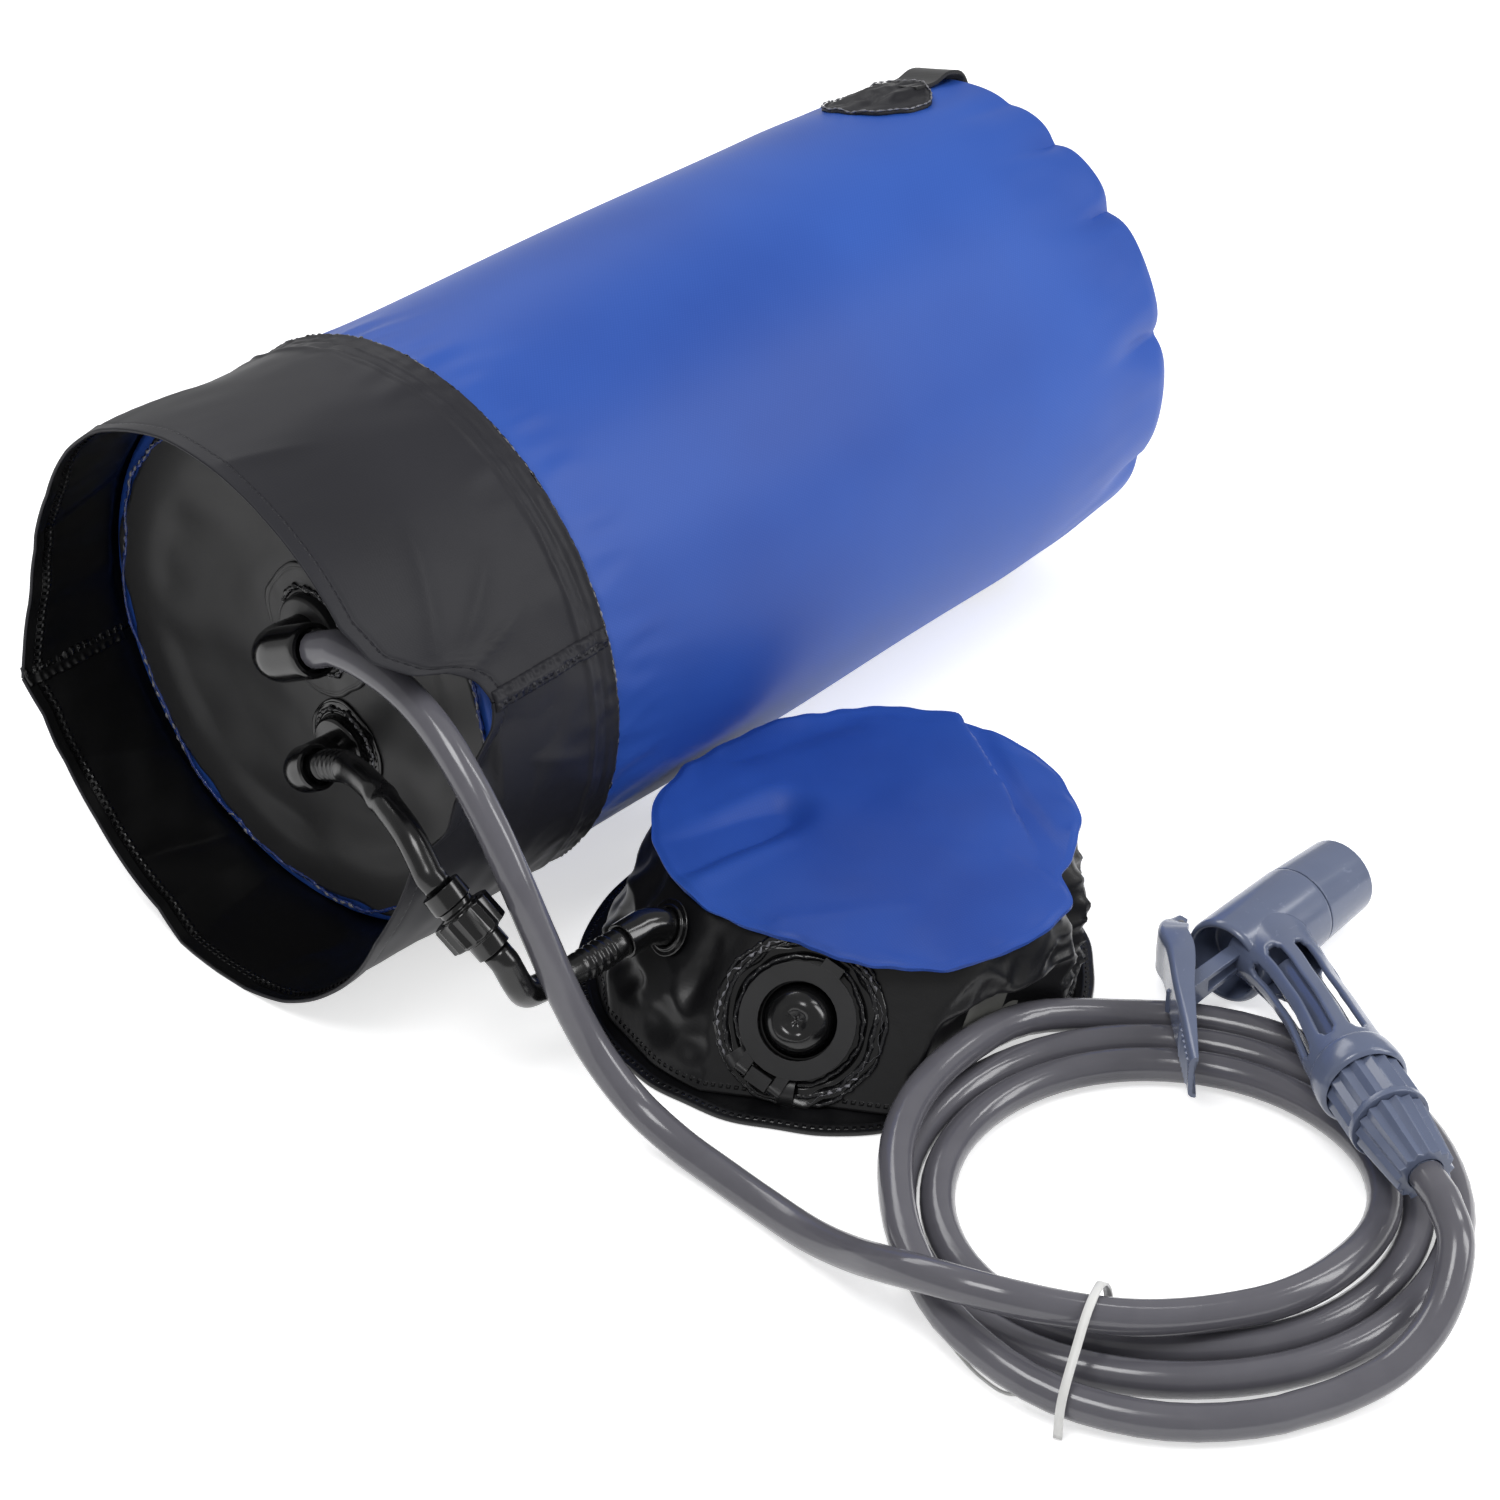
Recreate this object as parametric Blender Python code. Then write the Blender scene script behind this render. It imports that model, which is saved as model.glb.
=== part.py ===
# Camp shower bag lying on its side, with its foot pump, hose coil and trigger handset.
# Metres, +Z up. The floor is z = 0, the bag's axis runs along X and the origin lies
# on the floor under the middle of the bag. The skirt end of the bag points to -X.
import math

import bmesh
import bpy
import numpy as np
from mathutils import Matrix, Vector

# Fits shared by every piece
CLEARANCE = 0.0003
OVERRUN = 0.002
MERGE_DISTANCE = 0.000001
SMOOTH_ANGLE = math.radians(40)

# Bag: welded coated fabric tube with a skirt at its lower end
BAG_LENGTH = 0.487
BODY_RADIUS = 0.1195
FABRIC_WALL = 0.002
LYING_SINK = 0.0008
SKIRT_DEPTH = 0.050
SHOULDER_HOLE_RADIUS = 0.097
TAPER_LENGTH = 0.087
END_RADIUS = 0.1115
WAVE_HEIGHT = 0.0025
WAVE_COUNT = 16
TOP_DISC_INSET = 0.019
TOP_DISC_LIP = 0.0015
TOP_DISC_GAP = 0.0008
BASE_DISC_THICKNESS = 0.002
AROUND = 64

# Skirt: two black panels joined by welded seams
SKIRT_LENGTH = 0.113
SKIRT_WALL = 0.0015
SKIRT_GAP = 0.0007
HEM_WIDTH = 0.008
HEM_EXTRA = 0.0006
HEM_STEP = 0.001
WELD_WIDTH = 0.006
WELD_DROP = 0.0005
NOTCH_DEPTH = 0.047
SEAM_ANGLE = 163
SEAM_END = 345
SKIRT_STEP = 6
# Angle round the bag in degrees, and how far the rim is cut back there
NOTCH_SHARES = [
    (-15, -0.11), (5, 0.0), (60, 0.0), (110, -0.02), (138, -0.085), (146, 0.043), (152, 0.383),
    (154, 0.681), (158, 0.915), (163, 1.0), (167.7, 0.957), (170.8, 0.821), (178.8, 0.481),
    (184.6, 0.362), (186.5, 0.0), (195, -0.149), (205, -0.319), (270, -0.3), (330, -0.2), (345, -0.11),
]

# Welded fittings on the black base disc
OUTLET_Y = -0.010
OUTLET_Z = 0.140
OUTLET_PATCH_RADIUS = 0.0302
INLET_Y = -0.024
INLET_Z = 0.0898
INLET_PATCH_RADIUS = 0.0208
PATCH_THICKNESS = 0.001
OUTLET_BOSS_RADIUS = 0.017
INLET_BOSS_RADIUS = 0.0145
BOSS_HEIGHT = 0.006
BOSS_BEVEL = 0.0015
OUTLET_ELBOW_RADIUS = 0.009
INLET_ELBOW_RADIUS = 0.0075
OUTLET_ELBOW_BEND = 0.013
INLET_ELBOW_BEND = 0.0105
OUTLET_RISE = math.radians(28)
INLET_RISE = math.radians(33)
ELBOW_STANDOFF = 0.0275
OUTLET_REACH = 0.035
INLET_REACH = 0.0165
CLIP_WALL = 0.0014
CLIP_WIDTH = 0.006
CHECK_VALVE_LENGTH = 0.016
CHECK_VALVE_RADIUS = 0.010

# Fill opening in the far end
FILL_OFFSET = 0.050
FILL_ANGLE = math.radians(166)
NECK_BORE = 0.025
NECK_WALL = 0.003
NECK_FLANGE_RADIUS = 0.042
NECK_FLANGE_THICKNESS = 0.0015
NECK_HEIGHT = 0.014
NECK_TAIL = 0.005
THREAD_HEIGHT = 0.0008
THREAD_PITCH = 0.004
THREAD_TURNS = 3
CAP_GAP = 0.0016
CAP_WALL = 0.0035
CAP_TOP = 0.0025
CAP_START = 0.0023
CAP_RIB = 0.0009
CAP_RIBS = 20
GASKET_THICKNESS = 0.0011

# Carry strap across the far end
STRAP_ANGLE = math.radians(76)
STRAP_WIDTH = 0.025
STRAP_THICKNESS = 0.0016
STRAP_START = 0.045
STRAP_BOW = 0.013
STRAP_PATCH_LENGTH = 0.036
STRAP_PATCH_HALF_ANGLE = math.radians(13)
STRAP_PATCH_INSET = 0.028

# Hoses
HOSE_RADIUS = 0.007
AIR_HOSE_RADIUS = 0.006
HOSE_END_RUN = 0.014
HOSE_POINT_STEP = 0.026
AIR_HOSE_END_RUN = 0.006
AIR_HOSE_POINT_STEP = 0.009
# Route of the free hose from the outlet elbow to the coil, measured from the skirt's rim
HOSE_ROUTE = [
    (0.0253, -0.0690, 0.1625), (0.0255, -0.0940, 0.1575),
    (0.0235, -0.1120, 0.1505), (0.0205, -0.1295, 0.1395), (0.0180, -0.1455, 0.1250),
    (0.0172, -0.1595, 0.1050), (0.0188, -0.1715, 0.0800), (0.0215, -0.1825, 0.0550),
    (0.0245, -0.1960, 0.0330), (0.0270, -0.2130, 0.0175), (0.0280, -0.2340, 0.0098),
    (0.0275, -0.2570, 0.0076), (0.0255, -0.2830, 0.0076), (0.0220, -0.3090, 0.0105),
    (0.0175, -0.3330, 0.0185), (0.0133, -0.3525, 0.0280), (0.0123, -0.3700, 0.0348),
    (0.0153, -0.3875, 0.0376), (0.0230, -0.4045, 0.0366), (0.0350, -0.4200, 0.0325),
    (0.0500, -0.4345, 0.0277),
]
# Air hose from the inlet elbow to the coupling
AIR_ROUTE = [
    (0.0225, -0.0560, 0.1085), (0.0135, -0.0800, 0.1165), (0.0040, -0.1040, 0.1195),
    (-0.0015, -0.1215, 0.1165),
]
# Air hose from the coupling to the pump
PUMP_ROUTE = [
    (0.0078, -0.1680, 0.0650), (0.0125, -0.1668, 0.0575), (0.0230, -0.1640, 0.0520),
    (0.0380, -0.1640, 0.0505), (0.0520, -0.1652, 0.0506),
]
COUPLING_START = (-0.0035, -0.1385, 0.1025)
COUPLING_END = (0.0035, -0.1605, 0.0800)

# Hose coil: three turns, wound outwards, back in over themselves and out again
COIL_X = 0.130
COIL_Y = -0.396
COIL_START_ANGLE = -137.4
COIL_LOOP_POINTS = 24
COIL_TOP = 0.034
COIL_PUMP_GAP = 0.0015
COIL_FIRST_TURN = 1 / 24
COIL_LAST_TURN = 3 + 1 / 24
# Turn number, radius of the turn and height of the hose's middle above the floor
COIL_STATIONS = [
    (0.0, 0.0765, 0.0223), (0.125, 0.0775, 0.0205), (0.25, 0.0830, 0.0150), (0.375, 0.0855, 0.0090),
    (0.5, 0.0860, 0.0074), (0.75, 0.0880, 0.0074), (0.875, 0.0855, 0.0074), (1.0, 0.0795, 0.0074),
    (1.125, 0.0862, 0.0074), (1.25, 0.0962, 0.0074), (1.375, 0.1004, 0.0074), (1.5, 0.1012, 0.0074),
    (1.625, 0.1019, 0.0074), (1.75, 0.1029, 0.0074), (1.875, 0.1005, 0.0074), (2.0, 0.0965, 0.0074),
    (2.125, 0.1014, 0.0074), (2.25, 0.1115, 0.0074), (2.375, 0.1154, 0.0074), (2.5, 0.1166, 0.0078),
    (2.5625, 0.1158, 0.0150), (2.625, 0.1075, 0.0218), (2.75, 0.1045, 0.0226), (2.8125, 0.1085, 0.0218),
    (2.875, 0.1160, 0.0170), (2.9375, 0.1184, 0.0100), (3.0, 0.1186, 0.0076), (3.0625, 0.1186, 0.0078),
]
COIL_EXIT_ROUTE = [
    (0.0900, -0.5074, 0.0086), (0.1130, -0.5145, 0.0120), (0.1330, -0.5152, 0.0185),
    (0.1490, -0.5112, 0.0275), (0.1600, -0.5048, 0.0352),
]
TIE_ANGLE = math.radians(-160)
TIE_WIDTH = 0.008
TIE_THICKNESS = 0.0008
# Distance from the coil's middle and height of the tie strap's path over the turns
TIE_ROUTE = [
    (0.0712, 0.0006), (0.0722, 0.0120), (0.0790, 0.0300), (0.0860, 0.0395), (0.0985, 0.0395),
    (0.1130, 0.0290), (0.1275, 0.0150), (0.1295, 0.0006),
]

# Quick coupling between the two air hoses
COUPLING_BODY_RADIUS = 0.0087
COUPLING_NECK_RADIUS = 0.0075
COLLAR_RADIUS = 0.0125
KNURL_DEPTH = 0.0007
KNURLS = 16
SOCKET_BORE = 0.005

# Foot pump
PUMP_X = 0.163
PUMP_Y = -0.197
PUMP_FOOT_RADIUS = 0.109
PUMP_BASE_THICKNESS = 0.0016
PUMP_BASE_HEM = 0.0007
PUMP_HEM_WIDTH = 0.005
PUMP_WALL_RADIUS = 0.102
PUMP_WALL_THICKNESS = 0.002
PUMP_WALL_BULGE = 0.003
PUMP_TOP_SHIFT = 0.021
PUMP_TOP_RADIUS = 0.096
PUMP_TOP_LIP = 0.003
PUMP_HEIGHT = 0.0575
PUMP_TOP_THICKNESS = 0.002
PUMP_CROWN = 0.002
PUMP_AROUND = 48
PUMP_LEVELS = 5
# Azimuth in degrees and share of the top sheet's largest radius
PUMP_TOP_SHARES = [
    (-159, 0.84), (-140, 0.93), (-121, 1.0), (-92, 1.0), (-78, 0.98), (-67.5, 0.85), (-55, 0.88),
    (-42, 0.92), (0, 0.98), (43.7, 0.99), (70, 0.96), (90, 0.945), (119, 0.97), (150, 0.91), (167, 0.885), (185, 0.85),
    (201, 0.84),
]
FOAM_GAP = 0.018
PRESS_AZIMUTH = math.radians(190)
PRESS_DISTANCE = 0.072

# Air intake valve on the pump's near wall
VALVE_AZIMUTH = math.radians(211)
VALVE_RISE = math.radians(34)
VALVE_X = 0.0989
VALVE_Y = -0.2348
VALVE_Z = 0.0300
VALVE_PATCH_RADIUS = 0.0315
VALVE_COLLAR_RADIUS = 0.0225
VALVE_BORE = 0.0162
VALVE_COLLAR_HEIGHT = 0.005
VALVE_FLOOR = 0.0015
VALVE_DOME_RADIUS = 0.0156
VALVE_DOME_HEIGHT = 0.0075
VALVE_DIMPLE = 0.003
VALVE_CAP_RADIUS = 0.0238
VALVE_CAP_THICKNESS = 0.002
VALVE_HINGE_ANGLE = math.radians(-117.6)
VALVE_HINGE_DISTANCE = 0.0285
VALVE_ARM_WIDTH = 0.005
VALVE_ARM_SPREAD = 0.008
VALVE_HINGE_RADIUS = 0.0019
VALVE_TAB = 0.0036
VALVE_TAB_HALF = 0.0045
VALVE_ARM_START_SHARE = 0.85
VALVE_TAB_START_SHARE = 0.9

# Air outlet on the pump's wall
SPIGOT_X = 0.0935
SPIGOT_Y = -0.1680
SPIGOT_Z = 0.0450
SPIGOT_AZIMUTH = math.radians(164)
SPIGOT_RISE = math.radians(30)
SPIGOT_PATCH_RADIUS = 0.012
SPIGOT_RADIUS = 0.0078
SPIGOT_HEIGHT = 0.007

# Handset: barrel, rose, cage handle, lever and hose nuts
BARREL_X = 0.2554
BARREL_Y = -0.3285
BARREL_RADIUS = 0.019
BARREL_LENGTH = 0.0513
BARREL_ROUND = 0.002
ROSE_LENGTH = 0.031
ROSE_END_RADIUS = 0.0172
ROSE_DISH = 0.003
ROSE_RIM = 0.002
ROSE_SPIGOT_RADIUS = 0.011
ROSE_SPIGOT_LENGTH = 0.006
# Middle line of the handle, from the barrel to the collar, measured from the rim
HANDLE_ROUTE = [
    (0.2750, -0.3360, 0.0210), (0.2655, -0.3520, 0.0240), (0.2570, -0.3650, 0.0270), (0.2470, -0.3775, 0.0305),
    (0.2370, -0.3905, 0.0340), (0.2265, -0.4030, 0.0370), (0.2155, -0.4160, 0.0400), (0.2075, -0.4265, 0.0420),
]
HANDLE_WIDTHS = [0.0170, 0.0175, 0.0165, 0.0155, 0.0155, 0.0160, 0.0168, 0.0160]
HANDLE_HEIGHTS = [0.0140, 0.0145, 0.0140, 0.0138, 0.0138, 0.0142, 0.0148, 0.0146]
HANDLE_WALL = 0.003
HANDLE_SIDES = 24
HANDLE_ROWS = 14
HANDLE_OPEN_ROWS = (4, 12)
HANDLE_WALL_SIDE = -1
ROOT_ROWS = 4
ROOT_EXTRA = 0.002
INNER_TUBE_RADIUS = 0.0085
COLLAR_RING_LENGTH = 0.006
COLLAR_PLAY = 0.0018
TUBE_ROOT_GAP = 0.0012
NUT_DIRECTION = (-0.4970, -0.8660, -0.0200)
SWIVEL_NUT_RADIUS = 0.0155
SWIVEL_NUT_LENGTH = 0.024
SWIVEL_RING = 0.003
HOSE_NUT_RADIUS = 0.0143
HOSE_NUT_END_RADIUS = 0.0112
HOSE_NUT_LENGTH = 0.030
NUT_RIB = 0.0008
NUT_RIBS = 16
BARB_RADIUS = 0.0068

# Trigger lever
PIN_X = 0.2535
PIN_Y = -0.3075
PIN_RADIUS = 0.0015
PIN_HEAD = 0.0006
LUG_RADIUS = 0.0045
LUG_HEIGHT = 0.0145
LEVER_WIDTH = 0.022
LEVER_WALL = 0.002
# Outer line of the lever's back, measured from the rim, and the depth of its sides there
LEVER_ROUTE = [
    (0.2590, -0.3010, 0.0190), (0.2500, -0.3005, 0.0195), (0.2410, -0.3050, 0.0225), (0.2295, -0.3175, 0.0263),
    (0.2095, -0.3365, 0.0282), (0.1905, -0.3555, 0.0292), (0.1720, -0.3735, 0.0300),
]
LEVER_DEPTHS = [0.0100, 0.0115, 0.0130, 0.0130, 0.0100, 0.0065, 0.0035]
ARM_Y = -0.333
ARM_WIDTH = 0.009
ARM_HEIGHT = 0.009
ARM_LEVEL = 0.023
ARM_END = 0.2620
ARM_WINDOW = 0.005
ARM_WINDOW_START = 0.2300
ARM_WINDOW_LENGTH = 0.014
ARM_SLOT_GAP = 0.0035
ARM_SIDE_GAP = 0.001
STEM_TRAVEL = 0.0056
STEM_RADIUS = 0.003
STEM_LENGTH = 0.028
STEM_HEAD_RADIUS = 0.0045
STEM_HEAD_LENGTH = 0.003
SEAL_RADIUS = 0.0011
SEAL_OFFSET = 0.004
SPRING_RADIUS = 0.0042
SPRING_WIRE = 0.0006
SPRING_TURNS = 5
SPRING_LENGTH = 0.0125
SPRING_POINTS = 9

AXIS_HEIGHT = BODY_RADIUS - LYING_SINK
RIM_X = -BAG_LENGTH / 2
SKIRT_INNER = BODY_RADIUS + SKIRT_GAP
SKIRT_OUTER = SKIRT_INNER + SKIRT_WALL
SKIRT_LIFT = SKIRT_WALL + SKIRT_GAP


def empty_scene():
    for item in list(bpy.data.objects):
        bpy.data.objects.remove(item, do_unlink=True)


def plastic(name, colour, roughness, metallic=0.0):
    material = bpy.data.materials.new(name)
    material.use_nodes = True
    shader = material.node_tree.nodes["Principled BSDF"]
    shader.inputs["Base Color"].default_value = (*colour, 1.0)
    shader.inputs["Roughness"].default_value = roughness
    shader.inputs["Metallic"].default_value = metallic
    return material


# Finishes, as linear colours
BLUE_FABRIC = (0.045, 0.095, 0.400)
SKIRT_FABRIC = (0.030, 0.030, 0.036)
BLACK_RUBBER = (0.012, 0.012, 0.013)
DISC_FABRIC = (0.040, 0.040, 0.042)
GREY_HOSE = (0.130, 0.130, 0.140)
GREY_PLASTIC = (0.160, 0.190, 0.260)
WHITE_PLASTIC = (0.750, 0.750, 0.760)
FOAM_GREY = (0.250, 0.250, 0.240)
STEEL = (0.500, 0.500, 0.510)


def finish_mesh(name, bm, colour, roughness, metallic=0.0, origin=None):
    """Make a node from a bmesh whose points are in world metres."""
    bmesh.ops.recalc_face_normals(bm, faces=bm.faces)
    mesh = bpy.data.meshes.new(name)
    bm.to_mesh(mesh)
    bm.free()
    if origin is not None:
        mesh.transform(Matrix.Translation(-Vector(origin)))
    mesh.shade_smooth()
    mesh.set_sharp_from_angle(angle=SMOOTH_ANGLE)
    mesh.materials.append(plastic(name + "_finish", colour, roughness, metallic))
    node = bpy.data.objects.new(name, mesh)
    bpy.context.scene.collection.objects.link(node)
    if origin is not None:
        node.location = origin
    return node


def lofted(rings, joined):
    """Skin a row of equal rings; joined closes the last ring onto the first."""
    bm = bmesh.new()
    rows = [[bm.verts.new(point) for point in ring] for ring in rings]
    count = len(rows[0])
    pairs = list(zip(rows, rows[1:]))
    if joined:
        pairs.append((rows[-1], rows[0]))
    for lower, upper in pairs:
        for index in range(count):
            after = (index + 1) % count
            bm.faces.new((lower[index], lower[after], upper[after], upper[index]))
    if not joined:
        bm.faces.new(rows[0])
        bm.faces.new(rows[-1])
    return bm


def axis_frame(origin, direction, reference=(0, 0, 1)):
    """Matrix whose Z runs along direction and whose X lies nearest to reference."""
    along = Vector(direction).normalized()
    across = Vector(reference) - along * Vector(reference).dot(along)
    across.normalize()
    side = along.cross(across)
    turn = Matrix((across, side, along)).transposed().to_4x4()
    return Matrix.Translation(Vector(origin)) @ turn


def turned(profile, sides, frame, joined=True, ripple=0.0, ripples=0, rippled=()):
    """Turn a profile of (radius, height) round the frame's Z; rippled rows get grip ribs."""
    rings = []
    for row, (radius, height) in enumerate(profile):
        ring = []
        for step in range(sides):
            angle = 2 * math.pi * step / sides
            reach = radius
            if row in rippled:
                reach = radius + ripple * math.cos(ripples * angle)
            ring.append(frame @ Vector((reach * math.cos(angle), reach * math.sin(angle), height)))
        rings.append(ring)
    return lofted(rings, joined)


def path_frames(points, reference):
    """Tangent, side and normal at each point of a path."""
    frames = []
    last = len(points) - 1
    for index, point in enumerate(points):
        tangent = (points[min(index + 1, last)] - points[max(index - 1, 0)]).normalized()
        side = Vector(reference) - tangent * Vector(reference).dot(tangent)
        side.normalize()
        frames.append((point, tangent, side, tangent.cross(side)))
    return frames


def swept(points, reference, sections, joined=False):
    """Carry a section of (side, normal) pairs along a path."""
    rings = []
    for (point, tangent, side, normal), section in zip(path_frames(points, reference), sections):
        rings.append([point + side * across + normal * up for across, up in section])
    return lofted(rings, joined)


def round_section(radius, sides):
    angles = [2 * math.pi * step / sides for step in range(sides)]
    return [(radius * math.cos(angle), radius * math.sin(angle)) for angle in angles]


def block(low, high):
    """Box between two corners."""
    bm = bmesh.new()
    size = Vector(high) - Vector(low)
    middle = (Vector(high) + Vector(low)) / 2
    bmesh.ops.create_cube(bm, size=1, matrix=Matrix.Translation(middle) @ Matrix.Diagonal((*size, 1)))
    return bm


def guide(name, bm):
    """Hidden solid that another node's Boolean uses."""
    node = finish_mesh(name, bm, BLACK_RUBBER, 0.5)
    node.hide_render = True
    node.display_type = "WIRE"
    return node


def combine(node, other, operation):
    step = node.modifiers.new(operation.lower() + "_" + other.name, "BOOLEAN")
    step.operation = operation
    step.solver = "EXACT"
    step.object = other


def join_meshes(parts):
    """Put separate closed shapes into one bmesh."""
    whole = bmesh.new()
    for part in parts:
        mesh = bpy.data.meshes.new("loose_shape")
        part.to_mesh(mesh)
        part.free()
        whole.from_mesh(mesh)
        bpy.data.meshes.remove(mesh)
    return whole


def from_rim(point):
    return Vector((RIM_X + point[0], point[1], point[2]))


def smooth_table(table, place):
    """Read a table of (place, value, ...) with smooth slopes that never overshoot."""
    knots = [row[0] for row in table]
    index = max(0, min(len(knots) - 2, sum(1 for knot in knots if knot <= place) - 1))
    values = []
    for column in range(1, len(table[0])):
        slopes = []
        for knot in range(len(knots) - 1):
            rise = table[knot + 1][column] - table[knot][column]
            slopes.append(rise / (knots[knot + 1] - knots[knot]))
        ends = []
        for knot in (index, index + 1):
            before = slopes[max(knot - 1, 0)]
            after = slopes[min(knot, len(slopes) - 1)]
            flat = before * after <= 0
            ends.append(0.0 if flat else 2 * before * after / (before + after))
        width = knots[index + 1] - knots[index]
        share = (place - knots[index]) / width
        low = table[index][column]
        high = table[index + 1][column]
        values.append(
            (2 * share**3 - 3 * share**2 + 1) * low
            + (share**3 - 2 * share**2 + share) * width * ends[0]
            + (3 * share**2 - 2 * share**3) * high
            + (share**3 - share**2) * width * ends[1]
        )
    return values


def smooth_route(points, step):
    """Points at an even step along a cubic curve through the given points."""
    spots = np.array([tuple(point) for point in points])
    reach = np.concatenate(([0.0], np.cumsum(np.linalg.norm(np.diff(spots, axis=0), axis=1))))
    slopes = np.gradient(spots, reach, axis=0)
    slopes[0] = (spots[1] - spots[0]) / (reach[1] - reach[0])
    slopes[-1] = (spots[-1] - spots[-2]) / (reach[-1] - reach[-2])
    count = max(2, round(reach[-1] / step))
    route = []
    for place in np.linspace(0, reach[-1], count + 1):
        index = min(len(reach) - 2, int(np.searchsorted(reach, place, side="right")) - 1)
        width = reach[index + 1] - reach[index]
        share = (place - reach[index]) / width
        spot = (
            (2 * share**3 - 3 * share**2 + 1) * spots[index]
            + (share**3 - 2 * share**2 + share) * width * slopes[index]
            + (3 * share**2 - 2 * share**3) * spots[index + 1]
            + (share**3 - share**2) * width * slopes[index + 1]
        )
        route.append(Vector(spot))
    return route


def tube(name, points, radius, resolution, colour, roughness, metallic=0.0, cyclic=False):
    """Round tube with filled ends along a polyline."""
    curve = bpy.data.curves.new(name, "CURVE")
    curve.dimensions = "3D"
    curve.bevel_depth = radius
    curve.bevel_resolution = resolution
    curve.use_fill_caps = True
    spline = curve.splines.new("POLY")
    spline.points.add(len(points) - 1)
    for spot, point in zip(spline.points, points):
        spot.co = (*point, 1.0)
    spline.use_cyclic_u = cyclic
    curve.materials.append(plastic(name + "_finish", colour, roughness, metallic))
    node = bpy.data.objects.new(name, curve)
    bpy.context.scene.collection.objects.link(node)
    return node


def hose_route(start, start_way, route, end, end_way, run, step):
    """Polyline of a hose that leaves both ends straight, square to what it meets."""
    first = [start + start_way * CLEARANCE]
    last = [end + end_way * CLEARANCE]
    middle = [first[0] + start_way * run] + [from_rim(spot) for spot in route] + [last[0] + end_way * run]
    return first + smooth_route(middle, step) + last


def bag_radius(x, angle):
    """Outer radius of the bag at a distance from the rim, with the weld's waves near the far end."""
    share = max(0.0, (x - (BAG_LENGTH - TAPER_LENGTH)) / TAPER_LENGTH)
    mean = BODY_RADIUS + (END_RADIUS - BODY_RADIUS) * share
    return mean + WAVE_HEIGHT * share * share * math.cos(WAVE_COUNT * angle)


def bag_point(x, angle, radius, floor):
    """Point at a radius round the bag's axis, laid flat where it would pass below floor."""
    y = radius * math.cos(angle)
    z = AXIS_HEIGHT + radius * math.sin(angle)
    return Vector((RIM_X + x, y, max(z, floor)))


def round_bag():
    return [2 * math.pi * step / AROUND for step in range(AROUND)]


def make_bag_body():
    far_disc = BAG_LENGTH - TOP_DISC_INSET
    taper = BAG_LENGTH - TAPER_LENGTH
    skirt_clear = SKIRT_LENGTH + 2 * WELD_WIDTH
    stations = [SKIRT_LENGTH + CLEARANCE, skirt_clear, taper, (taper + far_disc) / 2, far_disc, BAG_LENGTH]
    rings = []
    for angle in round_bag():
        loop = [bag_point(SKIRT_DEPTH, angle, SHOULDER_HOLE_RADIUS, SKIRT_LIFT)]
        loop.append(bag_point(SKIRT_DEPTH, angle, BODY_RADIUS, SKIRT_LIFT))
        for x in stations:
            floor = SKIRT_LIFT if x < skirt_clear else 0.0
            loop.append(bag_point(x, angle, bag_radius(x, angle), floor))
        for x in reversed(stations):
            floor = SKIRT_LIFT if x < skirt_clear else 0.0
            loop.append(bag_point(x, angle, bag_radius(x, angle) - FABRIC_WALL, floor + FABRIC_WALL))
        inner = BODY_RADIUS - FABRIC_WALL
        shoulder = SKIRT_DEPTH + FABRIC_WALL
        loop.append(bag_point(shoulder, angle, inner, SKIRT_LIFT + FABRIC_WALL))
        loop.append(bag_point(shoulder, angle, SHOULDER_HOLE_RADIUS, SKIRT_LIFT + FABRIC_WALL))
        rings.append(loop)
    finish_mesh("bag_body", lofted(rings, True), BLUE_FABRIC, 0.6)


def make_base_disc():
    front = SKIRT_DEPTH + FABRIC_WALL + CLEARANCE
    radius = BODY_RADIUS - FABRIC_WALL - CLEARANCE
    floor = SKIRT_LIFT + FABRIC_WALL + CLEARANCE
    rings = [
        [bag_point(x, angle, radius, floor) for angle in round_bag()]
        for x in (front, front + BASE_DISC_THICKNESS)
    ]
    finish_mesh("base_disc", lofted(rings, False), DISC_FABRIC, 0.55)


def fill_centre():
    """Middle of the fill opening on the outer face of the top disc."""
    x = BAG_LENGTH - TOP_DISC_INSET + FABRIC_WALL
    y = FILL_OFFSET * math.cos(FILL_ANGLE)
    z = AXIS_HEIGHT + FILL_OFFSET * math.sin(FILL_ANGLE)
    return Vector((RIM_X + x, y, z))


def far_ring(x, depth):
    """Ring inside the far end's wall, depth in from the outer face."""
    return [bag_point(x, angle, bag_radius(x, angle) - depth, depth) for angle in round_bag()]


def make_top_disc():
    seat = FABRIC_WALL + TOP_DISC_GAP
    inside = BAG_LENGTH - TOP_DISC_INSET
    face = inside + FABRIC_WALL
    rings = [far_ring(inside, seat), far_ring(face, seat)]
    disc = finish_mesh("top_disc", lofted(rings, False), BLUE_FABRIC, 0.6)
    radius = NECK_BORE + NECK_WALL + CLEARANCE
    reach = FABRIC_WALL + OVERRUN
    frame = axis_frame(fill_centre(), (1, 0, 0))
    hole = turned([(radius, -reach), (radius, OVERRUN)], 32, frame, joined=False)
    combine(disc, guide("fill_hole_cutter", hole), "DIFFERENCE")

    lip_start = face + CLEARANCE
    lip_depth = seat + TOP_DISC_LIP
    places = [(lip_start, seat), (BAG_LENGTH, seat), (BAG_LENGTH, lip_depth), (lip_start, lip_depth)]
    rings = []
    for column in zip(*[far_ring(x, depth) for x, depth in places]):
        rings.append(list(column))
    finish_mesh("top_disc_lip", lofted(rings, True), BLUE_FABRIC, 0.6)


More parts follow.
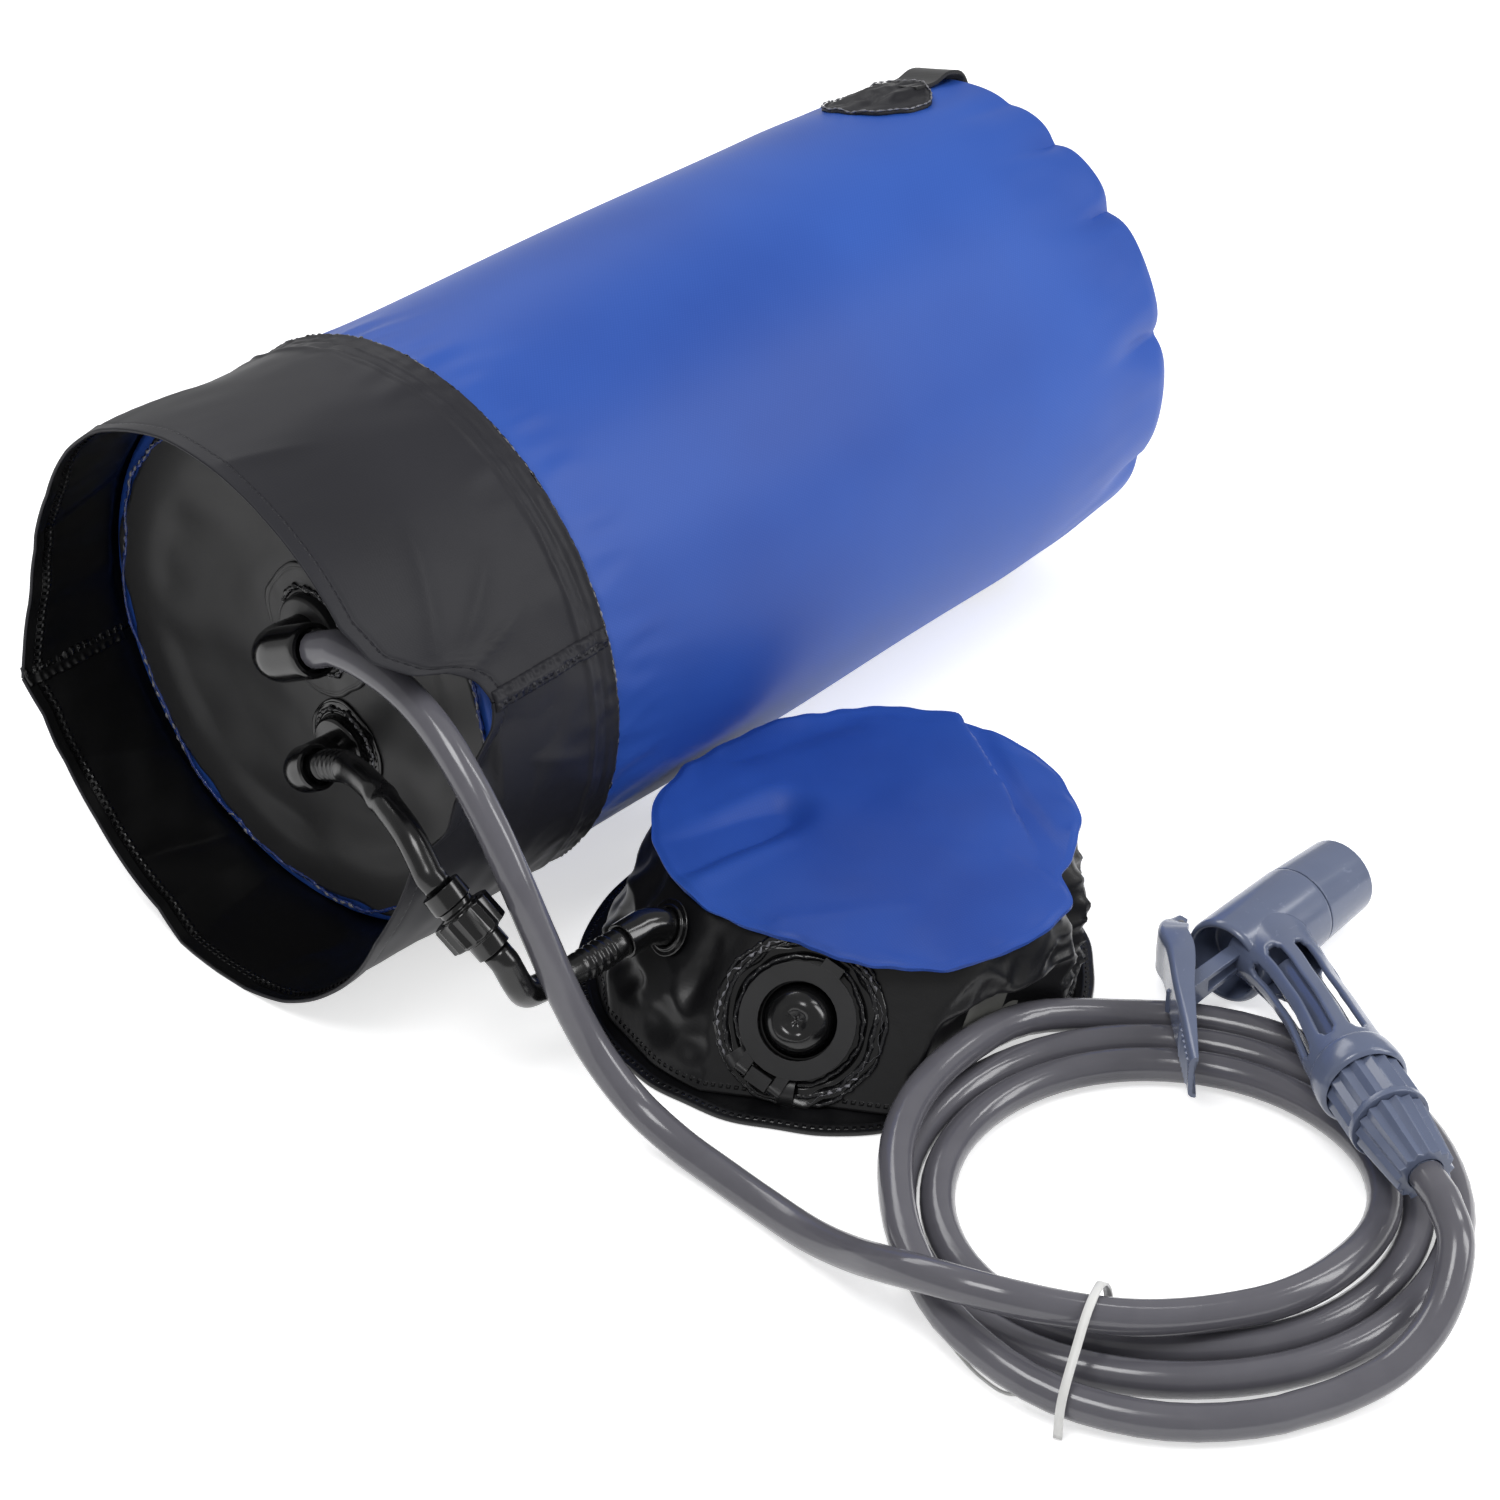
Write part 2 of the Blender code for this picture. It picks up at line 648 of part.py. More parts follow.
def make_fill_opening():
    frame = axis_frame(fill_centre(), (1, 0, 0))
    outer = NECK_BORE + NECK_WALL
    flange_top = CLEARANCE + NECK_FLANGE_THICKNESS
    profile = [
        (NECK_BORE, -NECK_TAIL), (outer, -NECK_TAIL), (outer, CLEARANCE), (NECK_FLANGE_RADIUS, CLEARANCE),
        (NECK_FLANGE_RADIUS, flange_top), (outer, flange_top),
    ]
    thread_start = NECK_HEIGHT - THREAD_TURNS * THREAD_PITCH
    half = THREAD_HEIGHT / 2
    for turn in range(THREAD_TURNS):
        middle = thread_start + (turn + 0.5) * THREAD_PITCH
        profile += [(outer, middle - THREAD_HEIGHT), (outer + half, middle), (outer, middle + THREAD_HEIGHT)]
    profile += [(outer, NECK_HEIGHT), (NECK_BORE, NECK_HEIGHT)]
    finish_mesh("fill_neck", turned(profile, 32, frame), BLACK_RUBBER, 0.35)

    gasket = [
        (NECK_BORE, NECK_HEIGHT + CLEARANCE), (outer, NECK_HEIGHT + CLEARANCE),
        (outer, NECK_HEIGHT + CLEARANCE + GASKET_THICKNESS), (NECK_BORE, NECK_HEIGHT + CLEARANCE + GASKET_THICKNESS),
    ]
    finish_mesh("fill_gasket", turned(gasket, 32, frame), BLACK_RUBBER, 0.7)

    inner = outer + CAP_GAP
    rim = inner + CAP_WALL
    ceiling = NECK_HEIGHT + 2 * CLEARANCE + GASKET_THICKNESS
    top = ceiling + CAP_TOP
    cap = [
        (inner, ceiling), (inner, CAP_START), (rim, CAP_START), (rim, top - CAP_RIB), (rim - CAP_RIB, top),
    ]
    sides = CAP_RIBS * 3
    finish_mesh(
        "fill_cap",
        turned(cap, sides, frame, joined=False, ripple=CAP_RIB, ripples=CAP_RIBS, rippled=(2, 3)),
        BLACK_RUBBER,
        0.35,
    )


def rim_cut(degrees):
    """How far the skirt's rim is cut back at an angle round the bag."""
    angles = [row[0] for row in NOTCH_SHARES]
    shares = [row[1] for row in NOTCH_SHARES]
    return NOTCH_DEPTH * float(np.interp(degrees, angles, shares))


def make_skirt_panel(name, first, last):
    gap = math.degrees(CLEARANCE / SKIRT_INNER) / 2
    inside = [row[0] for row in NOTCH_SHARES if first < row[0] < last]
    even = list(np.arange(first, last, SKIRT_STEP)[1:])
    marks = [first + gap]
    for degrees in sorted(inside + even):
        if degrees - marks[-1] > SKIRT_STEP / 6:
            marks.append(float(degrees))
    if last - gap - marks[-1] < SKIRT_STEP / 6:
        marks.pop()
    marks.append(last - gap)
    rings = []
    for degrees in marks:
        angle = math.radians(degrees)
        rim = rim_cut(degrees)
        weld = SKIRT_LENGTH - WELD_WIDTH
        hem_radius = SKIRT_OUTER + HEM_EXTRA
        loop = [
            bag_point(rim, angle, hem_radius, 0.0),
            bag_point(rim + HEM_WIDTH, angle, hem_radius, 0.0),
            bag_point(rim + HEM_WIDTH + HEM_STEP, angle, SKIRT_OUTER, 0.0),
            bag_point(weld, angle, SKIRT_OUTER, 0.0),
            bag_point(SKIRT_LENGTH, angle, SKIRT_OUTER - WELD_DROP, 0.0),
            bag_point(SKIRT_LENGTH, angle, SKIRT_INNER, SKIRT_WALL),
            bag_point(weld, angle, SKIRT_INNER, SKIRT_WALL),
            bag_point(rim, angle, SKIRT_INNER, SKIRT_WALL),
        ]
        rings.append(loop)
    finish_mesh(name, lofted(rings, False), SKIRT_FABRIC, 0.5)


def fitting_frame(y, z):
    """Frame on the outer face of the base disc, pointing out of the skirt."""
    x = SKIRT_DEPTH + FABRIC_WALL
    return axis_frame((RIM_X + x, y, z), (-1, 0, 0))


def make_flange(name, y, z, patch, boss, bore):
    profile = [
        (bore, 0.0), (patch, 0.0), (patch, PATCH_THICKNESS), (boss, PATCH_THICKNESS),
        (boss, BOSS_HEIGHT - BOSS_BEVEL), (boss - BOSS_BEVEL, BOSS_HEIGHT), (bore, BOSS_HEIGHT),
    ]
    finish_mesh(name, turned(profile, 32, fitting_frame(y, z)), BLACK_RUBBER, 0.3)


def elbow_points(y, z, bend, rise, reach):
    """Middle line: out of the disc, round a quarter bend, then up and across to the hose."""
    start = Vector((RIM_X + SKIRT_DEPTH + FABRIC_WALL, y, z))
    out = Vector((-1, 0, 0))
    away = Vector((0, -math.cos(rise), math.sin(rise)))
    turn_start = start + out * (ELBOW_STANDOFF - bend)
    points = [start]
    for step in range(7):
        angle = math.radians(90 * step / 6)
        points.append(turn_start + out * bend * math.sin(angle) + away * bend * (1 - math.cos(angle)))
    points.append(start + out * ELBOW_STANDOFF + away * reach)
    return points, away, out.cross(away)


def make_elbow(name, y, z, radius, bend, rise, reach):
    points, away, side = elbow_points(y, z, bend, rise, reach)
    sections = [round_section(radius, 16)] * len(points)
    finish_mesh(name, swept(points, side, sections), BLACK_RUBBER, 0.25)
    return points[-1], away


def make_clip(name, end, away, inner):
    profile = [
        (inner, -CLIP_WIDTH), (inner + CLIP_WALL, -CLIP_WIDTH), (inner + CLIP_WALL, 0.0), (inner, 0.0),
    ]
    frame = axis_frame(end, away, (1, 0, 0))
    finish_mesh(name, turned(profile, 24, frame), BLACK_RUBBER, 0.4)


def make_check_valve():
    """One-way valve inside the bag, behind the inlet fitting."""
    back = SKIRT_DEPTH + FABRIC_WALL + 2 * CLEARANCE + BASE_DISC_THICKNESS
    frame = axis_frame((RIM_X + back, INLET_Y, INLET_Z), (1, 0, 0))
    rim = CHECK_VALVE_RADIUS
    bore = rim / 2
    profile = [
        (bore, 0.0), (rim, 0.0), (rim, PATCH_THICKNESS), (rim - BOSS_BEVEL, CHECK_VALVE_LENGTH / 3),
        (bore / 2, CHECK_VALVE_LENGTH), (bore / 4, CHECK_VALVE_LENGTH), (bore, CHECK_VALVE_LENGTH / 3),
    ]
    finish_mesh("air_check_valve", turned(profile, 20, frame), BLACK_RUBBER, 0.6)


def make_strap():
    """Webbing handle from one side of the bag, over the far edge, to the other side."""
    radial = Vector((0, math.cos(STRAP_ANGLE), math.sin(STRAP_ANGLE)))
    side = Vector((0, -math.sin(STRAP_ANGLE), math.cos(STRAP_ANGLE)))
    axis_line = Vector((RIM_X, 0, AXIS_HEIGHT))
    lift = CLEARANCE + PATCH_THICKNESS + CLEARANCE + STRAP_THICKNESS / 2
    start = BAG_LENGTH - STRAP_START
    past = BAG_LENGTH + STRAP_THICKNESS + CLEARANCE
    crest = END_RADIUS + WAVE_HEIGHT
    near = [
        (start, bag_radius(start, STRAP_ANGLE) + lift + WAVE_HEIGHT / 2),
        (BAG_LENGTH - WELD_WIDTH, crest + 2 * lift),
        (past, crest + lift),
        (past + STRAP_BOW / 3, crest * 0.9),
        (past + STRAP_BOW * 2 / 3, crest * 0.6),
        (past + STRAP_BOW, 0.0),
    ]
    places = near + [(x, -reach) for x, reach in reversed(near[:-1])]
    points = [axis_line + Vector((x, 0, 0)) + radial * reach for x, reach in places]
    half_width = STRAP_WIDTH / 2
    half = STRAP_THICKNESS / 2
    section = [(-half_width, -half), (half_width, -half), (half_width, half), (-half_width, half)]
    strap = swept(points, side, [section] * len(points))
    finish_mesh("carry_strap", strap, BLACK_RUBBER, 0.8)
    for label, turn in (("strap_patch_front", 0.0), ("strap_patch_back", math.pi)):
        make_strap_patch(label, STRAP_ANGLE + turn)


def make_strap_patch(name, middle):
    first = BAG_LENGTH - STRAP_PATCH_INSET - STRAP_PATCH_LENGTH
    stations = [first, first + STRAP_PATCH_LENGTH / 2, first + STRAP_PATCH_LENGTH]
    rings = []
    for step in range(5):
        angle = middle + STRAP_PATCH_HALF_ANGLE * (step - 2) / 2
        under = [bag_radius(x, 0.0) + CLEARANCE for x in stations]
        over = [radius + PATCH_THICKNESS for radius in under]
        loop = [bag_point(x, angle, radius, 0.0) for x, radius in zip(stations, over)]
        loop += [bag_point(x, angle, radius, 0.0) for x, radius in reversed(list(zip(stations, under)))]
        rings.append(loop)
    finish_mesh(name, lofted(rings, False), SKIRT_FABRIC, 0.6)


def coil_point(turn):
    """Middle of the hose at a number of turns from the start of the coil."""
    radius, height = smooth_table(COIL_STATIONS, turn)
    angle = math.radians(COIL_START_ANGLE + 360 * turn)
    x = COIL_X + radius * math.cos(angle)
    y = COIL_Y + radius * math.sin(angle)
    return from_rim((x, y, height))


def coil_points():
    steps = round((COIL_LAST_TURN - COIL_FIRST_TURN) * COIL_LOOP_POINTS)
    turns = [COIL_FIRST_TURN + step / COIL_LOOP_POINTS for step in range(steps + 1)]
    points = [coil_point(turn) for turn in turns]
    end = nut_end()
    along = nut_direction()
    straight = end + along * (CLEARANCE + HOSE_END_RUN)
    rise = [points[-1]] + [from_rim(spot) for spot in COIL_EXIT_ROUTE] + [straight]
    points += smooth_route(rise, HOSE_END_RUN)[1:]
    points.append(end + along * CLEARANCE)
    return points


def least_gap(points, others, radius, skipped):
    """Least air between two hose runs, or between the turns of one when others is None."""
    spots = []
    for start, end in zip(points, points[1:]):
        spots += [start.lerp(end, step / 4) for step in range(4)]
    spots.append(points[-1])
    first = np.array([tuple(spot) for spot in spots])
    if others is None:
        second = first
    else:
        rows = []
        for start, end in zip(others, others[1:]):
            rows += [start.lerp(end, step / 4) for step in range(4)]
        second = np.array([tuple(spot) for spot in rows])
    distance = np.linalg.norm(first[:, None, :] - second[None, :, :], axis=2)
    if others is None:
        reach = np.concatenate(([0.0], np.cumsum(np.linalg.norm(np.diff(first, axis=0), axis=1))))
        distance[np.abs(reach[:, None] - reach[None, :]) < skipped] = 1.0
    else:
        near = np.linalg.norm(second - first[0], axis=1) < skipped
        distance[:, near] = np.where(np.arange(len(first))[:, None] < len(first) / 9, 1.0, distance[:, near])
    return float(distance.min()) - 2 * radius


def make_hoses(outlet_end, outlet_away, inlet_end, inlet_away):
    coil = coil_points()
    tube("hose_coil", coil, HOSE_RADIUS, 1, GREY_HOSE, 0.3)

    into = (coil[0] - coil[1]).normalized()
    free = hose_route(outlet_end, outlet_away, HOSE_ROUTE, coil[0], into, HOSE_END_RUN, HOSE_POINT_STEP)
    tube("shower_hose", free, HOSE_RADIUS, 2, GREY_HOSE, 0.3)

    skipped = 4 * 2 * HOSE_RADIUS
    print("least gap between the coil's turns, mm:", round(1000 * least_gap(coil, None, HOSE_RADIUS, skipped), 2))
    apart = least_gap(coil, free, HOSE_RADIUS, 2 * skipped)
    print("least gap between the free hose and the coil, mm:", round(1000 * apart, 2))
    length = sum((b - a).length for a, b in zip(coil, coil[1:])) + sum((b - a).length for a, b in zip(free, free[1:]))
    print("length of the grey hose, mm:", round(1000 * length))

    top = from_rim(COUPLING_START)
    bottom = from_rim(COUPLING_END)
    along = (bottom - top).normalized()
    air = hose_route(inlet_end, inlet_away, AIR_ROUTE, top, -along, AIR_HOSE_END_RUN, AIR_HOSE_POINT_STEP)
    tube("inlet_air_hose", air, AIR_HOSE_RADIUS, 2, BLACK_RUBBER, 0.3)
    mouth, outward = spigot_mouth()
    pump = hose_route(bottom, along, PUMP_ROUTE, mouth, outward, AIR_HOSE_END_RUN, AIR_HOSE_POINT_STEP)
    tube("pump_air_hose", pump, AIR_HOSE_RADIUS, 2, BLACK_RUBBER, 0.3)


def make_tie():
    radial = Vector((math.cos(TIE_ANGLE), math.sin(TIE_ANGLE), 0))
    side = Vector((-math.sin(TIE_ANGLE), math.cos(TIE_ANGLE), 0))
    middle = from_rim((COIL_X, COIL_Y, 0))
    points = [middle + radial * reach + Vector((0, 0, height)) for reach, height in TIE_ROUTE]
    half_width = TIE_WIDTH / 2
    half = TIE_THICKNESS / 2
    section = [(-half_width, -half), (half_width, -half), (half_width, half), (-half_width, half)]
    finish_mesh("hose_tie", swept(points, side, [section] * len(points)), WHITE_PLASTIC, 0.5)


def make_coupling():
    start = from_rim(COUPLING_START)
    end = from_rim(COUPLING_END)
    length = (end - start).length
    frame = axis_frame(start, end - start, (1, 0, 0))
    body = COUPLING_BODY_RADIUS
    socket = [
        (body, 0.0), (body, length * 0.24), (COUPLING_NECK_RADIUS, length * 0.26), (COUPLING_NECK_RADIUS, length * 0.32),
        (body, length * 0.34), (body, length * 0.6), (SOCKET_BORE, length * 0.6), (SOCKET_BORE, length * 0.44),
    ]
    finish_mesh("coupling_socket", turned(socket, 20, frame, joined=False), BLACK_RUBBER, 0.3)
    bore = body + CLEARANCE
    low = length * 0.36
    high = length * 0.75
    edge = COLLAR_RADIUS - KNURL_DEPTH
    collar = [
        (bore, low), (edge, low), (COLLAR_RADIUS, low + KNURL_DEPTH), (COLLAR_RADIUS, high - KNURL_DEPTH),
        (edge, high), (bore, high),
    ]
    sleeve = turned(collar, KNURLS * 3, frame, ripple=KNURL_DEPTH, ripples=KNURLS, rippled=(2, 3))
    finish_mesh("coupling_collar", sleeve, BLACK_RUBBER, 0.3)
    nose = SOCKET_BORE - CLEARANCE
    plug = [
        (nose, length * 0.44 + CLEARANCE), (nose, length * 0.6 + CLEARANCE), (body, length * 0.6 + CLEARANCE),
        (body, length * 0.78), (COUPLING_NECK_RADIUS, length * 0.8), (COUPLING_NECK_RADIUS, length),
    ]
    finish_mesh("coupling_plug", turned(plug, 20, frame, joined=False), BLACK_RUBBER, 0.3)


def pump_top_reach(azimuth):
    """Radius of the pump's top sheet at an azimuth in radians."""
    degrees = (math.degrees(azimuth) + 159) % 360 - 159
    azimuths = [row[0] for row in PUMP_TOP_SHARES]
    shares = [row[1] for row in PUMP_TOP_SHARES]
    return PUMP_TOP_RADIUS * float(np.interp(degrees, azimuths, shares))


def pump_azimuths(count):
    return [2 * math.pi * step / count for step in range(count)]


def plane_of(x, y, z, azimuth, rise):
    """Flat seat on the pump's wall: its middle and the direction it faces."""
    flat = math.cos(rise)
    facing = Vector((flat * math.cos(azimuth), flat * math.sin(azimuth), math.sin(rise)))
    return from_rim((x, y, z)), facing


def pump_seats():
    return [
        plane_of(VALVE_X, VALVE_Y, VALVE_Z, VALVE_AZIMUTH, VALVE_RISE),
        plane_of(SPIGOT_X, SPIGOT_Y, SPIGOT_Z, SPIGOT_AZIMUTH, SPIGOT_RISE),
    ]


def clear_of_coil(point, depth):
    """Push a point of the soft pump away from the coil that leans against it."""
    middle = from_rim((COIL_X, COIL_Y, 0))
    away = Vector((point.x - middle.x, point.y - middle.y, 0))
    if point.z > COIL_TOP:
        return point
    place = ((math.degrees(math.atan2(away.y, away.x)) - COIL_START_ANGLE) % 360) / 360
    loops = [smooth_table(COIL_STATIONS, place + loop)[0] for loop in range(3)]
    reach = max(loops) + HOSE_RADIUS + COIL_PUMP_GAP + depth
    if away.length >= reach:
        return point
    return point + away.normalized() * (reach - away.length)


def pump_wall_point(azimuth, share, depth):
    """Point of the pump's wall between its foot and its top edge, depth inside its face."""
    outward = Vector((math.cos(azimuth), math.sin(azimuth), 0))
    foot_z = PUMP_BASE_THICKNESS + PUMP_BASE_HEM + CLEARANCE
    foot = from_rim((PUMP_X, PUMP_Y, foot_z)) + outward * (PUMP_WALL_RADIUS - depth)
    reach = pump_top_reach(azimuth) - PUMP_TOP_LIP - depth
    top = from_rim((PUMP_X + PUMP_TOP_SHIFT, PUMP_Y, PUMP_HEIGHT - CLEARANCE)) + outward * reach
    point = foot.lerp(top, share) + outward * PUMP_WALL_BULGE * math.sin(math.pi * share)
    for middle, facing in pump_seats():
        over = (point - middle).dot(facing) + depth
        if over > 0:
            across = Vector((facing.x, facing.y, 0)).normalized()
            point = point - across * (over / across.dot(facing))
    return clear_of_coil(point, depth)


def make_pump():
    hem_top = PUMP_BASE_THICKNESS + PUMP_BASE_HEM
    inside = PUMP_FOOT_RADIUS - PUMP_HEM_WIDTH
    azimuths = pump_azimuths(PUMP_AROUND)
    base = [
        (PUMP_FOOT_RADIUS, 0.0), (PUMP_FOOT_RADIUS, hem_top), (inside, hem_top),
        (inside - PUMP_BASE_HEM, PUMP_BASE_THICKNESS),
    ]
    rings = []
    for radius, height in base:
        depth = PUMP_FOOT_RADIUS - radius
        ring = []
        for azimuth in azimuths:
            spot = (PUMP_X + radius * math.cos(azimuth), PUMP_Y + radius * math.sin(azimuth), height)
            ring.append(clear_of_coil(from_rim(spot), depth))
        rings.append(ring)
    finish_mesh("pump_base", lofted(rings, False), SKIRT_FABRIC, 0.45)

    levels = [step / (PUMP_LEVELS - 1) for step in range(PUMP_LEVELS)]
    rings = []
    for level in levels:
        rings.append([pump_wall_point(azimuth, level, 0.0) for azimuth in azimuths])
    for level in reversed(levels):
        rings.append([pump_wall_point(azimuth, level, PUMP_WALL_THICKNESS) for azimuth in azimuths])
    finish_mesh("pump_wall", lofted(rings, True), SKIRT_FABRIC, 0.4)

    rings = []
    for level in (0.0, 0.5, 1.0):
        rings.append([pump_wall_point(azimuth, level, FOAM_GAP) for azimuth in pump_azimuths(PUMP_AROUND // 2)])
    finish_mesh("pump_foam", lofted(rings, False), FOAM_GREY, 0.9)

    centre = from_rim((PUMP_X + PUMP_TOP_SHIFT, PUMP_Y, PUMP_HEIGHT))
    rings = []
    for share, height in ((1, 0.0), (1, PUMP_TOP_THICKNESS), (0.6, PUMP_TOP_THICKNESS + PUMP_CROWN)):
        ring = []
        for azimuth in azimuths:
            reach = share * pump_top_reach(azimuth)
            ring.append(centre + Vector((reach * math.cos(azimuth), reach * math.sin(azimuth), height)))
        rings.append(ring)
    outward = Vector((math.cos(PRESS_AZIMUTH), math.sin(PRESS_AZIMUTH), 0))
    hinge = centre + outward * PRESS_DISTANCE
    finish_mesh("pump_top", lofted(rings, False), BLUE_FABRIC, 0.6, origin=hinge)


def spigot_points():
    seat, facing = plane_of(SPIGOT_X, SPIGOT_Y, SPIGOT_Z, SPIGOT_AZIMUTH, SPIGOT_RISE)
    start = seat + facing * CLEARANCE
    out = Vector((-1, 0, 0))
    turn = start + facing * SPIGOT_HEIGHT
    points = [start, turn]
    for step in range(1, 4):
        share = step / 3
        blend = (facing * (1 - share) + out * share).normalized()
        points.append(points[-1] + blend * SPIGOT_RADIUS / 2)
    points.append(points[-1] + out * SPIGOT_RADIUS)
    return points, facing, out


def spigot_mouth():
    points, facing, out = spigot_points()
    return points[-1], out


def make_pump_outlet():
    points, facing, out = spigot_points()
    frame = axis_frame(points[0], facing)
    ring = SPIGOT_RADIUS + CLEARANCE
    rim = ring + BOSS_BEVEL
    patch = [
        (ring, 0.0), (SPIGOT_PATCH_RADIUS, 0.0), (SPIGOT_PATCH_RADIUS, PATCH_THICKNESS),
        (rim, PATCH_THICKNESS), (rim, 2 * PATCH_THICKNESS), (ring, 2 * PATCH_THICKNESS),
    ]
    finish_mesh("pump_outlet_flange", turned(patch, 24, frame), BLACK_RUBBER, 0.35)
    side = facing.cross(out).normalized()
    sections = [round_section(SPIGOT_RADIUS, 16)] * len(points)
    finish_mesh("pump_outlet_spigot", swept(points, side, sections), BLACK_RUBBER, 0.3)


def valve_frame():
    seat, facing = plane_of(VALVE_X, VALVE_Y, VALVE_Z, VALVE_AZIMUTH, VALVE_RISE)
    level = Vector((-math.sin(VALVE_AZIMUTH), math.cos(VALVE_AZIMUTH), 0))
    slope = facing.cross(level)
    hinge = level * math.cos(VALVE_HINGE_ANGLE) + slope * math.sin(VALVE_HINGE_ANGLE)
    return axis_frame(seat + facing * CLEARANCE, facing, hinge)


def make_intake_valve():
    frame = valve_frame()
    collar_top = PATCH_THICKNESS + VALVE_COLLAR_HEIGHT
    base = [
        (VALVE_PATCH_RADIUS, 0.0), (VALVE_PATCH_RADIUS, PATCH_THICKNESS), (VALVE_COLLAR_RADIUS, PATCH_THICKNESS),
        (VALVE_COLLAR_RADIUS, collar_top), (VALVE_BORE, collar_top), (VALVE_BORE, VALVE_FLOOR),
    ]
    body = finish_mesh("intake_valve_base", turned(base, 32, frame, joined=False), BLACK_RUBBER, 0.35)

    hinge_height = collar_top + CLEARANCE + VALVE_CAP_THICKNESS / 2
    lug_half = VALVE_ARM_SPREAD - VALVE_ARM_WIDTH / 2 - 2 * CLEARANCE
    lug_low = Vector((VALVE_HINGE_DISTANCE - VALVE_HINGE_RADIUS - BOSS_BEVEL, -lug_half, PATCH_THICKNESS / 2))
    lug_high = Vector((
        VALVE_HINGE_DISTANCE + VALVE_HINGE_RADIUS + BOSS_BEVEL / 2, lug_half, hinge_height + VALVE_HINGE_RADIUS,
    ))
    lug = block(lug_low, lug_high)
    lug.transform(frame)
    combine(body, guide("intake_lug_guide", lug), "UNION")
    pin_frame = frame @ axis_frame((VALVE_HINGE_DISTANCE, 0, hinge_height), (0, 1, 0))
    bore_radius = VALVE_HINGE_RADIUS / 2 + CLEARANCE
    bore = turned([(bore_radius, -lug_half - OVERRUN), (bore_radius, lug_half + OVERRUN)], 12, pin_frame, joined=False)
    combine(body, guide("intake_pin_bore_cutter", bore), "DIFFERENCE")

    low = VALVE_FLOOR + CLEARANCE
    dome = [
        (VALVE_DOME_RADIUS, low), (VALVE_DOME_RADIUS, low + PATCH_THICKNESS),
        (VALVE_DOME_RADIUS * 0.92, low + VALVE_DOME_HEIGHT * 0.55), (VALVE_DOME_RADIUS * 0.7, low + VALVE_DOME_HEIGHT * 0.88),
        (VALVE_DOME_RADIUS * 0.42, low + VALVE_DOME_HEIGHT), (VALVE_DOME_RADIUS * 0.25, low + VALVE_DOME_HEIGHT * 0.95),
        (VALVE_DOME_RADIUS * 0.12, low + VALVE_DOME_HEIGHT - VALVE_DIMPLE),
    ]
    finish_mesh("intake_valve_dome", turned(dome, 24, frame, joined=False), BLACK_RUBBER, 0.2)

    floor = collar_top + CLEARANCE
    top = floor + VALVE_CAP_THICKNESS
    hole = VALVE_BORE - CLEARANCE / 3
    ring = turned([(hole, floor), (VALVE_CAP_RADIUS, floor), (VALVE_CAP_RADIUS, top), (hole, top)], 32, frame)
    hinge = frame @ Vector((VALVE_HINGE_DISTANCE, 0, hinge_height))
    cap = finish_mesh("intake_valve_cap", ring, BLACK_RUBBER, 0.55, origin=hinge)
    inset = CLEARANCE / 2
    half = VALVE_ARM_WIDTH / 2
    start = VALVE_CAP_RADIUS * VALVE_ARM_START_SHARE
    reach = half + inset
    tab_start = -VALVE_CAP_RADIUS - VALVE_TAB
    tab_end = -VALVE_CAP_RADIUS * VALVE_TAB_START_SHARE
    arms = [block((tab_start, -VALVE_TAB_HALF, floor + inset), (tab_end, VALVE_TAB_HALF, top - inset))]
    eyes = []
    for spread in (-VALVE_ARM_SPREAD, VALVE_ARM_SPREAD):
        arms.append(block((start, spread - half, floor + inset), (VALVE_HINGE_DISTANCE, spread + half, top - inset)))
        eye_frame = frame @ axis_frame((VALVE_HINGE_DISTANCE, spread, hinge_height), (0, 1, 0))
        eyes.append(turned([(VALVE_HINGE_RADIUS, -reach), (VALVE_HINGE_RADIUS, reach)], 12, eye_frame, joined=False))
    for arm in arms:
        arm.transform(frame)
    combine(cap, guide("intake_arms_guide", join_meshes(arms)), "UNION")
    combine(cap, guide("intake_eyes_guide", join_meshes(eyes)), "UNION")
    reach = VALVE_ARM_SPREAD
    pin = turned([(VALVE_HINGE_RADIUS / 2, -reach), (VALVE_HINGE_RADIUS / 2, reach)], 12, pin_frame, joined=False)
    combine(cap, guide("intake_pin_guide", pin), "UNION")


def barrel_middle():
    """Middle of the barrel's rear face; the barrel lies on the floor."""
    return from_rim((BARREL_X, BARREL_Y, BARREL_RADIUS))


def nut_end(reach=0.0):
    """Point on the nuts' axis where the hose leaves them, or reach before it."""
    length = COLLAR_RING_LENGTH + SWIVEL_NUT_LENGTH + HOSE_NUT_LENGTH + 2 * CLEARANCE
    return from_rim(HANDLE_ROUTE[-1]) + nut_direction() * (length - reach)


def nut_direction():
    return Vector(NUT_DIRECTION).normalized()


def handle_sections():
    """Middle line of the handle with its half width and half height at each row."""
    middle = [from_rim(spot) for spot in HANDLE_ROUTE]
    length = sum((b - a).length for a, b in zip(middle, middle[1:]))
    points = smooth_route(middle, length / (HANDLE_ROWS - 1))
    rows = []
    for index, point in enumerate(points):
        place = (len(HANDLE_WIDTHS) - 1) * index / (len(points) - 1)
        marks = range(len(HANDLE_WIDTHS))
        rows.append((point, float(np.interp(place, marks, HANDLE_WIDTHS)), float(np.interp(place, marks, HANDLE_HEIGHTS))))
    return rows


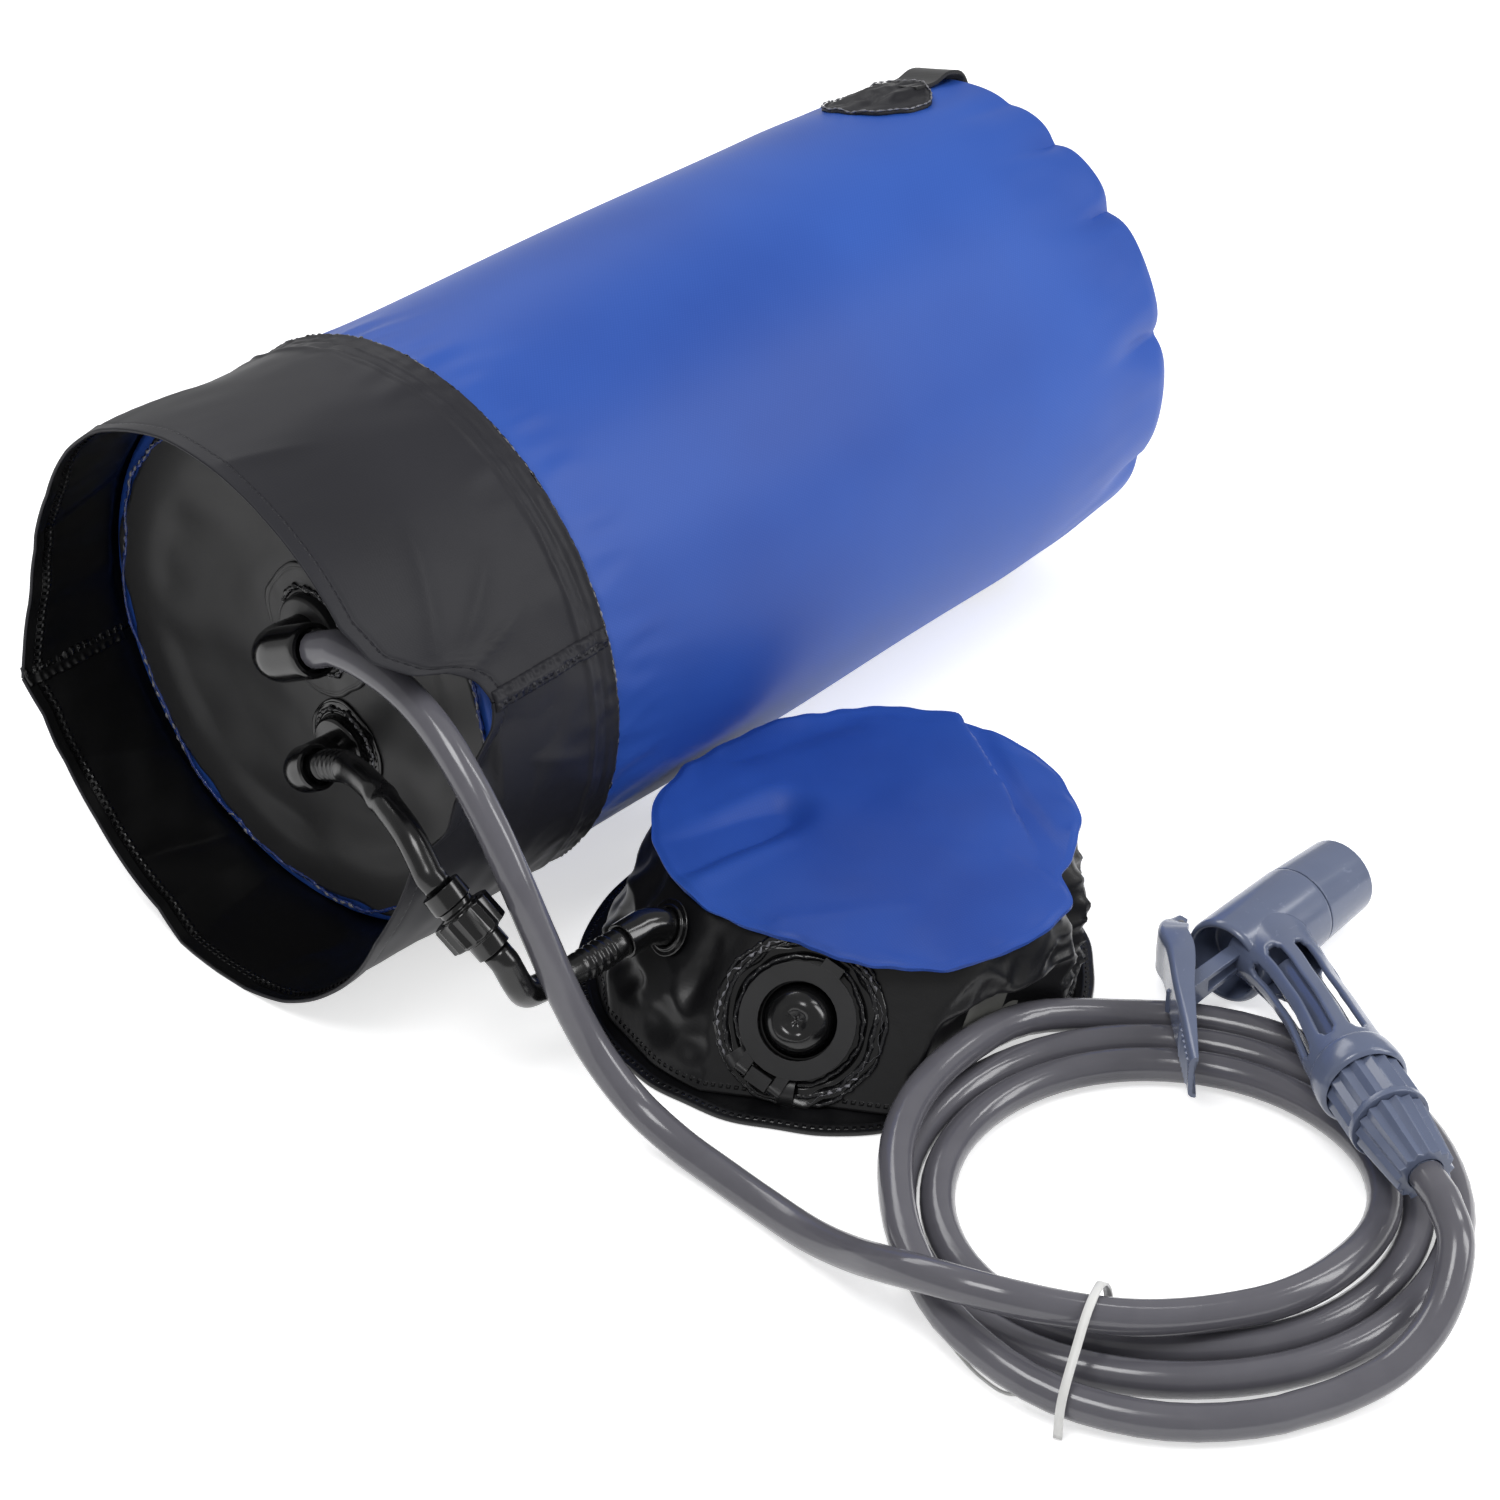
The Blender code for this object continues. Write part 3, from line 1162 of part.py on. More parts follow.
def make_handle_cage():
    """Open cage of ribs round the inner tube, as a sheet that Solidify gives its wall."""
    rows = handle_sections()
    frames = path_frames([row[0] for row in rows], (0, 0, 1))
    bm = bmesh.new()
    grid = []
    for (point, tangent, side, normal), (spot, width, height) in zip(frames, rows):
        ring = []
        for step in range(HANDLE_SIDES):
            angle = 2 * math.pi * (step + 0.5) / HANDLE_SIDES
            reach = side * height * math.sin(angle) + normal * width * math.cos(angle)
            ring.append(bm.verts.new(point + reach))
        grid.append(ring)
    first, last = HANDLE_OPEN_ROWS
    for row in range(len(grid) - 1):
        for step in range(HANDLE_SIDES):
            if first <= row < last and step % 3 != 0:
                continue
            after = (step + 1) % HANDLE_SIDES
            bm.faces.new((grid[row][step], grid[row][after], grid[row + 1][after], grid[row + 1][step]))
    loose = [vert for vert in bm.verts if not vert.link_faces]
    bmesh.ops.delete(bm, geom=loose, context="VERTS")
    cage = guide("handle_cage_guide", bm)
    wall = cage.modifiers.new("cage_wall", "SOLIDIFY")
    wall.thickness = HANDLE_WALL
    wall.offset = HANDLE_WALL_SIDE
    wall.use_even_offset = True
    return cage


def make_sprayer_body():
    rear = barrel_middle()
    frame = axis_frame(rear, (1, 0, 0))
    profile = [
        (BARREL_RADIUS - BARREL_ROUND, 0.0), (BARREL_RADIUS, BARREL_ROUND), (BARREL_RADIUS, BARREL_LENGTH),
    ]
    body = finish_mesh("sprayer_body", turned(profile, 32, frame, joined=False), GREY_PLASTIC, 0.25)
    combine(body, make_handle_cage(), "UNION")

    rows = handle_sections()
    root_points = [row[0] for row in rows[:ROOT_ROWS]]
    root = swept(root_points, (0, 0, 1), [round_section(INNER_TUBE_RADIUS + ROOT_EXTRA, 16)] * ROOT_ROWS)

    end = rows[-1][0]
    end_frame = axis_frame(end, nut_direction())
    bore = INNER_TUBE_RADIUS + COLLAR_PLAY
    rim = HANDLE_WIDTHS[-1]
    collar = [(bore, -COLLAR_RING_LENGTH), (rim, -COLLAR_RING_LENGTH), (rim, COLLAR_RING_LENGTH), (bore, COLLAR_RING_LENGTH)]

    pin = from_rim((PIN_X, PIN_Y, BARREL_RADIUS))
    pin_frame = axis_frame(pin, (0, 0, 1), (1, 0, 0))
    half = LUG_HEIGHT / 2
    lug = turned([(LUG_RADIUS, -half), (LUG_RADIUS, half)], 20, pin_frame, joined=False)
    ends = join_meshes([root, turned(collar, 24, end_frame), lug])
    combine(body, guide("handle_ends_guide", ends), "UNION")
    web_high = Vector((BARREL_X + BARREL_ROUND * 3 + RIM_X, PIN_Y + LUG_RADIUS / 2, BARREL_RADIUS + half))
    web_low = Vector((pin.x, BARREL_Y + BARREL_RADIUS * 0.8, BARREL_RADIUS - half))
    combine(body, guide("lever_web_guide", block(web_low, web_high)), "UNION")

    bore_radius = PIN_RADIUS + CLEARANCE
    pin_bore = turned([(bore_radius, -half - OVERRUN), (bore_radius, half + OVERRUN)], 16, pin_frame, joined=False)
    slot_half = ARM_WIDTH / 2 + ARM_SLOT_GAP
    slot_rise = ARM_HEIGHT / 2 + ARM_SIDE_GAP
    slot_low = from_rim((BARREL_X - OVERRUN, ARM_Y - slot_half, ARM_LEVEL - slot_rise))
    slot_high = from_rim((ARM_END + STEM_TRAVEL, ARM_Y + slot_half, ARM_LEVEL + slot_rise))
    socket = ROSE_SPIGOT_RADIUS + CLEARANCE
    front = [(socket, BARREL_LENGTH - ROSE_SPIGOT_LENGTH - CLEARANCE), (socket, BARREL_LENGTH + OVERRUN)]
    openings = join_meshes([pin_bore, block(slot_low, slot_high), turned(front, 24, frame, joined=False)])
    combine(body, guide("barrel_openings_cutter", openings), "DIFFERENCE")

    head_start = ARM_END + CLEARANCE
    wide = SPRING_RADIUS + SPRING_WIRE + CLEARANCE
    narrow = STEM_RADIUS + CLEARANCE
    pocket = narrow + 2 * SEAL_RADIUS + CLEARANCE
    step_x = head_start + STEM_HEAD_LENGTH + SPRING_LENGTH + 2 * CLEARANCE
    seal_x = step_x + SEAL_OFFSET
    half_seal = SEAL_RADIUS + CLEARANCE
    rod_end = head_start + STEM_LENGTH + STEM_TRAVEL + CLEARANCE
    stem_frame = axis_frame(from_rim((0, ARM_Y, ARM_LEVEL)), (1, 0, 0))
    stem_bore = [
        (wide, head_start + STEM_TRAVEL - OVERRUN / 2), (wide, step_x), (narrow, step_x), (narrow, seal_x - half_seal),
        (pocket, seal_x - half_seal), (pocket, seal_x + half_seal), (narrow, seal_x + half_seal), (narrow, rod_end),
    ]
    combine(body, guide("stem_bore_cutter", turned(stem_bore, 20, stem_frame, joined=False)), "DIFFERENCE")

    pin_half = LEVER_WIDTH / 2 + PIN_HEAD
    pin_rod = turned([(PIN_RADIUS, -pin_half), (PIN_RADIUS, pin_half)], 12, pin_frame, joined=False)
    finish_mesh("lever_pin", pin_rod, STEEL, 0.3, 1.0)

    rod = [
        (STEM_HEAD_RADIUS, head_start), (STEM_HEAD_RADIUS, head_start + STEM_HEAD_LENGTH),
        (STEM_RADIUS, head_start + STEM_HEAD_LENGTH), (STEM_RADIUS, head_start + STEM_LENGTH),
    ]
    stem_origin = from_rim((head_start, ARM_Y, ARM_LEVEL))
    finish_mesh("valve_stem", turned(rod, 16, stem_frame, joined=False), WHITE_PLASTIC, 0.4, origin=stem_origin)
    ring = []
    for step in range(6):
        angle = 2 * math.pi * step / 6
        ring.append((narrow + SEAL_RADIUS + SEAL_RADIUS * math.cos(angle), seal_x + SEAL_RADIUS * math.sin(angle)))
    finish_mesh("stem_seal", turned(ring, 20, stem_frame), BLACK_RUBBER, 0.6)

    spring_start = head_start + STEM_HEAD_LENGTH + CLEARANCE + SPRING_WIRE
    run = SPRING_LENGTH - 2 * SPRING_WIRE
    coils = []
    for step in range(SPRING_TURNS * SPRING_POINTS + 1):
        share = step / (SPRING_TURNS * SPRING_POINTS)
        angle = 2 * math.pi * SPRING_TURNS * share
        spot = Vector((SPRING_RADIUS * math.cos(angle), SPRING_RADIUS * math.sin(angle), spring_start + run * share))
        coils.append(stem_frame @ spot)
    tube("stem_spring", coils, SPRING_WIRE, 1, STEEL, 0.3, 1.0)
    pitch = run / SPRING_TURNS
    print("least gap between the spring's turns, mm:", round(1000 * (pitch - 2 * SPRING_WIRE), 2))


def make_rose():
    start = BARREL_X + BARREL_LENGTH + CLEARANCE
    frame = axis_frame(from_rim((start, BARREL_Y, BARREL_RADIUS)), (1, 0, 0))
    wide = BARREL_RADIUS - CLEARANCE
    profile = [
        (ROSE_RIM, -ROSE_SPIGOT_LENGTH), (ROSE_SPIGOT_RADIUS, -ROSE_SPIGOT_LENGTH), (ROSE_SPIGOT_RADIUS, 0.0),
        (wide, 0.0), (ROSE_END_RADIUS, ROSE_LENGTH), (ROSE_END_RADIUS - ROSE_RIM, ROSE_LENGTH),
        (ROSE_END_RADIUS - 2 * ROSE_RIM, ROSE_LENGTH - ROSE_DISH), (ROSE_RIM, ROSE_LENGTH - ROSE_DISH),
    ]
    finish_mesh("sprayer_rose", turned(profile, 32, frame), GREY_PLASTIC, 0.25, origin=frame.translation)


def make_inner_tube_and_nuts():
    rows = handle_sections()
    points = [row[0] for row in rows[ROOT_ROWS - 1:]]
    along = nut_direction()
    first = (points[1] - points[0]).normalized()
    points[0] = points[0] + first * TUBE_ROOT_GAP
    reach = COLLAR_RING_LENGTH + SWIVEL_NUT_LENGTH / 2
    points.append(points[-1] + along * reach)
    sections = [round_section(INNER_TUBE_RADIUS, 16)] * len(points)
    finish_mesh("inner_tube", swept(points, (0, 0, 1), sections), GREY_PLASTIC, 0.3)

    start = COLLAR_RING_LENGTH + CLEARANCE
    frame = axis_frame(rows[-1][0], along)
    bore = INNER_TUBE_RADIUS + CLEARANCE
    end = start + SWIVEL_NUT_LENGTH
    ring = SWIVEL_NUT_RADIUS + NUT_RIB
    swivel = [
        (bore, start), (SWIVEL_NUT_RADIUS, start), (SWIVEL_NUT_RADIUS, end - SWIVEL_RING), (ring, end - SWIVEL_RING),
        (ring, end), (bore, end),
    ]
    nut = turned(swivel, NUT_RIBS * 2, frame, ripple=NUT_RIB, ripples=NUT_RIBS, rippled=(1, 2))
    finish_mesh("swivel_nut", nut, GREY_PLASTIC, 0.3, origin=frame @ Vector((0, 0, start)))

    low = end + CLEARANCE
    high = low + HOSE_NUT_LENGTH
    bore = BARB_RADIUS + CLEARANCE
    hose_nut = [(bore, low), (HOSE_NUT_RADIUS, low), (HOSE_NUT_END_RADIUS, high), (bore, high)]
    nut = turned(hose_nut, NUT_RIBS * 2, frame, ripple=NUT_RIB, ripples=NUT_RIBS, rippled=(1, 2))
    finish_mesh("hose_nut", nut, GREY_PLASTIC, 0.3)

    root = COLLAR_RING_LENGTH + SWIVEL_NUT_LENGTH / 2 + CLEARANCE
    barb = [
        (INNER_TUBE_RADIUS, root), (INNER_TUBE_RADIUS, end - SWIVEL_RING), (BARB_RADIUS, end - SWIVEL_RING),
        (BARB_RADIUS, high),
    ]
    finish_mesh("hose_barb", turned(barb, 16, frame, joined=False), GREY_PLASTIC, 0.3)


def lever_back_x(y):
    """Distance from the rim of the middle of the lever's back at a given y."""
    ys = [point[1] for point in reversed(LEVER_ROUTE)]
    xs = [point[0] for point in reversed(LEVER_ROUTE)]
    return float(np.interp(y, ys, xs)) + LEVER_WALL


def make_lever():
    points = [from_rim(spot) for spot in LEVER_ROUTE]
    half = LEVER_WIDTH / 2
    inner = half - LEVER_WALL
    sections = []
    for depth in LEVER_DEPTHS:
        sections.append([
            (-half, -depth), (-half, 0.0), (half, 0.0), (half, -depth),
            (inner, -depth), (inner, -LEVER_WALL), (-inner, -LEVER_WALL), (-inner, -depth),
        ])
    pin = from_rim((PIN_X, PIN_Y, BARREL_RADIUS))
    lever = finish_mesh("trigger_lever", swept(points, (0, 0, 1), sections), GREY_PLASTIC, 0.25, origin=pin)

    high_y = ARM_Y + ARM_WIDTH / 2
    low_y = ARM_Y - ARM_WIDTH / 2
    outline = [
        (lever_back_x(high_y), high_y), (ARM_END, high_y), (ARM_END, low_y), (lever_back_x(low_y), low_y),
    ]
    rings = []
    for lift in (-ARM_HEIGHT / 2, ARM_HEIGHT / 2):
        rings.append([from_rim((x, y, ARM_LEVEL + lift)) for x, y in outline])
    combine(lever, guide("lever_arm_guide", lofted(rings, False)), "UNION")
    window_low = from_rim((ARM_WINDOW_START, low_y - OVERRUN, ARM_LEVEL - ARM_WINDOW / 2))
    window_high = from_rim((ARM_WINDOW_START + ARM_WINDOW_LENGTH, high_y + OVERRUN, ARM_LEVEL + ARM_WINDOW / 2))
    pin_frame = axis_frame(pin, (0, 0, 1), (1, 0, 0))
    radius = PIN_RADIUS + CLEARANCE
    bore = turned([(radius, -half - OVERRUN), (radius, half + OVERRUN)], 16, pin_frame, joined=False)
    openings = join_meshes([block(window_low, window_high), bore])
    combine(lever, guide("lever_openings_cutter", openings), "DIFFERENCE")


def build():
    empty_scene()
    make_bag_body()
    make_base_disc()
    make_top_disc()
    make_fill_opening()
    make_skirt_panel("skirt_upper", -(360 - SEAM_END), SEAM_ANGLE)
    make_skirt_panel("skirt_lower", SEAM_ANGLE, SEAM_END)
    make_flange(
        "outlet_flange", OUTLET_Y, OUTLET_Z, OUTLET_PATCH_RADIUS, OUTLET_BOSS_RADIUS,
        OUTLET_ELBOW_RADIUS + CLEARANCE,
    )
    make_flange(
        "inlet_flange", INLET_Y, INLET_Z, INLET_PATCH_RADIUS, INLET_BOSS_RADIUS, INLET_ELBOW_RADIUS + CLEARANCE,
    )
    outlet_end, outlet_away = make_elbow(
        "outlet_elbow", OUTLET_Y, OUTLET_Z, OUTLET_ELBOW_RADIUS, OUTLET_ELBOW_BEND, OUTLET_RISE, OUTLET_REACH,
    )
    inlet_end, inlet_away = make_elbow(
        "inlet_elbow", INLET_Y, INLET_Z, INLET_ELBOW_RADIUS, INLET_ELBOW_BEND, INLET_RISE, INLET_REACH,
    )
    make_clip("outlet_hose_clip", outlet_end, outlet_away, OUTLET_ELBOW_RADIUS + CLEARANCE)
    make_check_valve()
    make_strap()
    make_hoses(outlet_end, outlet_away, inlet_end, inlet_away)
    make_tie()
    make_coupling()
    make_pump()
    make_pump_outlet()
    make_intake_valve()
    make_sprayer_body()
    make_rose()
    make_inner_tube_and_nuts()
    make_lever()


build()
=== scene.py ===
import math

import bpy
import bmesh
import numpy as np
from mathutils import Matrix, Vector


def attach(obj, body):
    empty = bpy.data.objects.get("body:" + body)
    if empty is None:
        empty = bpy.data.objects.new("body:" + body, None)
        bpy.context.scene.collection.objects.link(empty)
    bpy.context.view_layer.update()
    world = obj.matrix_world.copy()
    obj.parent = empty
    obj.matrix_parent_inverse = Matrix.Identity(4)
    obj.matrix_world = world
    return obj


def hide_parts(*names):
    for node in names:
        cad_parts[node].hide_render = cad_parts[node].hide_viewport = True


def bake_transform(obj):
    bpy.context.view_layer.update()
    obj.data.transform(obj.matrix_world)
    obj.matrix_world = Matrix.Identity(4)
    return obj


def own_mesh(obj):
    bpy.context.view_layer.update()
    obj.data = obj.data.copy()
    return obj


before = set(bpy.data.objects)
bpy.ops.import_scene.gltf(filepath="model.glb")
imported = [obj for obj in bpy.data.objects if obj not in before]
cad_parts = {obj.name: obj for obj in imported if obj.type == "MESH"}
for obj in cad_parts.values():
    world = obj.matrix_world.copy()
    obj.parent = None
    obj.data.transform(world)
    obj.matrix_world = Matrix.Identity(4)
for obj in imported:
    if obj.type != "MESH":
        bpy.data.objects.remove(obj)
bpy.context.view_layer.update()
print("frame loaded")

# Everything is in metres, on the frame's own origin: the floor is z = 0 and the bag's axis runs along X.
rimX = -0.2435        # the plane that distances along the bag start from
axisZ = 0.1187        # height of the bag's axis
bagLength = 0.487
tau = 2 * math.pi


# Small tools that the pieces share
def addNode(tree, kind, settings=None, links=None):
    # Adds a node; plain properties and socket values come in settings, sockets to feed in links.
    node = tree.nodes.new(kind)
    for key, value in (settings or {}).items():
        if isinstance(key, int) or key in node.inputs:
            node.inputs[key].default_value = value
        else:
            setattr(node, key, value)
    for key, source in (links or {}).items():
        tree.links.new(source, node.inputs[key])
    return node


def linear(code):
    # sRGB hex to linear: v/12.92 below 0.04045, else ((v+0.055)/1.055)^2.4
    parts = [int(code[i:i + 2], 16) / 255 for i in (1, 3, 5)]
    return [v / 12.92 if v <= 0.04045 else ((v + 0.055) / 1.055) ** 2.4 for v in parts] + [1.0]


def softNoise(points, wavelength, seed, waves=14):
    # Sum of sine waves in random directions with lengths near the given one, about -1 to 1.
    draw = np.random.default_rng(seed)
    size = points.shape[-1]
    ways = draw.normal(size=(waves, size))
    ways /= np.linalg.norm(ways, axis=1)[:, None]
    lengths = wavelength * draw.uniform(0.6, 1.7, waves)
    phases = draw.uniform(0, tau, waves)
    total = 0.0
    for way, length, phase in zip(ways, lengths, phases):
        total = total + np.sin(tau * (points @ way) / length + phase)
    return total / math.sqrt(waves / 2) / 1.6


def softStep(value, low, high):
    # Smooth rise from 0 at low to 1 at high: 3s^2 - 2s^3.
    share = np.clip((value - low) / (high - low), 0, 1)
    return share * share * (3 - 2 * share)


def bump(value, middle, width):
    # Bell of height 1 round middle: exp(-((v-m)/w)^2).
    return np.exp(-(((value - middle) / width) ** 2))


def hermite(s, width, values, slopes, index):
    # Cubic between two knots from their values and slopes, s running from 0 to 1.
    return ((2 * s**3 - 3 * s**2 + 1) * values[index] + (s**3 - 2 * s**2 + s) * width * slopes[index]
            + (3 * s**2 - 2 * s**3) * values[index + 1] + (s**3 - s**2) * width * slopes[index + 1])


def readTable(table, places):
    # Smooth reading of a table of (place, value, ...) that never overshoots: cubic Hermite with harmonic slopes.
    table = np.array(table, float)
    knots, values = table[:, 0], table[:, 1:]
    steps = np.diff(knots)[:, None]
    rises = np.diff(values, axis=0) / steps
    before = np.vstack([rises[:1], rises])
    after = np.vstack([rises, rises[-1:]])
    total = before + after
    safe = np.where(np.abs(total) < 1e-12, 1.0, total)
    slopes = np.where(before * after <= 0, 0.0, 2 * before * after / safe)
    index = np.clip(np.searchsorted(knots, places, side="right") - 1, 0, len(knots) - 2)
    width = steps[index]
    s = (np.asarray(places)[:, None] - knots[index][:, None]) / width
    return hermite(s, width, values, slopes, index)


def blurTable(table, fine, window, mode):
    # A table read at fine places and averaged with a bell of that many samples.
    bell = np.hanning(window) / np.hanning(window).sum()
    return np.convolve(np.pad(np.interp(fine, table[:, 0], table[:, 1]), window // 2, mode=mode), bell, mode="valid")


def smoothPath(points, step):
    # Points at an even step along a cubic Hermite curve whose slopes are central differences.
    spots = np.array(points, float)
    reach = pathReach(spots)
    slopes = np.gradient(spots, reach, axis=0)
    slopes[0] = (spots[1] - spots[0]) / (reach[1] - reach[0])
    slopes[-1] = (spots[-1] - spots[-2]) / (reach[-1] - reach[-2])
    places = np.linspace(0, reach[-1], max(2, round(reach[-1] / step)) + 1)
    index = np.clip(np.searchsorted(reach, places, side="right") - 1, 0, len(reach) - 2)
    width = (reach[index + 1] - reach[index])[:, None]
    s = ((places - reach[index]) / width[:, 0])[:, None]
    return hermite(s, width, spots, slopes, index)


def pathReach(path):
    # Distance along a path at each of its points.
    return np.concatenate(([0.0], np.cumsum(np.linalg.norm(np.diff(path, axis=0), axis=1))))


def turnAngles(count):
    # Even angles once round.
    return np.arange(count) * tau / count


def unitRing(angle):
    # Points of the unit circle: (cos, sin).
    return np.stack([np.cos(angle), np.sin(angle)], -1)


def fromRim(points):
    # Distances from the bag's rim plane to the frame's own origin.
    return np.array(points, float) + np.array([rimX, 0, 0])


def gridPlaces(rowPlaces, columnPlaces, swapped=False):
    # Cloth places in metres for every corner of a grid, as (row, column) or swapped.
    places = np.stack(np.meshgrid(rowPlaces, columnPlaces, indexing="ij"), -1)
    return places[..., ::-1] if swapped else places


def bothFaces(places):
    # Cloth places of a sheet's front, carried round to its back and closed along the last column.
    places = np.concatenate([places, places[::-1]])
    return np.concatenate([places, places[:, :1]], axis=1)


def addObject(name, data):
    thing = bpy.data.objects.new(name, data)
    bpy.context.scene.collection.objects.link(thing)
    return thing


closedTube = {"wrapColumns": True, "capStart": True, "capEnd": True, "closed": True}
closedRing = {"wrapRows": True, "wrapColumns": True, "closed": True}


def makeSurface(name, grid, wrapRows=False, wrapColumns=False, capStart=False, capEnd=False,
                places=None, flip=False, closed=False, sharp=None):
    # A grid of points becomes quads. Wrapped ways close on themselves, and caps fan the first and last row shut.
    grid = np.asarray(grid, float)
    rows, columns = grid.shape[:2]
    row, column = np.meshgrid(np.arange(rows if wrapRows else rows - 1),
                              np.arange(columns if wrapColumns else columns - 1), indexing="ij")
    start, end = row * columns, (row + 1) % rows * columns
    nextColumn = (column + 1) % columns
    quads = np.stack([start + column, end + column, end + nextColumn, start + nextColumn], -1).reshape(-1, 4)
    points = grid.reshape(-1, 3)
    if flip:
        quads = quads[:, ::-1]
    faces = quads.tolist()
    ring = np.arange(columns)
    after = (ring + 1) % columns
    for wanted, start in ((capStart, 0), (capEnd, (rows - 1) * columns)):
        if wanted:
            middle = len(points)
            points = np.vstack([points, grid[start // columns].mean(axis=0)])
            ways = (start + ring, start + after) if start == 0 else (start + after, start + ring)
            if flip:
                ways = ways[::-1]
            faces += np.stack([ways[0], ways[1], np.full(columns, middle)], -1).tolist()
    mesh = bpy.data.meshes.new(name)
    mesh.from_pydata(points.tolist(), [], faces)
    if places is not None:
        layer = mesh.uv_layers.new(name="clothPlace")
        corners = np.stack([places[row, column], places[row + 1, column], places[row + 1, column + 1],
                            places[row, column + 1]], -2).reshape(-1, 4, 2)
        if flip:
            corners = corners[:, ::-1]
        whole = np.zeros((len(mesh.loops), 2))
        whole[:corners.shape[0] * 4] = corners.reshape(-1, 2)
        layer.data.foreach_set("uv", whole.ravel())
    if closed:
        solid = bmesh.new()
        solid.from_mesh(mesh)
        bmesh.ops.recalc_face_normals(solid, faces=solid.faces)
        solid.to_mesh(mesh)
        solid.free()
    mesh.shade_smooth()
    if sharp:
        mesh.set_sharp_from_angle(angle=math.radians(sharp))
    return addObject(name, mesh)


def roundEdges(piece, width, degrees):
    # Bevels the edges that are sharper than this angle.
    edge = piece.modifiers.new("edge", "BEVEL")
    edge.width, edge.segments, edge.limit_method, edge.angle_limit = width, 2, "ANGLE", math.radians(degrees)
    return edge


def frameAt(origin, direction, reference=(0, 0, 1)):
    # Matrix whose Z runs along direction and whose X lies nearest to reference.
    along = Vector(direction).normalized()
    across = Vector(reference) - along * Vector(reference).dot(along)
    across.normalize()
    turn = Matrix((across, along.cross(across), along)).transposed().to_4x4()
    return np.array(Matrix.Translation(Vector(origin)) @ turn)


def place(matrix, points):
    # Points turned and moved by a matrix.
    points = np.asarray(points, float)
    return points @ matrix[:3, :3].T + matrix[:3, 3]


def turnedGrid(profile, sides, matrix, reach=None):
    # A profile of (radius, height) turned round the matrix's Z; reach(angle, radius, height) may change the radius.
    profile = np.array(profile, float)
    radius = np.repeat(profile[:, :1], sides, axis=1)
    height = np.repeat(profile[:, 1:2], sides, axis=1)
    angle = np.repeat(turnAngles(sides)[None], len(profile), axis=0)
    if reach:
        radius, height = reach(angle, radius, height)
    return place(matrix, np.stack([radius * np.cos(angle), radius * np.sin(angle), height], -1))


def roundedProfile(corners, radius, steps=3):
    # Each corner of a polyline is replaced by a short quadratic curve of that size.
    corners = np.array(corners, float)
    out = [corners[0]]
    for before, corner, following in zip(corners, corners[1:], corners[2:]):
        back, ahead = before - corner, following - corner
        first = corner + back / np.linalg.norm(back) * min(radius, np.linalg.norm(back) * 0.45)
        last = corner + ahead / np.linalg.norm(ahead) * min(radius, np.linalg.norm(ahead) * 0.45)
        for s in np.linspace(0, 1, steps + 1):
            out.append((1 - s) ** 2 * first + 2 * s * (1 - s) * corner + s * s * last)
    out.append(corners[-1])
    return out


def sweepGrid(path, sections, reference):
    # A section of (side, normal) pairs carried along a path whose side way stays nearest to reference.
    tangent = np.gradient(path, axis=0)
    tangent /= np.linalg.norm(tangent, axis=1)[:, None]
    reference = np.array(reference, float)
    side = reference - tangent * (tangent @ reference)[:, None]
    side /= np.linalg.norm(side, axis=1)[:, None]
    normal = np.cross(tangent, side)
    sections = np.asarray(sections, float)
    return (path[:, None] + sections[..., :1] * side[:, None] + sections[..., 1:2] * normal[:, None])


def roundSections(radii, sides, squash=None):
    # One circle per station; squash gives each station's (side, normal) stretch.
    stretch = np.ones((len(radii), 2)) if squash is None else squash
    return unitRing(turnAngles(sides))[None] * np.asarray(radii)[:, None, None] * stretch[:, None, :]


def settle(piece, material, body="bag", replaced=(), thickness=None, inner=None):
    # Gives a piece its material, wall and body, and hides the parts that it replaces.
    piece.data.materials.append(material)
    if inner:
        piece.data.materials.append(inner)
    if thickness:
        wall = piece.modifiers.new("wall", "SOLIDIFY")
        wall.thickness = thickness
        wall.offset = -1
        if inner:
            wall.material_offset = 1
            wall.material_offset_rim = 0
    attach(piece, body)
    if replaced:
        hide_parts(*replaced)
    return piece


# Camera: its spot, its three ways and its lens in millimetres
cameraPlace = {"spot": (-1.03900, -1.02871, 0.96896), "right": (0.6763, -0.7366, 0.0), "up": (0.4127, 0.3789, 0.8283),
               "ahead": (0.61004, 0.56025, -0.56033), "lens": 91.08}


def makeCamera():
    # The camera's matrix has its right, up and backward ways as columns.
    data = bpy.data.cameras.new("photoCamera")
    data.lens = cameraPlace["lens"]
    data.sensor_width = 36
    data.clip_end = 100
    camera = addObject("photoCamera", data)
    turn = Matrix((cameraPlace["right"], cameraPlace["up"], [-v for v in cameraPlace["ahead"]])).transposed()
    camera.matrix_world = Matrix.Translation(cameraPlace["spot"]) @ turn.to_4x4()
    bpy.context.scene.camera = camera


makeCamera()


# Materials, each named for the real one
def newMaterial(name):
    material = bpy.data.materials.new(name)
    material.use_nodes = True
    tree = material.node_tree
    return material, tree, tree.nodes["Principled BSDF"]


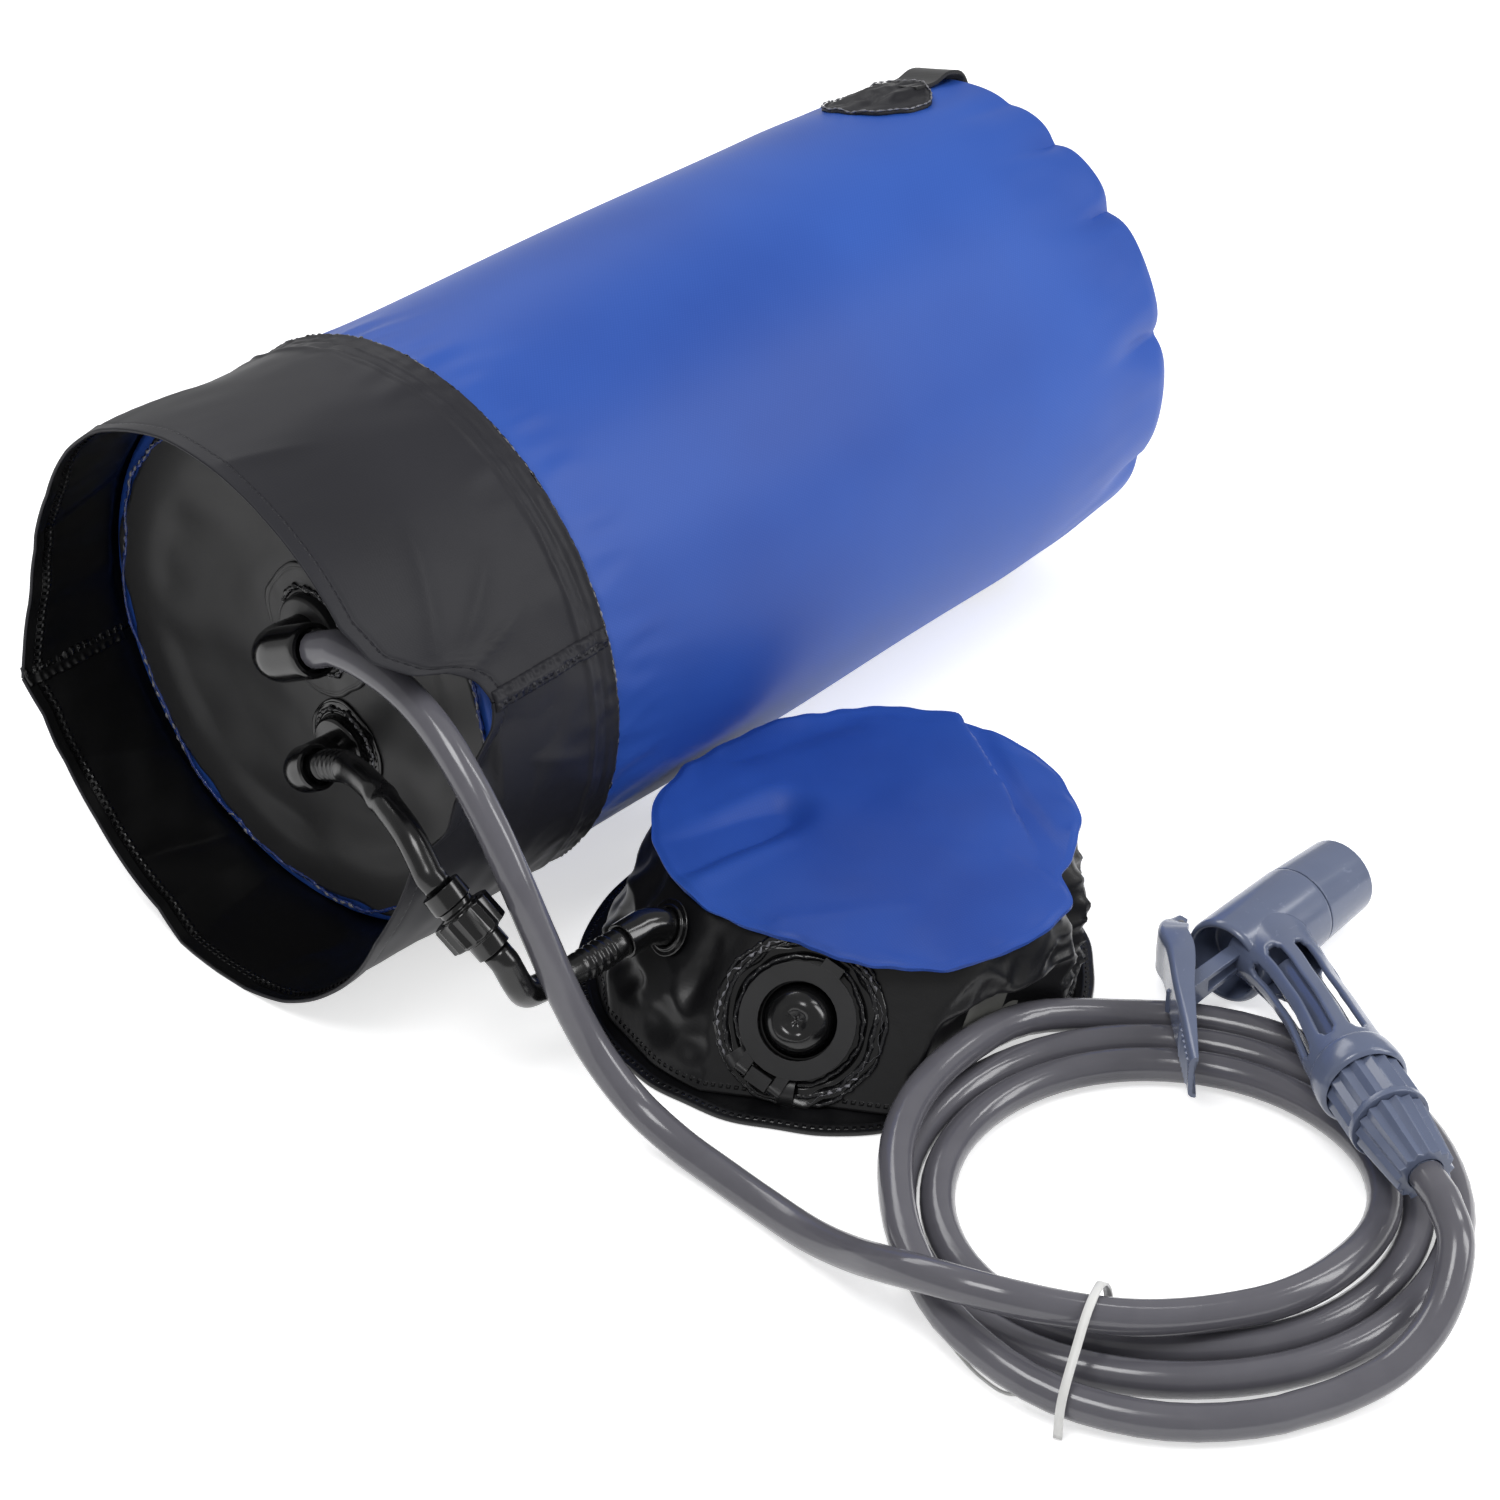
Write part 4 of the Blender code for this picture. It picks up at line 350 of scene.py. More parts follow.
def coatedCloth(name, look):
    # Woven polyester with a polymer coat, calendered: a soft matte face, a faint thread grain and slow tone changes.
    material, tree, shader = newMaterial(name)
    cloth = addNode(tree, "ShaderNodeUVMap", {"uv_map": "clothPlace"}).outputs["UV"]
    turned = addNode(tree, "ShaderNodeMapping", {"Rotation": (0, 0, look["grainTurn"])}, {"Vector": cloth}).outputs[0]
    waveScale = tau / 20 / look["thread"]      # bands repeat every 2 pi / 20 of a scaled metre
    warp = addNode(tree, "ShaderNodeTexWave", {"wave_type": "BANDS", "bands_direction": "X", "Scale": waveScale,
                                               "Distortion": 0.6, "Detail": 1.0}, {"Vector": turned}).outputs["Fac"]
    weft = addNode(tree, "ShaderNodeTexWave", {"wave_type": "BANDS", "bands_direction": "Y",
                                               "Scale": waveScale * 0.93, "Distortion": 0.6, "Detail": 1.0},
                   {"Vector": turned}).outputs["Fac"]
    weave = addNode(tree, "ShaderNodeMath", {"operation": "MULTIPLY"}, {0: warp, 1: weft}).outputs[0]
    spot = addNode(tree, "ShaderNodeTexCoord").outputs["Object"]
    slow = addNode(tree, "ShaderNodeTexNoise", {"Scale": look["toneScale"], "Detail": 3.0, "Roughness": 0.5},
                   {"Vector": spot}).outputs["Fac"]
    fine = addNode(tree, "ShaderNodeTexNoise", {"Scale": 900.0, "Detail": 2.0}, {"Vector": spot}).outputs["Fac"]
    tone = addNode(tree, "ShaderNodeValToRGB", {}, {"Fac": slow})
    tone.color_ramp.elements[0].position, tone.color_ramp.elements[1].position = 0.35, 0.68
    tone.color_ramp.elements[0].color, tone.color_ramp.elements[1].color = linear(look["dark"]), linear(look["light"])
    shade = addNode(tree, "ShaderNodeMath", {"operation": "MULTIPLY_ADD", 1: look["weaveTone"],
                                             2: 1 - look["weaveTone"] * 0.5}, {0: weave}).outputs[0]
    colour = addNode(tree, "ShaderNodeMix", {"data_type": "RGBA", "blend_type": "MULTIPLY", "Factor": 1.0},
                     {"A": tone.outputs["Color"], "B": shade}).outputs["Result"]
    tree.links.new(colour, shader.inputs["Base Color"])
    rough = addNode(tree, "ShaderNodeMapRange", {"To Min": look["roughness"] - 0.05,
                                                 "To Max": look["roughness"] + 0.07}, {"Value": slow}).outputs[0]
    tree.links.new(rough, shader.inputs["Roughness"])
    first = addNode(tree, "ShaderNodeBump", {"Strength": look["bump"], "Distance": 0.00012},
                    {"Height": weave}).outputs["Normal"]
    creases = addNode(tree, "ShaderNodeTexNoise", {"Scale": look["creaseScale"], "Detail": 4.0, "Distortion": 0.6},
                      {"Vector": spot}).outputs["Fac"]
    second = addNode(tree, "ShaderNodeBump", {"Strength": look["crease"], "Distance": 0.0012},
                     {"Height": creases, "Normal": first}).outputs["Normal"]
    third = addNode(tree, "ShaderNodeBump", {"Strength": 0.12, "Distance": 0.0001},
                    {"Height": fine, "Normal": second}).outputs["Normal"]
    tree.links.new(third, shader.inputs["Normal"])
    shader.inputs["Specular IOR Level"].default_value = look.get("specular", 0.4)
    shader.inputs["IOR"].default_value = 1.5
    if look.get("sheen"):
        shader.inputs["Sheen Weight"].default_value = look["sheen"]
        shader.inputs["Sheen Roughness"].default_value = 0.5
    if look.get("dashes"):
        # Dashes pressed by the welding wheel, along lines at these distances from the sheet's edge.
        parts = addNode(tree, "ShaderNodeSeparateXYZ", {}, {"Vector": cloth})
        along, across = parts.outputs["X"], parts.outputs["Y"]
        beat = addNode(tree, "ShaderNodeMath", {"operation": "MULTIPLY", 1: tau / look["dashes"]["pitch"]},
                       {0: along}).outputs[0]
        wave = addNode(tree, "ShaderNodeMath", {"operation": "SINE"}, {0: beat}).outputs[0]
        on = addNode(tree, "ShaderNodeMapRange", {"From Min": -0.3, "From Max": 0.4}, {"Value": wave}).outputs[0]
        total = None
        for line in look["dashes"]["lines"]:
            off = addNode(tree, "ShaderNodeMath", {"operation": "SUBTRACT", 1: line}, {0: across}).outputs[0]
            away = addNode(tree, "ShaderNodeMath", {"operation": "ABSOLUTE"}, {0: off}).outputs[0]
            band = addNode(tree, "ShaderNodeMapRange", {"From Min": 0.0003, "From Max": 0.0009, "To Min": 1.0,
                                                        "To Max": 0.0}, {"Value": away}).outputs[0]
            if total is None:
                total = band
            else:
                total = addNode(tree, "ShaderNodeMath", {"operation": "MAXIMUM"}, {0: total, 1: band}).outputs[0]
        marks = addNode(tree, "ShaderNodeMath", {"operation": "MULTIPLY"}, {0: total, 1: on}).outputs[0]
        fourth = addNode(tree, "ShaderNodeBump", {"Strength": 0.9, "Distance": 0.0005},
                         {"Height": marks, "Normal": third}).outputs["Normal"]
        tree.links.new(fourth, shader.inputs["Normal"])
        shiny = addNode(tree, "ShaderNodeMath", {"operation": "MULTIPLY_ADD", 1: -0.22},
                        {0: marks, 2: rough}).outputs[0]
        tree.links.new(shiny, shader.inputs["Roughness"])
    return material


def mouldedPlastic(name, look):
    # Injection moulded part: even colour, light flow lines and grain in the gloss, small paler scuffs.
    material, tree, shader = newMaterial(name)
    spot = addNode(tree, "ShaderNodeTexCoord").outputs["Object"]
    slow = addNode(tree, "ShaderNodeTexNoise", {"Scale": look.get("flowScale", 45.0), "Detail": 3.0,
                                                "Distortion": 0.4}, {"Vector": spot}).outputs["Fac"]
    grain = addNode(tree, "ShaderNodeTexNoise", {"Scale": look.get("grainScale", 1400.0), "Detail": 2.0},
                    {"Vector": spot}).outputs["Fac"]
    tone = addNode(tree, "ShaderNodeMix", {"data_type": "RGBA", "A": linear(look["dark"]),
                                           "B": linear(look["light"])}, {"Factor": slow}).outputs["Result"]
    scuffs = addNode(tree, "ShaderNodeTexNoise", {"Scale": 160.0, "Detail": 5.0, "Roughness": 0.7, "Distortion": 1.5},
                     {"Vector": spot}).outputs["Fac"]
    rub = addNode(tree, "ShaderNodeMapRange", {"From Min": 0.62, "From Max": 0.74, "To Max": look.get("rub", 0.25)},
                  {"Value": scuffs}).outputs[0]
    colour = addNode(tree, "ShaderNodeMix", {"data_type": "RGBA", "B": linear(look["edge"])},
                     {"Factor": rub, "A": tone}).outputs["Result"]
    tree.links.new(colour, shader.inputs["Base Color"])
    rough = addNode(tree, "ShaderNodeMapRange", {"From Min": 0.3, "From Max": 0.7, "To Min": look["roughness"] * 0.8,
                                                 "To Max": look["roughness"] * 1.25}, {"Value": slow}).outputs[0]
    tree.links.new(rough, shader.inputs["Roughness"])
    first = addNode(tree, "ShaderNodeBump", {"Strength": look.get("grain", 0.06), "Distance": 0.0001},
                    {"Height": grain}).outputs["Normal"]
    second = addNode(tree, "ShaderNodeBump", {"Strength": look.get("flow", 0.05), "Distance": 0.0008},
                     {"Height": slow, "Normal": first}).outputs["Normal"]
    tree.links.new(second, shader.inputs["Normal"])
    shader.inputs["IOR"].default_value = look.get("ior", 1.53)
    shader.inputs["Metallic"].default_value = look.get("metallic", 0.0)
    shader.inputs["Coat Weight"].default_value = look.get("coat", 0.0)
    shader.inputs["Coat Roughness"].default_value = 0.12
    return material


finishes = {
    # Polyurethane-coated polyester, dyed royal blue: matte with a low sheen.
    "bag": coatedCloth("bagCoatedPolyester", {
        "dark": "#264da4", "light": "#315eba", "roughness": 0.46, "thread": 0.0011, "grainTurn": 0.7,
        "weaveTone": 0.07, "bump": 0.16, "toneScale": 5.0, "creaseScale": 22.0, "crease": 0.05, "specular": 0.35}),
    # Heavier vinyl-coated polyester, charcoal outside.
    "skirt": coatedCloth("skirtVinylOutside", {
        "dark": "#1b1b20", "light": "#25252b", "roughness": 0.52, "thread": 0.0012, "grainTurn": 0.1,
        "weaveTone": 0.05, "bump": 0.12, "toneScale": 6.0, "creaseScale": 26.0, "crease": 0.1, "specular": 0.3,
        "dashes": {"pitch": 0.0034, "lines": [0.0066]}}),
    # The same cloth inside, with a smoother and darker coat.
    "lining": coatedCloth("skirtVinylLining", {
        "dark": "#050506", "light": "#0a0a0b", "roughness": 0.34, "thread": 0.0012, "grainTurn": 0.1,
        "weaveTone": 0.03, "bump": 0.06, "toneScale": 6.0, "creaseScale": 30.0, "crease": 0.16, "specular": 0.4,
        "dashes": {"pitch": 0.0034, "lines": [0.0066, 0.0085]}}),
    # Black vinyl sheet of the disc: dull, with soft lights in its dents.
    "disc": coatedCloth("baseDiscVinyl", {
        "dark": "#262627", "light": "#323233", "roughness": 0.46, "thread": 0.0012, "grainTurn": 0.5,
        "weaveTone": 0.03, "bump": 0.08, "toneScale": 9.0, "creaseScale": 30.0, "crease": 0.12, "specular": 0.4}),
    # The bag's cloth on the pump, painted a little darker as painted shade, its thread more open.
    "pumpTop": coatedCloth("pumpTopCoatedPolyester", {
        "dark": "#204498", "light": "#2c55ae", "roughness": 0.45, "thread": 0.0011, "grainTurn": 0.35,
        "weaveTone": 0.09, "bump": 0.2, "toneScale": 9.0, "creaseScale": 35.0, "crease": 0.1, "specular": 0.35,
        "dashes": {"pitch": 0.0026, "lines": [0.0022]}}),
    # Thin black vinyl: the glossiest cloth, with small sharp creases.
    "pumpWall": coatedCloth("pumpWallVinyl", {
        "dark": "#0c0c0e", "light": "#151517", "roughness": 0.34, "thread": 0.0012, "grainTurn": 0.2,
        "weaveTone": 0.03, "bump": 0.06, "toneScale": 12.0, "creaseScale": 42.0, "crease": 0.3, "specular": 0.45,
        "dashes": {"pitch": 0.0034, "lines": [0.0030]}}),
    # Polyester webbing: threads that show.
    "webbing": coatedCloth("strapWebbing", {
        "dark": "#121214", "light": "#1c1c1f", "roughness": 0.7, "thread": 0.0014, "grainTurn": 0.0,
        "weaveTone": 0.5, "bump": 0.5, "toneScale": 20.0, "creaseScale": 40.0, "crease": 0.1, "sheen": 0.2}),
    # Soft PVC fittings, moulded and polished by the tool.
    "rubber": mouldedPlastic("softVinylFitting", {
        "dark": "#0b0b0c", "light": "#101011", "edge": "#161618", "roughness": 0.17, "grain": 0.03, "flow": 0.05}),
    # The same PVC from an etched tool: dull and a little paler.
    "matteRubber": mouldedPlastic("matteVinylFitting", {
        "dark": "#161617", "light": "#1e1e20", "edge": "#2c2c2e", "roughness": 0.46, "grain": 0.18, "flow": 0.08,
        "grainScale": 1800.0}),
    # Extruded black air hose: faint ripples along a satin face.
    "airHose": mouldedPlastic("extrudedAirHose", {
        "dark": "#09090a", "light": "#0e0e10", "edge": "#161618", "roughness": 0.22, "grain": 0.04, "flow": 0.2,
        "flowScale": 70.0}),
    # Extruded flexible PVC hose: glossy mid grey.
    "hose": mouldedPlastic("extrudedGreyHose", {
        "dark": "#5b5a61", "light": "#66656c", "edge": "#74737a", "roughness": 0.16, "grain": 0.03, "flow": 0.12,
        "flowScale": 60.0, "rub": 0.0}),
    # Moulded ABS of the handset.
    "abs": mouldedPlastic("handsetAbs", {
        "dark": "#5e677f", "light": "#687189", "edge": "#8b94aa", "roughness": 0.2, "grain": 0.05, "flow": 0.05,
        "rub": 0.35}),
    # Drawn tube inside the handle: darker, with a glassy coat.
    "clearTube": mouldedPlastic("innerTubeAbs", {
        "dark": "#565d72", "light": "#60687e", "edge": "#7a8298", "roughness": 0.12, "grain": 0.02, "flow": 0.1,
        "coat": 0.6}),
    # Natural nylon: white and waxy.
    "nylon": mouldedPlastic("whiteNylon", {
        "dark": "#dcdcda", "light": "#e8e8e6", "edge": "#f2f2f0", "roughness": 0.42, "grain": 0.12}),
    # Drawn spring steel: bare metal, softly bright.
    "steel": mouldedPlastic("drawnSpringSteel", {
        "dark": "#9a9a9c", "light": "#b2b2b4", "edge": "#c8c8ca", "roughness": 0.3, "metallic": 1.0, "ior": 1.5}),
    # Open foam: grey and fully matte.
    "foam": mouldedPlastic("pumpFoam", {
        "dark": "#6a6a66", "light": "#7c7c78", "edge": "#8a8a86", "roughness": 0.9, "grain": 0.9,
        "grainScale": 500.0}),
    # Melt squeezed out of a weld: black, wet-looking and lumpy.
    "weld": mouldedPlastic("weldBead", {
        "dark": "#0c0c0e", "light": "#1a1a1e", "edge": "#303036", "roughness": 0.16, "grain": 0.4, "flow": 0.6,
        "flowScale": 500.0}),
    # Pale grey melt that stands in for glints along the welds: painted highlights.
    "weldGlint": mouldedPlastic("paintedWeldGlint", {
        "dark": "#5a5a60", "light": "#8c8c92", "edge": "#a8a8ae", "roughness": 0.3, "grain": 0.4, "flow": 0.4,
        "flowScale": 300.0}),
    # Black melt flecked with blue as glints: painted blue highlights.
    "blueGlintWeld": mouldedPlastic("paintedBlueGlintBead", {
        "dark": "#15151a", "light": "#2d4da8", "edge": "#5a78cc", "roughness": 0.18, "grain": 0.4, "flow": 0.6,
        "flowScale": 260.0}),
}
print("materials made")


# Grey hose, one length from the outlet to the handset
hose = {
    "radius": 0.007, "run": 0.014, "clearance": 0.0003, "step": 0.004,
    "start": (-0.2190, -0.040903, 0.156432), "startWay": (0.0, -0.882948, 0.469472),
    "route": [
        (0.0253, -0.0690, 0.1625), (0.0255, -0.0940, 0.1575), (0.0235, -0.1120, 0.1505), (0.0205, -0.1295, 0.1395),
        (0.0180, -0.1455, 0.1250), (0.0172, -0.1595, 0.1050), (0.0188, -0.1715, 0.0800), (0.0215, -0.1825, 0.0550),
        (0.0245, -0.1960, 0.0330), (0.0270, -0.2130, 0.0175), (0.0280, -0.2340, 0.0098), (0.0275, -0.2570, 0.0076),
        (0.0255, -0.2830, 0.0076), (0.0220, -0.3090, 0.0105), (0.0175, -0.3330, 0.0185), (0.0133, -0.3525, 0.0280),
        (0.0123, -0.3700, 0.0348), (0.0153, -0.3875, 0.0376), (0.0230, -0.4045, 0.0366), (0.0350, -0.4200, 0.0325),
        (0.0500, -0.4345, 0.0277)],
    "coilMiddle": (0.130, -0.396), "coilStart": -137.4, "firstTurn": 1 / 24, "lastTurn": 3 + 1 / 24,
    # turn, radius of the turn, height of the hose's middle
    "coil": [
        (0.0, 0.0765, 0.0223), (0.125, 0.0775, 0.0205), (0.25, 0.0830, 0.0150), (0.375, 0.0855, 0.0090),
        (0.5, 0.0860, 0.0074), (0.75, 0.0880, 0.0074), (0.875, 0.0855, 0.0074), (1.0, 0.0795, 0.0074),
        (1.125, 0.0862, 0.0074), (1.25, 0.0962, 0.0074), (1.375, 0.1004, 0.0074), (1.5, 0.1012, 0.0074),
        (1.625, 0.1019, 0.0074), (1.75, 0.1029, 0.0074), (1.875, 0.1005, 0.0074), (2.0, 0.0965, 0.0074),
        (2.125, 0.1014, 0.0074), (2.25, 0.1115, 0.0074), (2.375, 0.1154, 0.0074), (2.5, 0.1166, 0.0078),
        (2.5625, 0.1158, 0.0150), (2.625, 0.1075, 0.0218), (2.75, 0.1045, 0.0226), (2.8125, 0.1085, 0.0218),
        (2.875, 0.1160, 0.0170), (2.9375, 0.1184, 0.0100), (3.0, 0.1186, 0.0076), (3.0625, 0.1186, 0.0078)],
    "exit": [
        (0.0900, -0.5074, 0.0086), (0.1130, -0.5145, 0.0120), (0.1330, -0.5152, 0.0185), (0.1490, -0.5112, 0.0275),
        (0.1600, -0.5048, 0.0352)],
    "handleEnd": (0.2075, -0.4265, 0.0420), "nutWay": (-0.4970, -0.8660, -0.0200), "nutReach": 0.0606,
}


def coilPath(turns):
    # A turn's radius and height are read from the table; its angle grows by a full turn each loop.
    radius, height = readTable(hose["coil"], turns).T
    angle = np.radians(hose["coilStart"] + 360 * turns)
    x = hose["coilMiddle"][0] + radius * np.cos(angle)
    y = hose["coilMiddle"][1] + radius * np.sin(angle)
    return fromRim(np.stack([x, y, height], -1))


def hosePath():
    # Out of the elbow, along the free length, through the coil and up into the handset's nut.
    start, startWay = np.array(hose["start"]), np.array(hose["startWay"])
    first = start + startWay * hose["clearance"]
    coil = coilPath(np.linspace(hose["firstTurn"], hose["lastTurn"], 72 * 3 + 1))
    lead = [first + startWay * hose["run"]] + list(fromRim(hose["route"])) + [coil[0], coil[2]]
    free = smoothPath(lead, hose["step"])
    nutWay = np.array(hose["nutWay"]) / np.linalg.norm(hose["nutWay"])
    end = fromRim(hose["handleEnd"]) + nutWay * hose["nutReach"]
    rise = [coil[-1]] + list(fromRim(hose["exit"])) + [end + nutWay * (hose["clearance"] + hose["run"])]
    out = smoothPath(rise, hose["step"])
    cut = np.argmin(np.linalg.norm(free - coil[0], axis=1))
    return np.vstack([first, free[:cut], coil, out[1:], end + nutWay * hose["clearance"]])


def makeHose():
    # Round curve along the path, stretched a little where it sits on the elbow.
    path = hosePath()
    reach = pathReach(path)
    curve = bpy.data.curves.new("showerHose", "CURVE")
    curve.dimensions = "3D"
    curve.bevel_depth = hose["radius"]
    curve.bevel_resolution = 5
    curve.use_fill_caps = True
    line = curve.splines.new("POLY")
    line.points.add(len(path) - 1)
    line.points.foreach_set("co", np.hstack([path, np.ones((len(path), 1))]).ravel())
    swell = 1 + 0.1 * (1 - softStep(reach, 0.010, 0.026))       # stretched over the elbow's barb
    line.points.foreach_set("radius", swell)
    line.use_smooth = True
    piece = addObject("showerHose", curve)
    settle(piece, finishes["hose"], "bag", ("shower_hose", "hose_coil"))
    return piece, path, float(reach[-1])


hosePiece, hoseLine, hoseLength = makeHose()

tie = {
    "angle": math.radians(-160), "width": 0.0034, "thickness": 0.0013, "tailRadius": 0.0007,
    # Over the coil: distance from its middle, height
    "route": [(0.0712, 0.0008), (0.0716, 0.0120), (0.0775, 0.0300), (0.0860, 0.0385), (0.0985, 0.0385),
              (0.1120, 0.0300), (0.1275, 0.0150), (0.1292, 0.0008)],
    # Loose end on the ground, from the tie's foot and back
    "tail": [(0.0150, -0.4195, 0.0040), (0.0135, -0.4120, 0.0012), (0.0140, -0.4010, 0.0008),
             (0.0185, -0.3850, 0.0008), (0.0245, -0.3710, 0.0008), (0.0290, -0.3610, 0.0008),
             (0.0300, -0.3580, 0.0009), (0.0290, -0.3620, 0.0012), (0.0225, -0.3820, 0.0010),
             (0.0190, -0.3990, 0.0008), (0.0178, -0.4120, 0.0010), (0.0168, -0.4190, 0.0030)],
}


def makeTie():
    # A flat nylon strip over the coil's turns, with a rounded rectangle as its section.
    radial = np.array([math.cos(tie["angle"]), math.sin(tie["angle"]), 0])
    middle = fromRim([*hose["coilMiddle"], 0])
    points = [middle + radial * reach + np.array([0, 0, height]) for reach, height in tie["route"]]
    path = smoothPath(points, 0.002)
    path[:, 2] = np.maximum(path[:, 2], tie["thickness"] / 2)
    half, wall = tie["width"] / 2, tie["thickness"] / 2
    section = [(-half, -wall * 0.5), (-half * 0.92, -wall), (half * 0.92, -wall), (half, -wall * 0.5),
               (half, wall * 0.5), (half * 0.92, wall), (-half * 0.92, wall), (-half, wall * 0.5)]
    side = (-math.sin(tie["angle"]), math.cos(tie["angle"]), 0)
    grid = sweepGrid(path, np.repeat(np.array(section)[None], len(path), axis=0), side)
    piece = makeSurface("hoseTie", grid, **closedTube)
    return settle(piece, finishes["nylon"], "bag", ("hose_tie",))


def makeTieTail():
    # The thin loose end of the tie, doubled back on itself beside the coil.
    path = smoothPath(fromRim(tie["tail"]), 0.0012)
    path[:, 2] = np.maximum(path[:, 2], tie["tailRadius"])
    grid = sweepGrid(path, roundSections(np.full(len(path), tie["tailRadius"]), 10), (0, 0, 1))
    piece = makeSurface("tieTail", grid, **closedTube)
    return settle(piece, finishes["nylon"])


tiePiece = makeTie()
tailPiece = makeTieTail()
print("grey hose laid, metres:", round(hoseLength, 3))


# Bag
bag = {
    "radius": 0.1195, "endRadius": 0.1118, "taper": 0.087, "shoulder": 0.050, "holeRadius": 0.097, "wall": 0.002,
    "discInset": 0.019, "skirtEnd": 0.113, "skirtLift": 0.0022, "around": 336, "corner": 0.006, "rim": 0.0009,
    # Rings along the outside, as first place, last place and count, and then back along the inside
    "stations": [(0.062, 0.106, 6), (0.110, 0.150, 22), (0.158, 0.395, 26), (0.402, 0.4845, 34)],
    "insideStations": [0.43, 0.40, 0.26, 0.12, 0.056],
    # Angle of each pinch round the far weld, its depth and its half width in degrees
    "pinches": [(20, 0.0030, 5), (46, 0.0040, 5), (64, 0.0022, 4), (98, 0.0024, 3.5), (113.5, 0.0062, 3.4),
                (135, 0.0075, 3.6), (167.5, 0.0058, 3.4), (203, 0.0036, 5), (228, 0.0034, 5), (251, 0.0026, 4),
                (283, 0.0030, 4), (309, 0.0044, 4.5), (333, 0.0040, 4.5), (356, 0.0034, 5)],
}


def pinchDepth(angle):
    # Narrow valleys between wide pillows: sum of depth * exp(-|difference| / width).
    degrees = np.degrees(angle) % 360
    total = np.zeros_like(degrees)
    for middle, depth, width in bag["pinches"]:
        away = np.abs((degrees - middle + 180) % 360 - 180)
        total = total + depth * np.exp(-((away / width) ** 1.3))
    return total


def bagRadius(x, angle):
    # Outer radius at a distance from the rim plane: a cylinder that narrows to the pinched far weld.
    share = np.clip((x - (bagLength - bag["taper"])) / bag["taper"], 0, 1)
    mean = bag["radius"] + (bag["endRadius"] - bag["radius"]) * share ** 1.6
    pillow = 0.0022 * share**2
    near = softStep(x, bagLength - 0.060, bagLength)
    return mean + pillow - pinchDepth(angle) * near**1.4


def aroundBag(x, angle, radius, floor=0.0):
    # Points round the bag's axis at a distance, an angle and a radius, never below the given level.
    y = radius * np.cos(angle)
    z = axisZ + radius * np.sin(angle)
    return np.stack([rimX + x + 0 * angle, y, np.maximum(z, floor)], -1)


def bagSkin(x, angle, depth=0.0):
    # The filled bag's face: slow swell, small puckers beside both welds, flat where it lies.
    spots = np.stack([x * np.ones_like(angle), bag["radius"] * np.cos(angle), bag["radius"] * np.sin(angle)], -1)
    swell = 0.0007 * softNoise(spots, 0.16, 3)
    alongArc = np.stack([x * np.ones_like(angle) * 0.35, angle * bag["radius"]], -1)
    pucker = 0.0005 * softNoise(alongArc, 0.017, 5) * bump(x, bag["skirtEnd"] + 0.008, 0.022)
    endPucker = 0.0006 * softNoise(alongArc, 0.022, 8) * softStep(x, bagLength - 0.075, bagLength - 0.02)
    radius = bagRadius(x, angle) + (swell + pucker + endPucker) * (1 - softStep(x, bagLength - 0.006, bagLength))
    under = bag["skirtLift"] * (1 - softStep(x, bag["skirtEnd"] + 0.004, bag["skirtEnd"] + 0.030))
    inSkirt = x < bag["skirtEnd"] + 0.0015
    radius = np.where(inSkirt, np.minimum(radius, bag["radius"]), radius)
    return aroundBag(x, angle, radius - depth, under + depth)


def bagRing(x, angle, depth=0.0):
    # One ring of the bag's skin, that depth under its face.
    return bagSkin(np.full_like(angle, x), angle, depth)


def makeBag():
    # Rings from the disc's hole over the shoulder, along the outside, round the far weld and back inside.
    angle = turnAngles(bag["around"])
    shoulder, corner, rim = bag["shoulder"], bag["corner"], bag["rim"]
    hole = bag["holeRadius"] + 0.0006 * softNoise(unitRing(angle), 0.25, 21)
    rows = [aroundBag(shoulder + bag["wall"], angle, hole)]
    for share in np.linspace(0, 1, 7):                            # soft shoulder round the black disc
        radius = hole + (bag["radius"] - corner - hole) * share
        x = shoulder + 0.0004 - 0.0008 * math.sin(math.pi * share)
        rows.append(aroundBag(x, angle, radius, bag["skirtLift"]))
    for turn in np.linspace(0.15, 1, 6) * math.pi / 2:
        radius = bag["radius"] - corner + corner * math.sin(turn)
        rows.append(aroundBag(shoulder + corner * (1 - math.cos(turn)), angle, radius, bag["skirtLift"]))
    for first, last, count in bag["stations"]:
        rows += [bagRing(x, angle) for x in np.linspace(first, last, count)]
    for turn in np.linspace(0.2, 1, 4) * math.pi / 2:             # rolled edge of the far weld
        rows.append(bagRing(bagLength - rim + rim * math.sin(turn), angle, rim * (1 - math.cos(turn))))
    for x in np.concatenate([np.linspace(bagLength - 0.0006, bagLength - 0.024, 9), bag["insideStations"]]):
        rows.append(bagRing(x, angle, bag["wall"]))
    grid = np.stack(rows)
    along = pathReach(grid[:, 40])
    arc = np.arange(bag["around"] + 1) * tau * bag["radius"] / bag["around"]
    places = gridPlaces(np.append(along, along[-1]), arc, swapped=True)
    piece = makeSurface("bagShell", grid, places=places, sharp=50, **closedRing)
    settle(piece, finishes["bag"], "bag", ("bag_body",))


farDisc = {
    "around": 224, "seat": 0.0028, "lip": 0.0015, "belly": 0.0022, "turnUp": 0.004,
    "pucker": 0.0010, "puckers": 21,
    # Hole for the filling neck: its distance and way from the middle, and its radius
    "holeOffset": 0.050, "holeAngle": math.radians(166), "holeRadius": 0.0283,
}


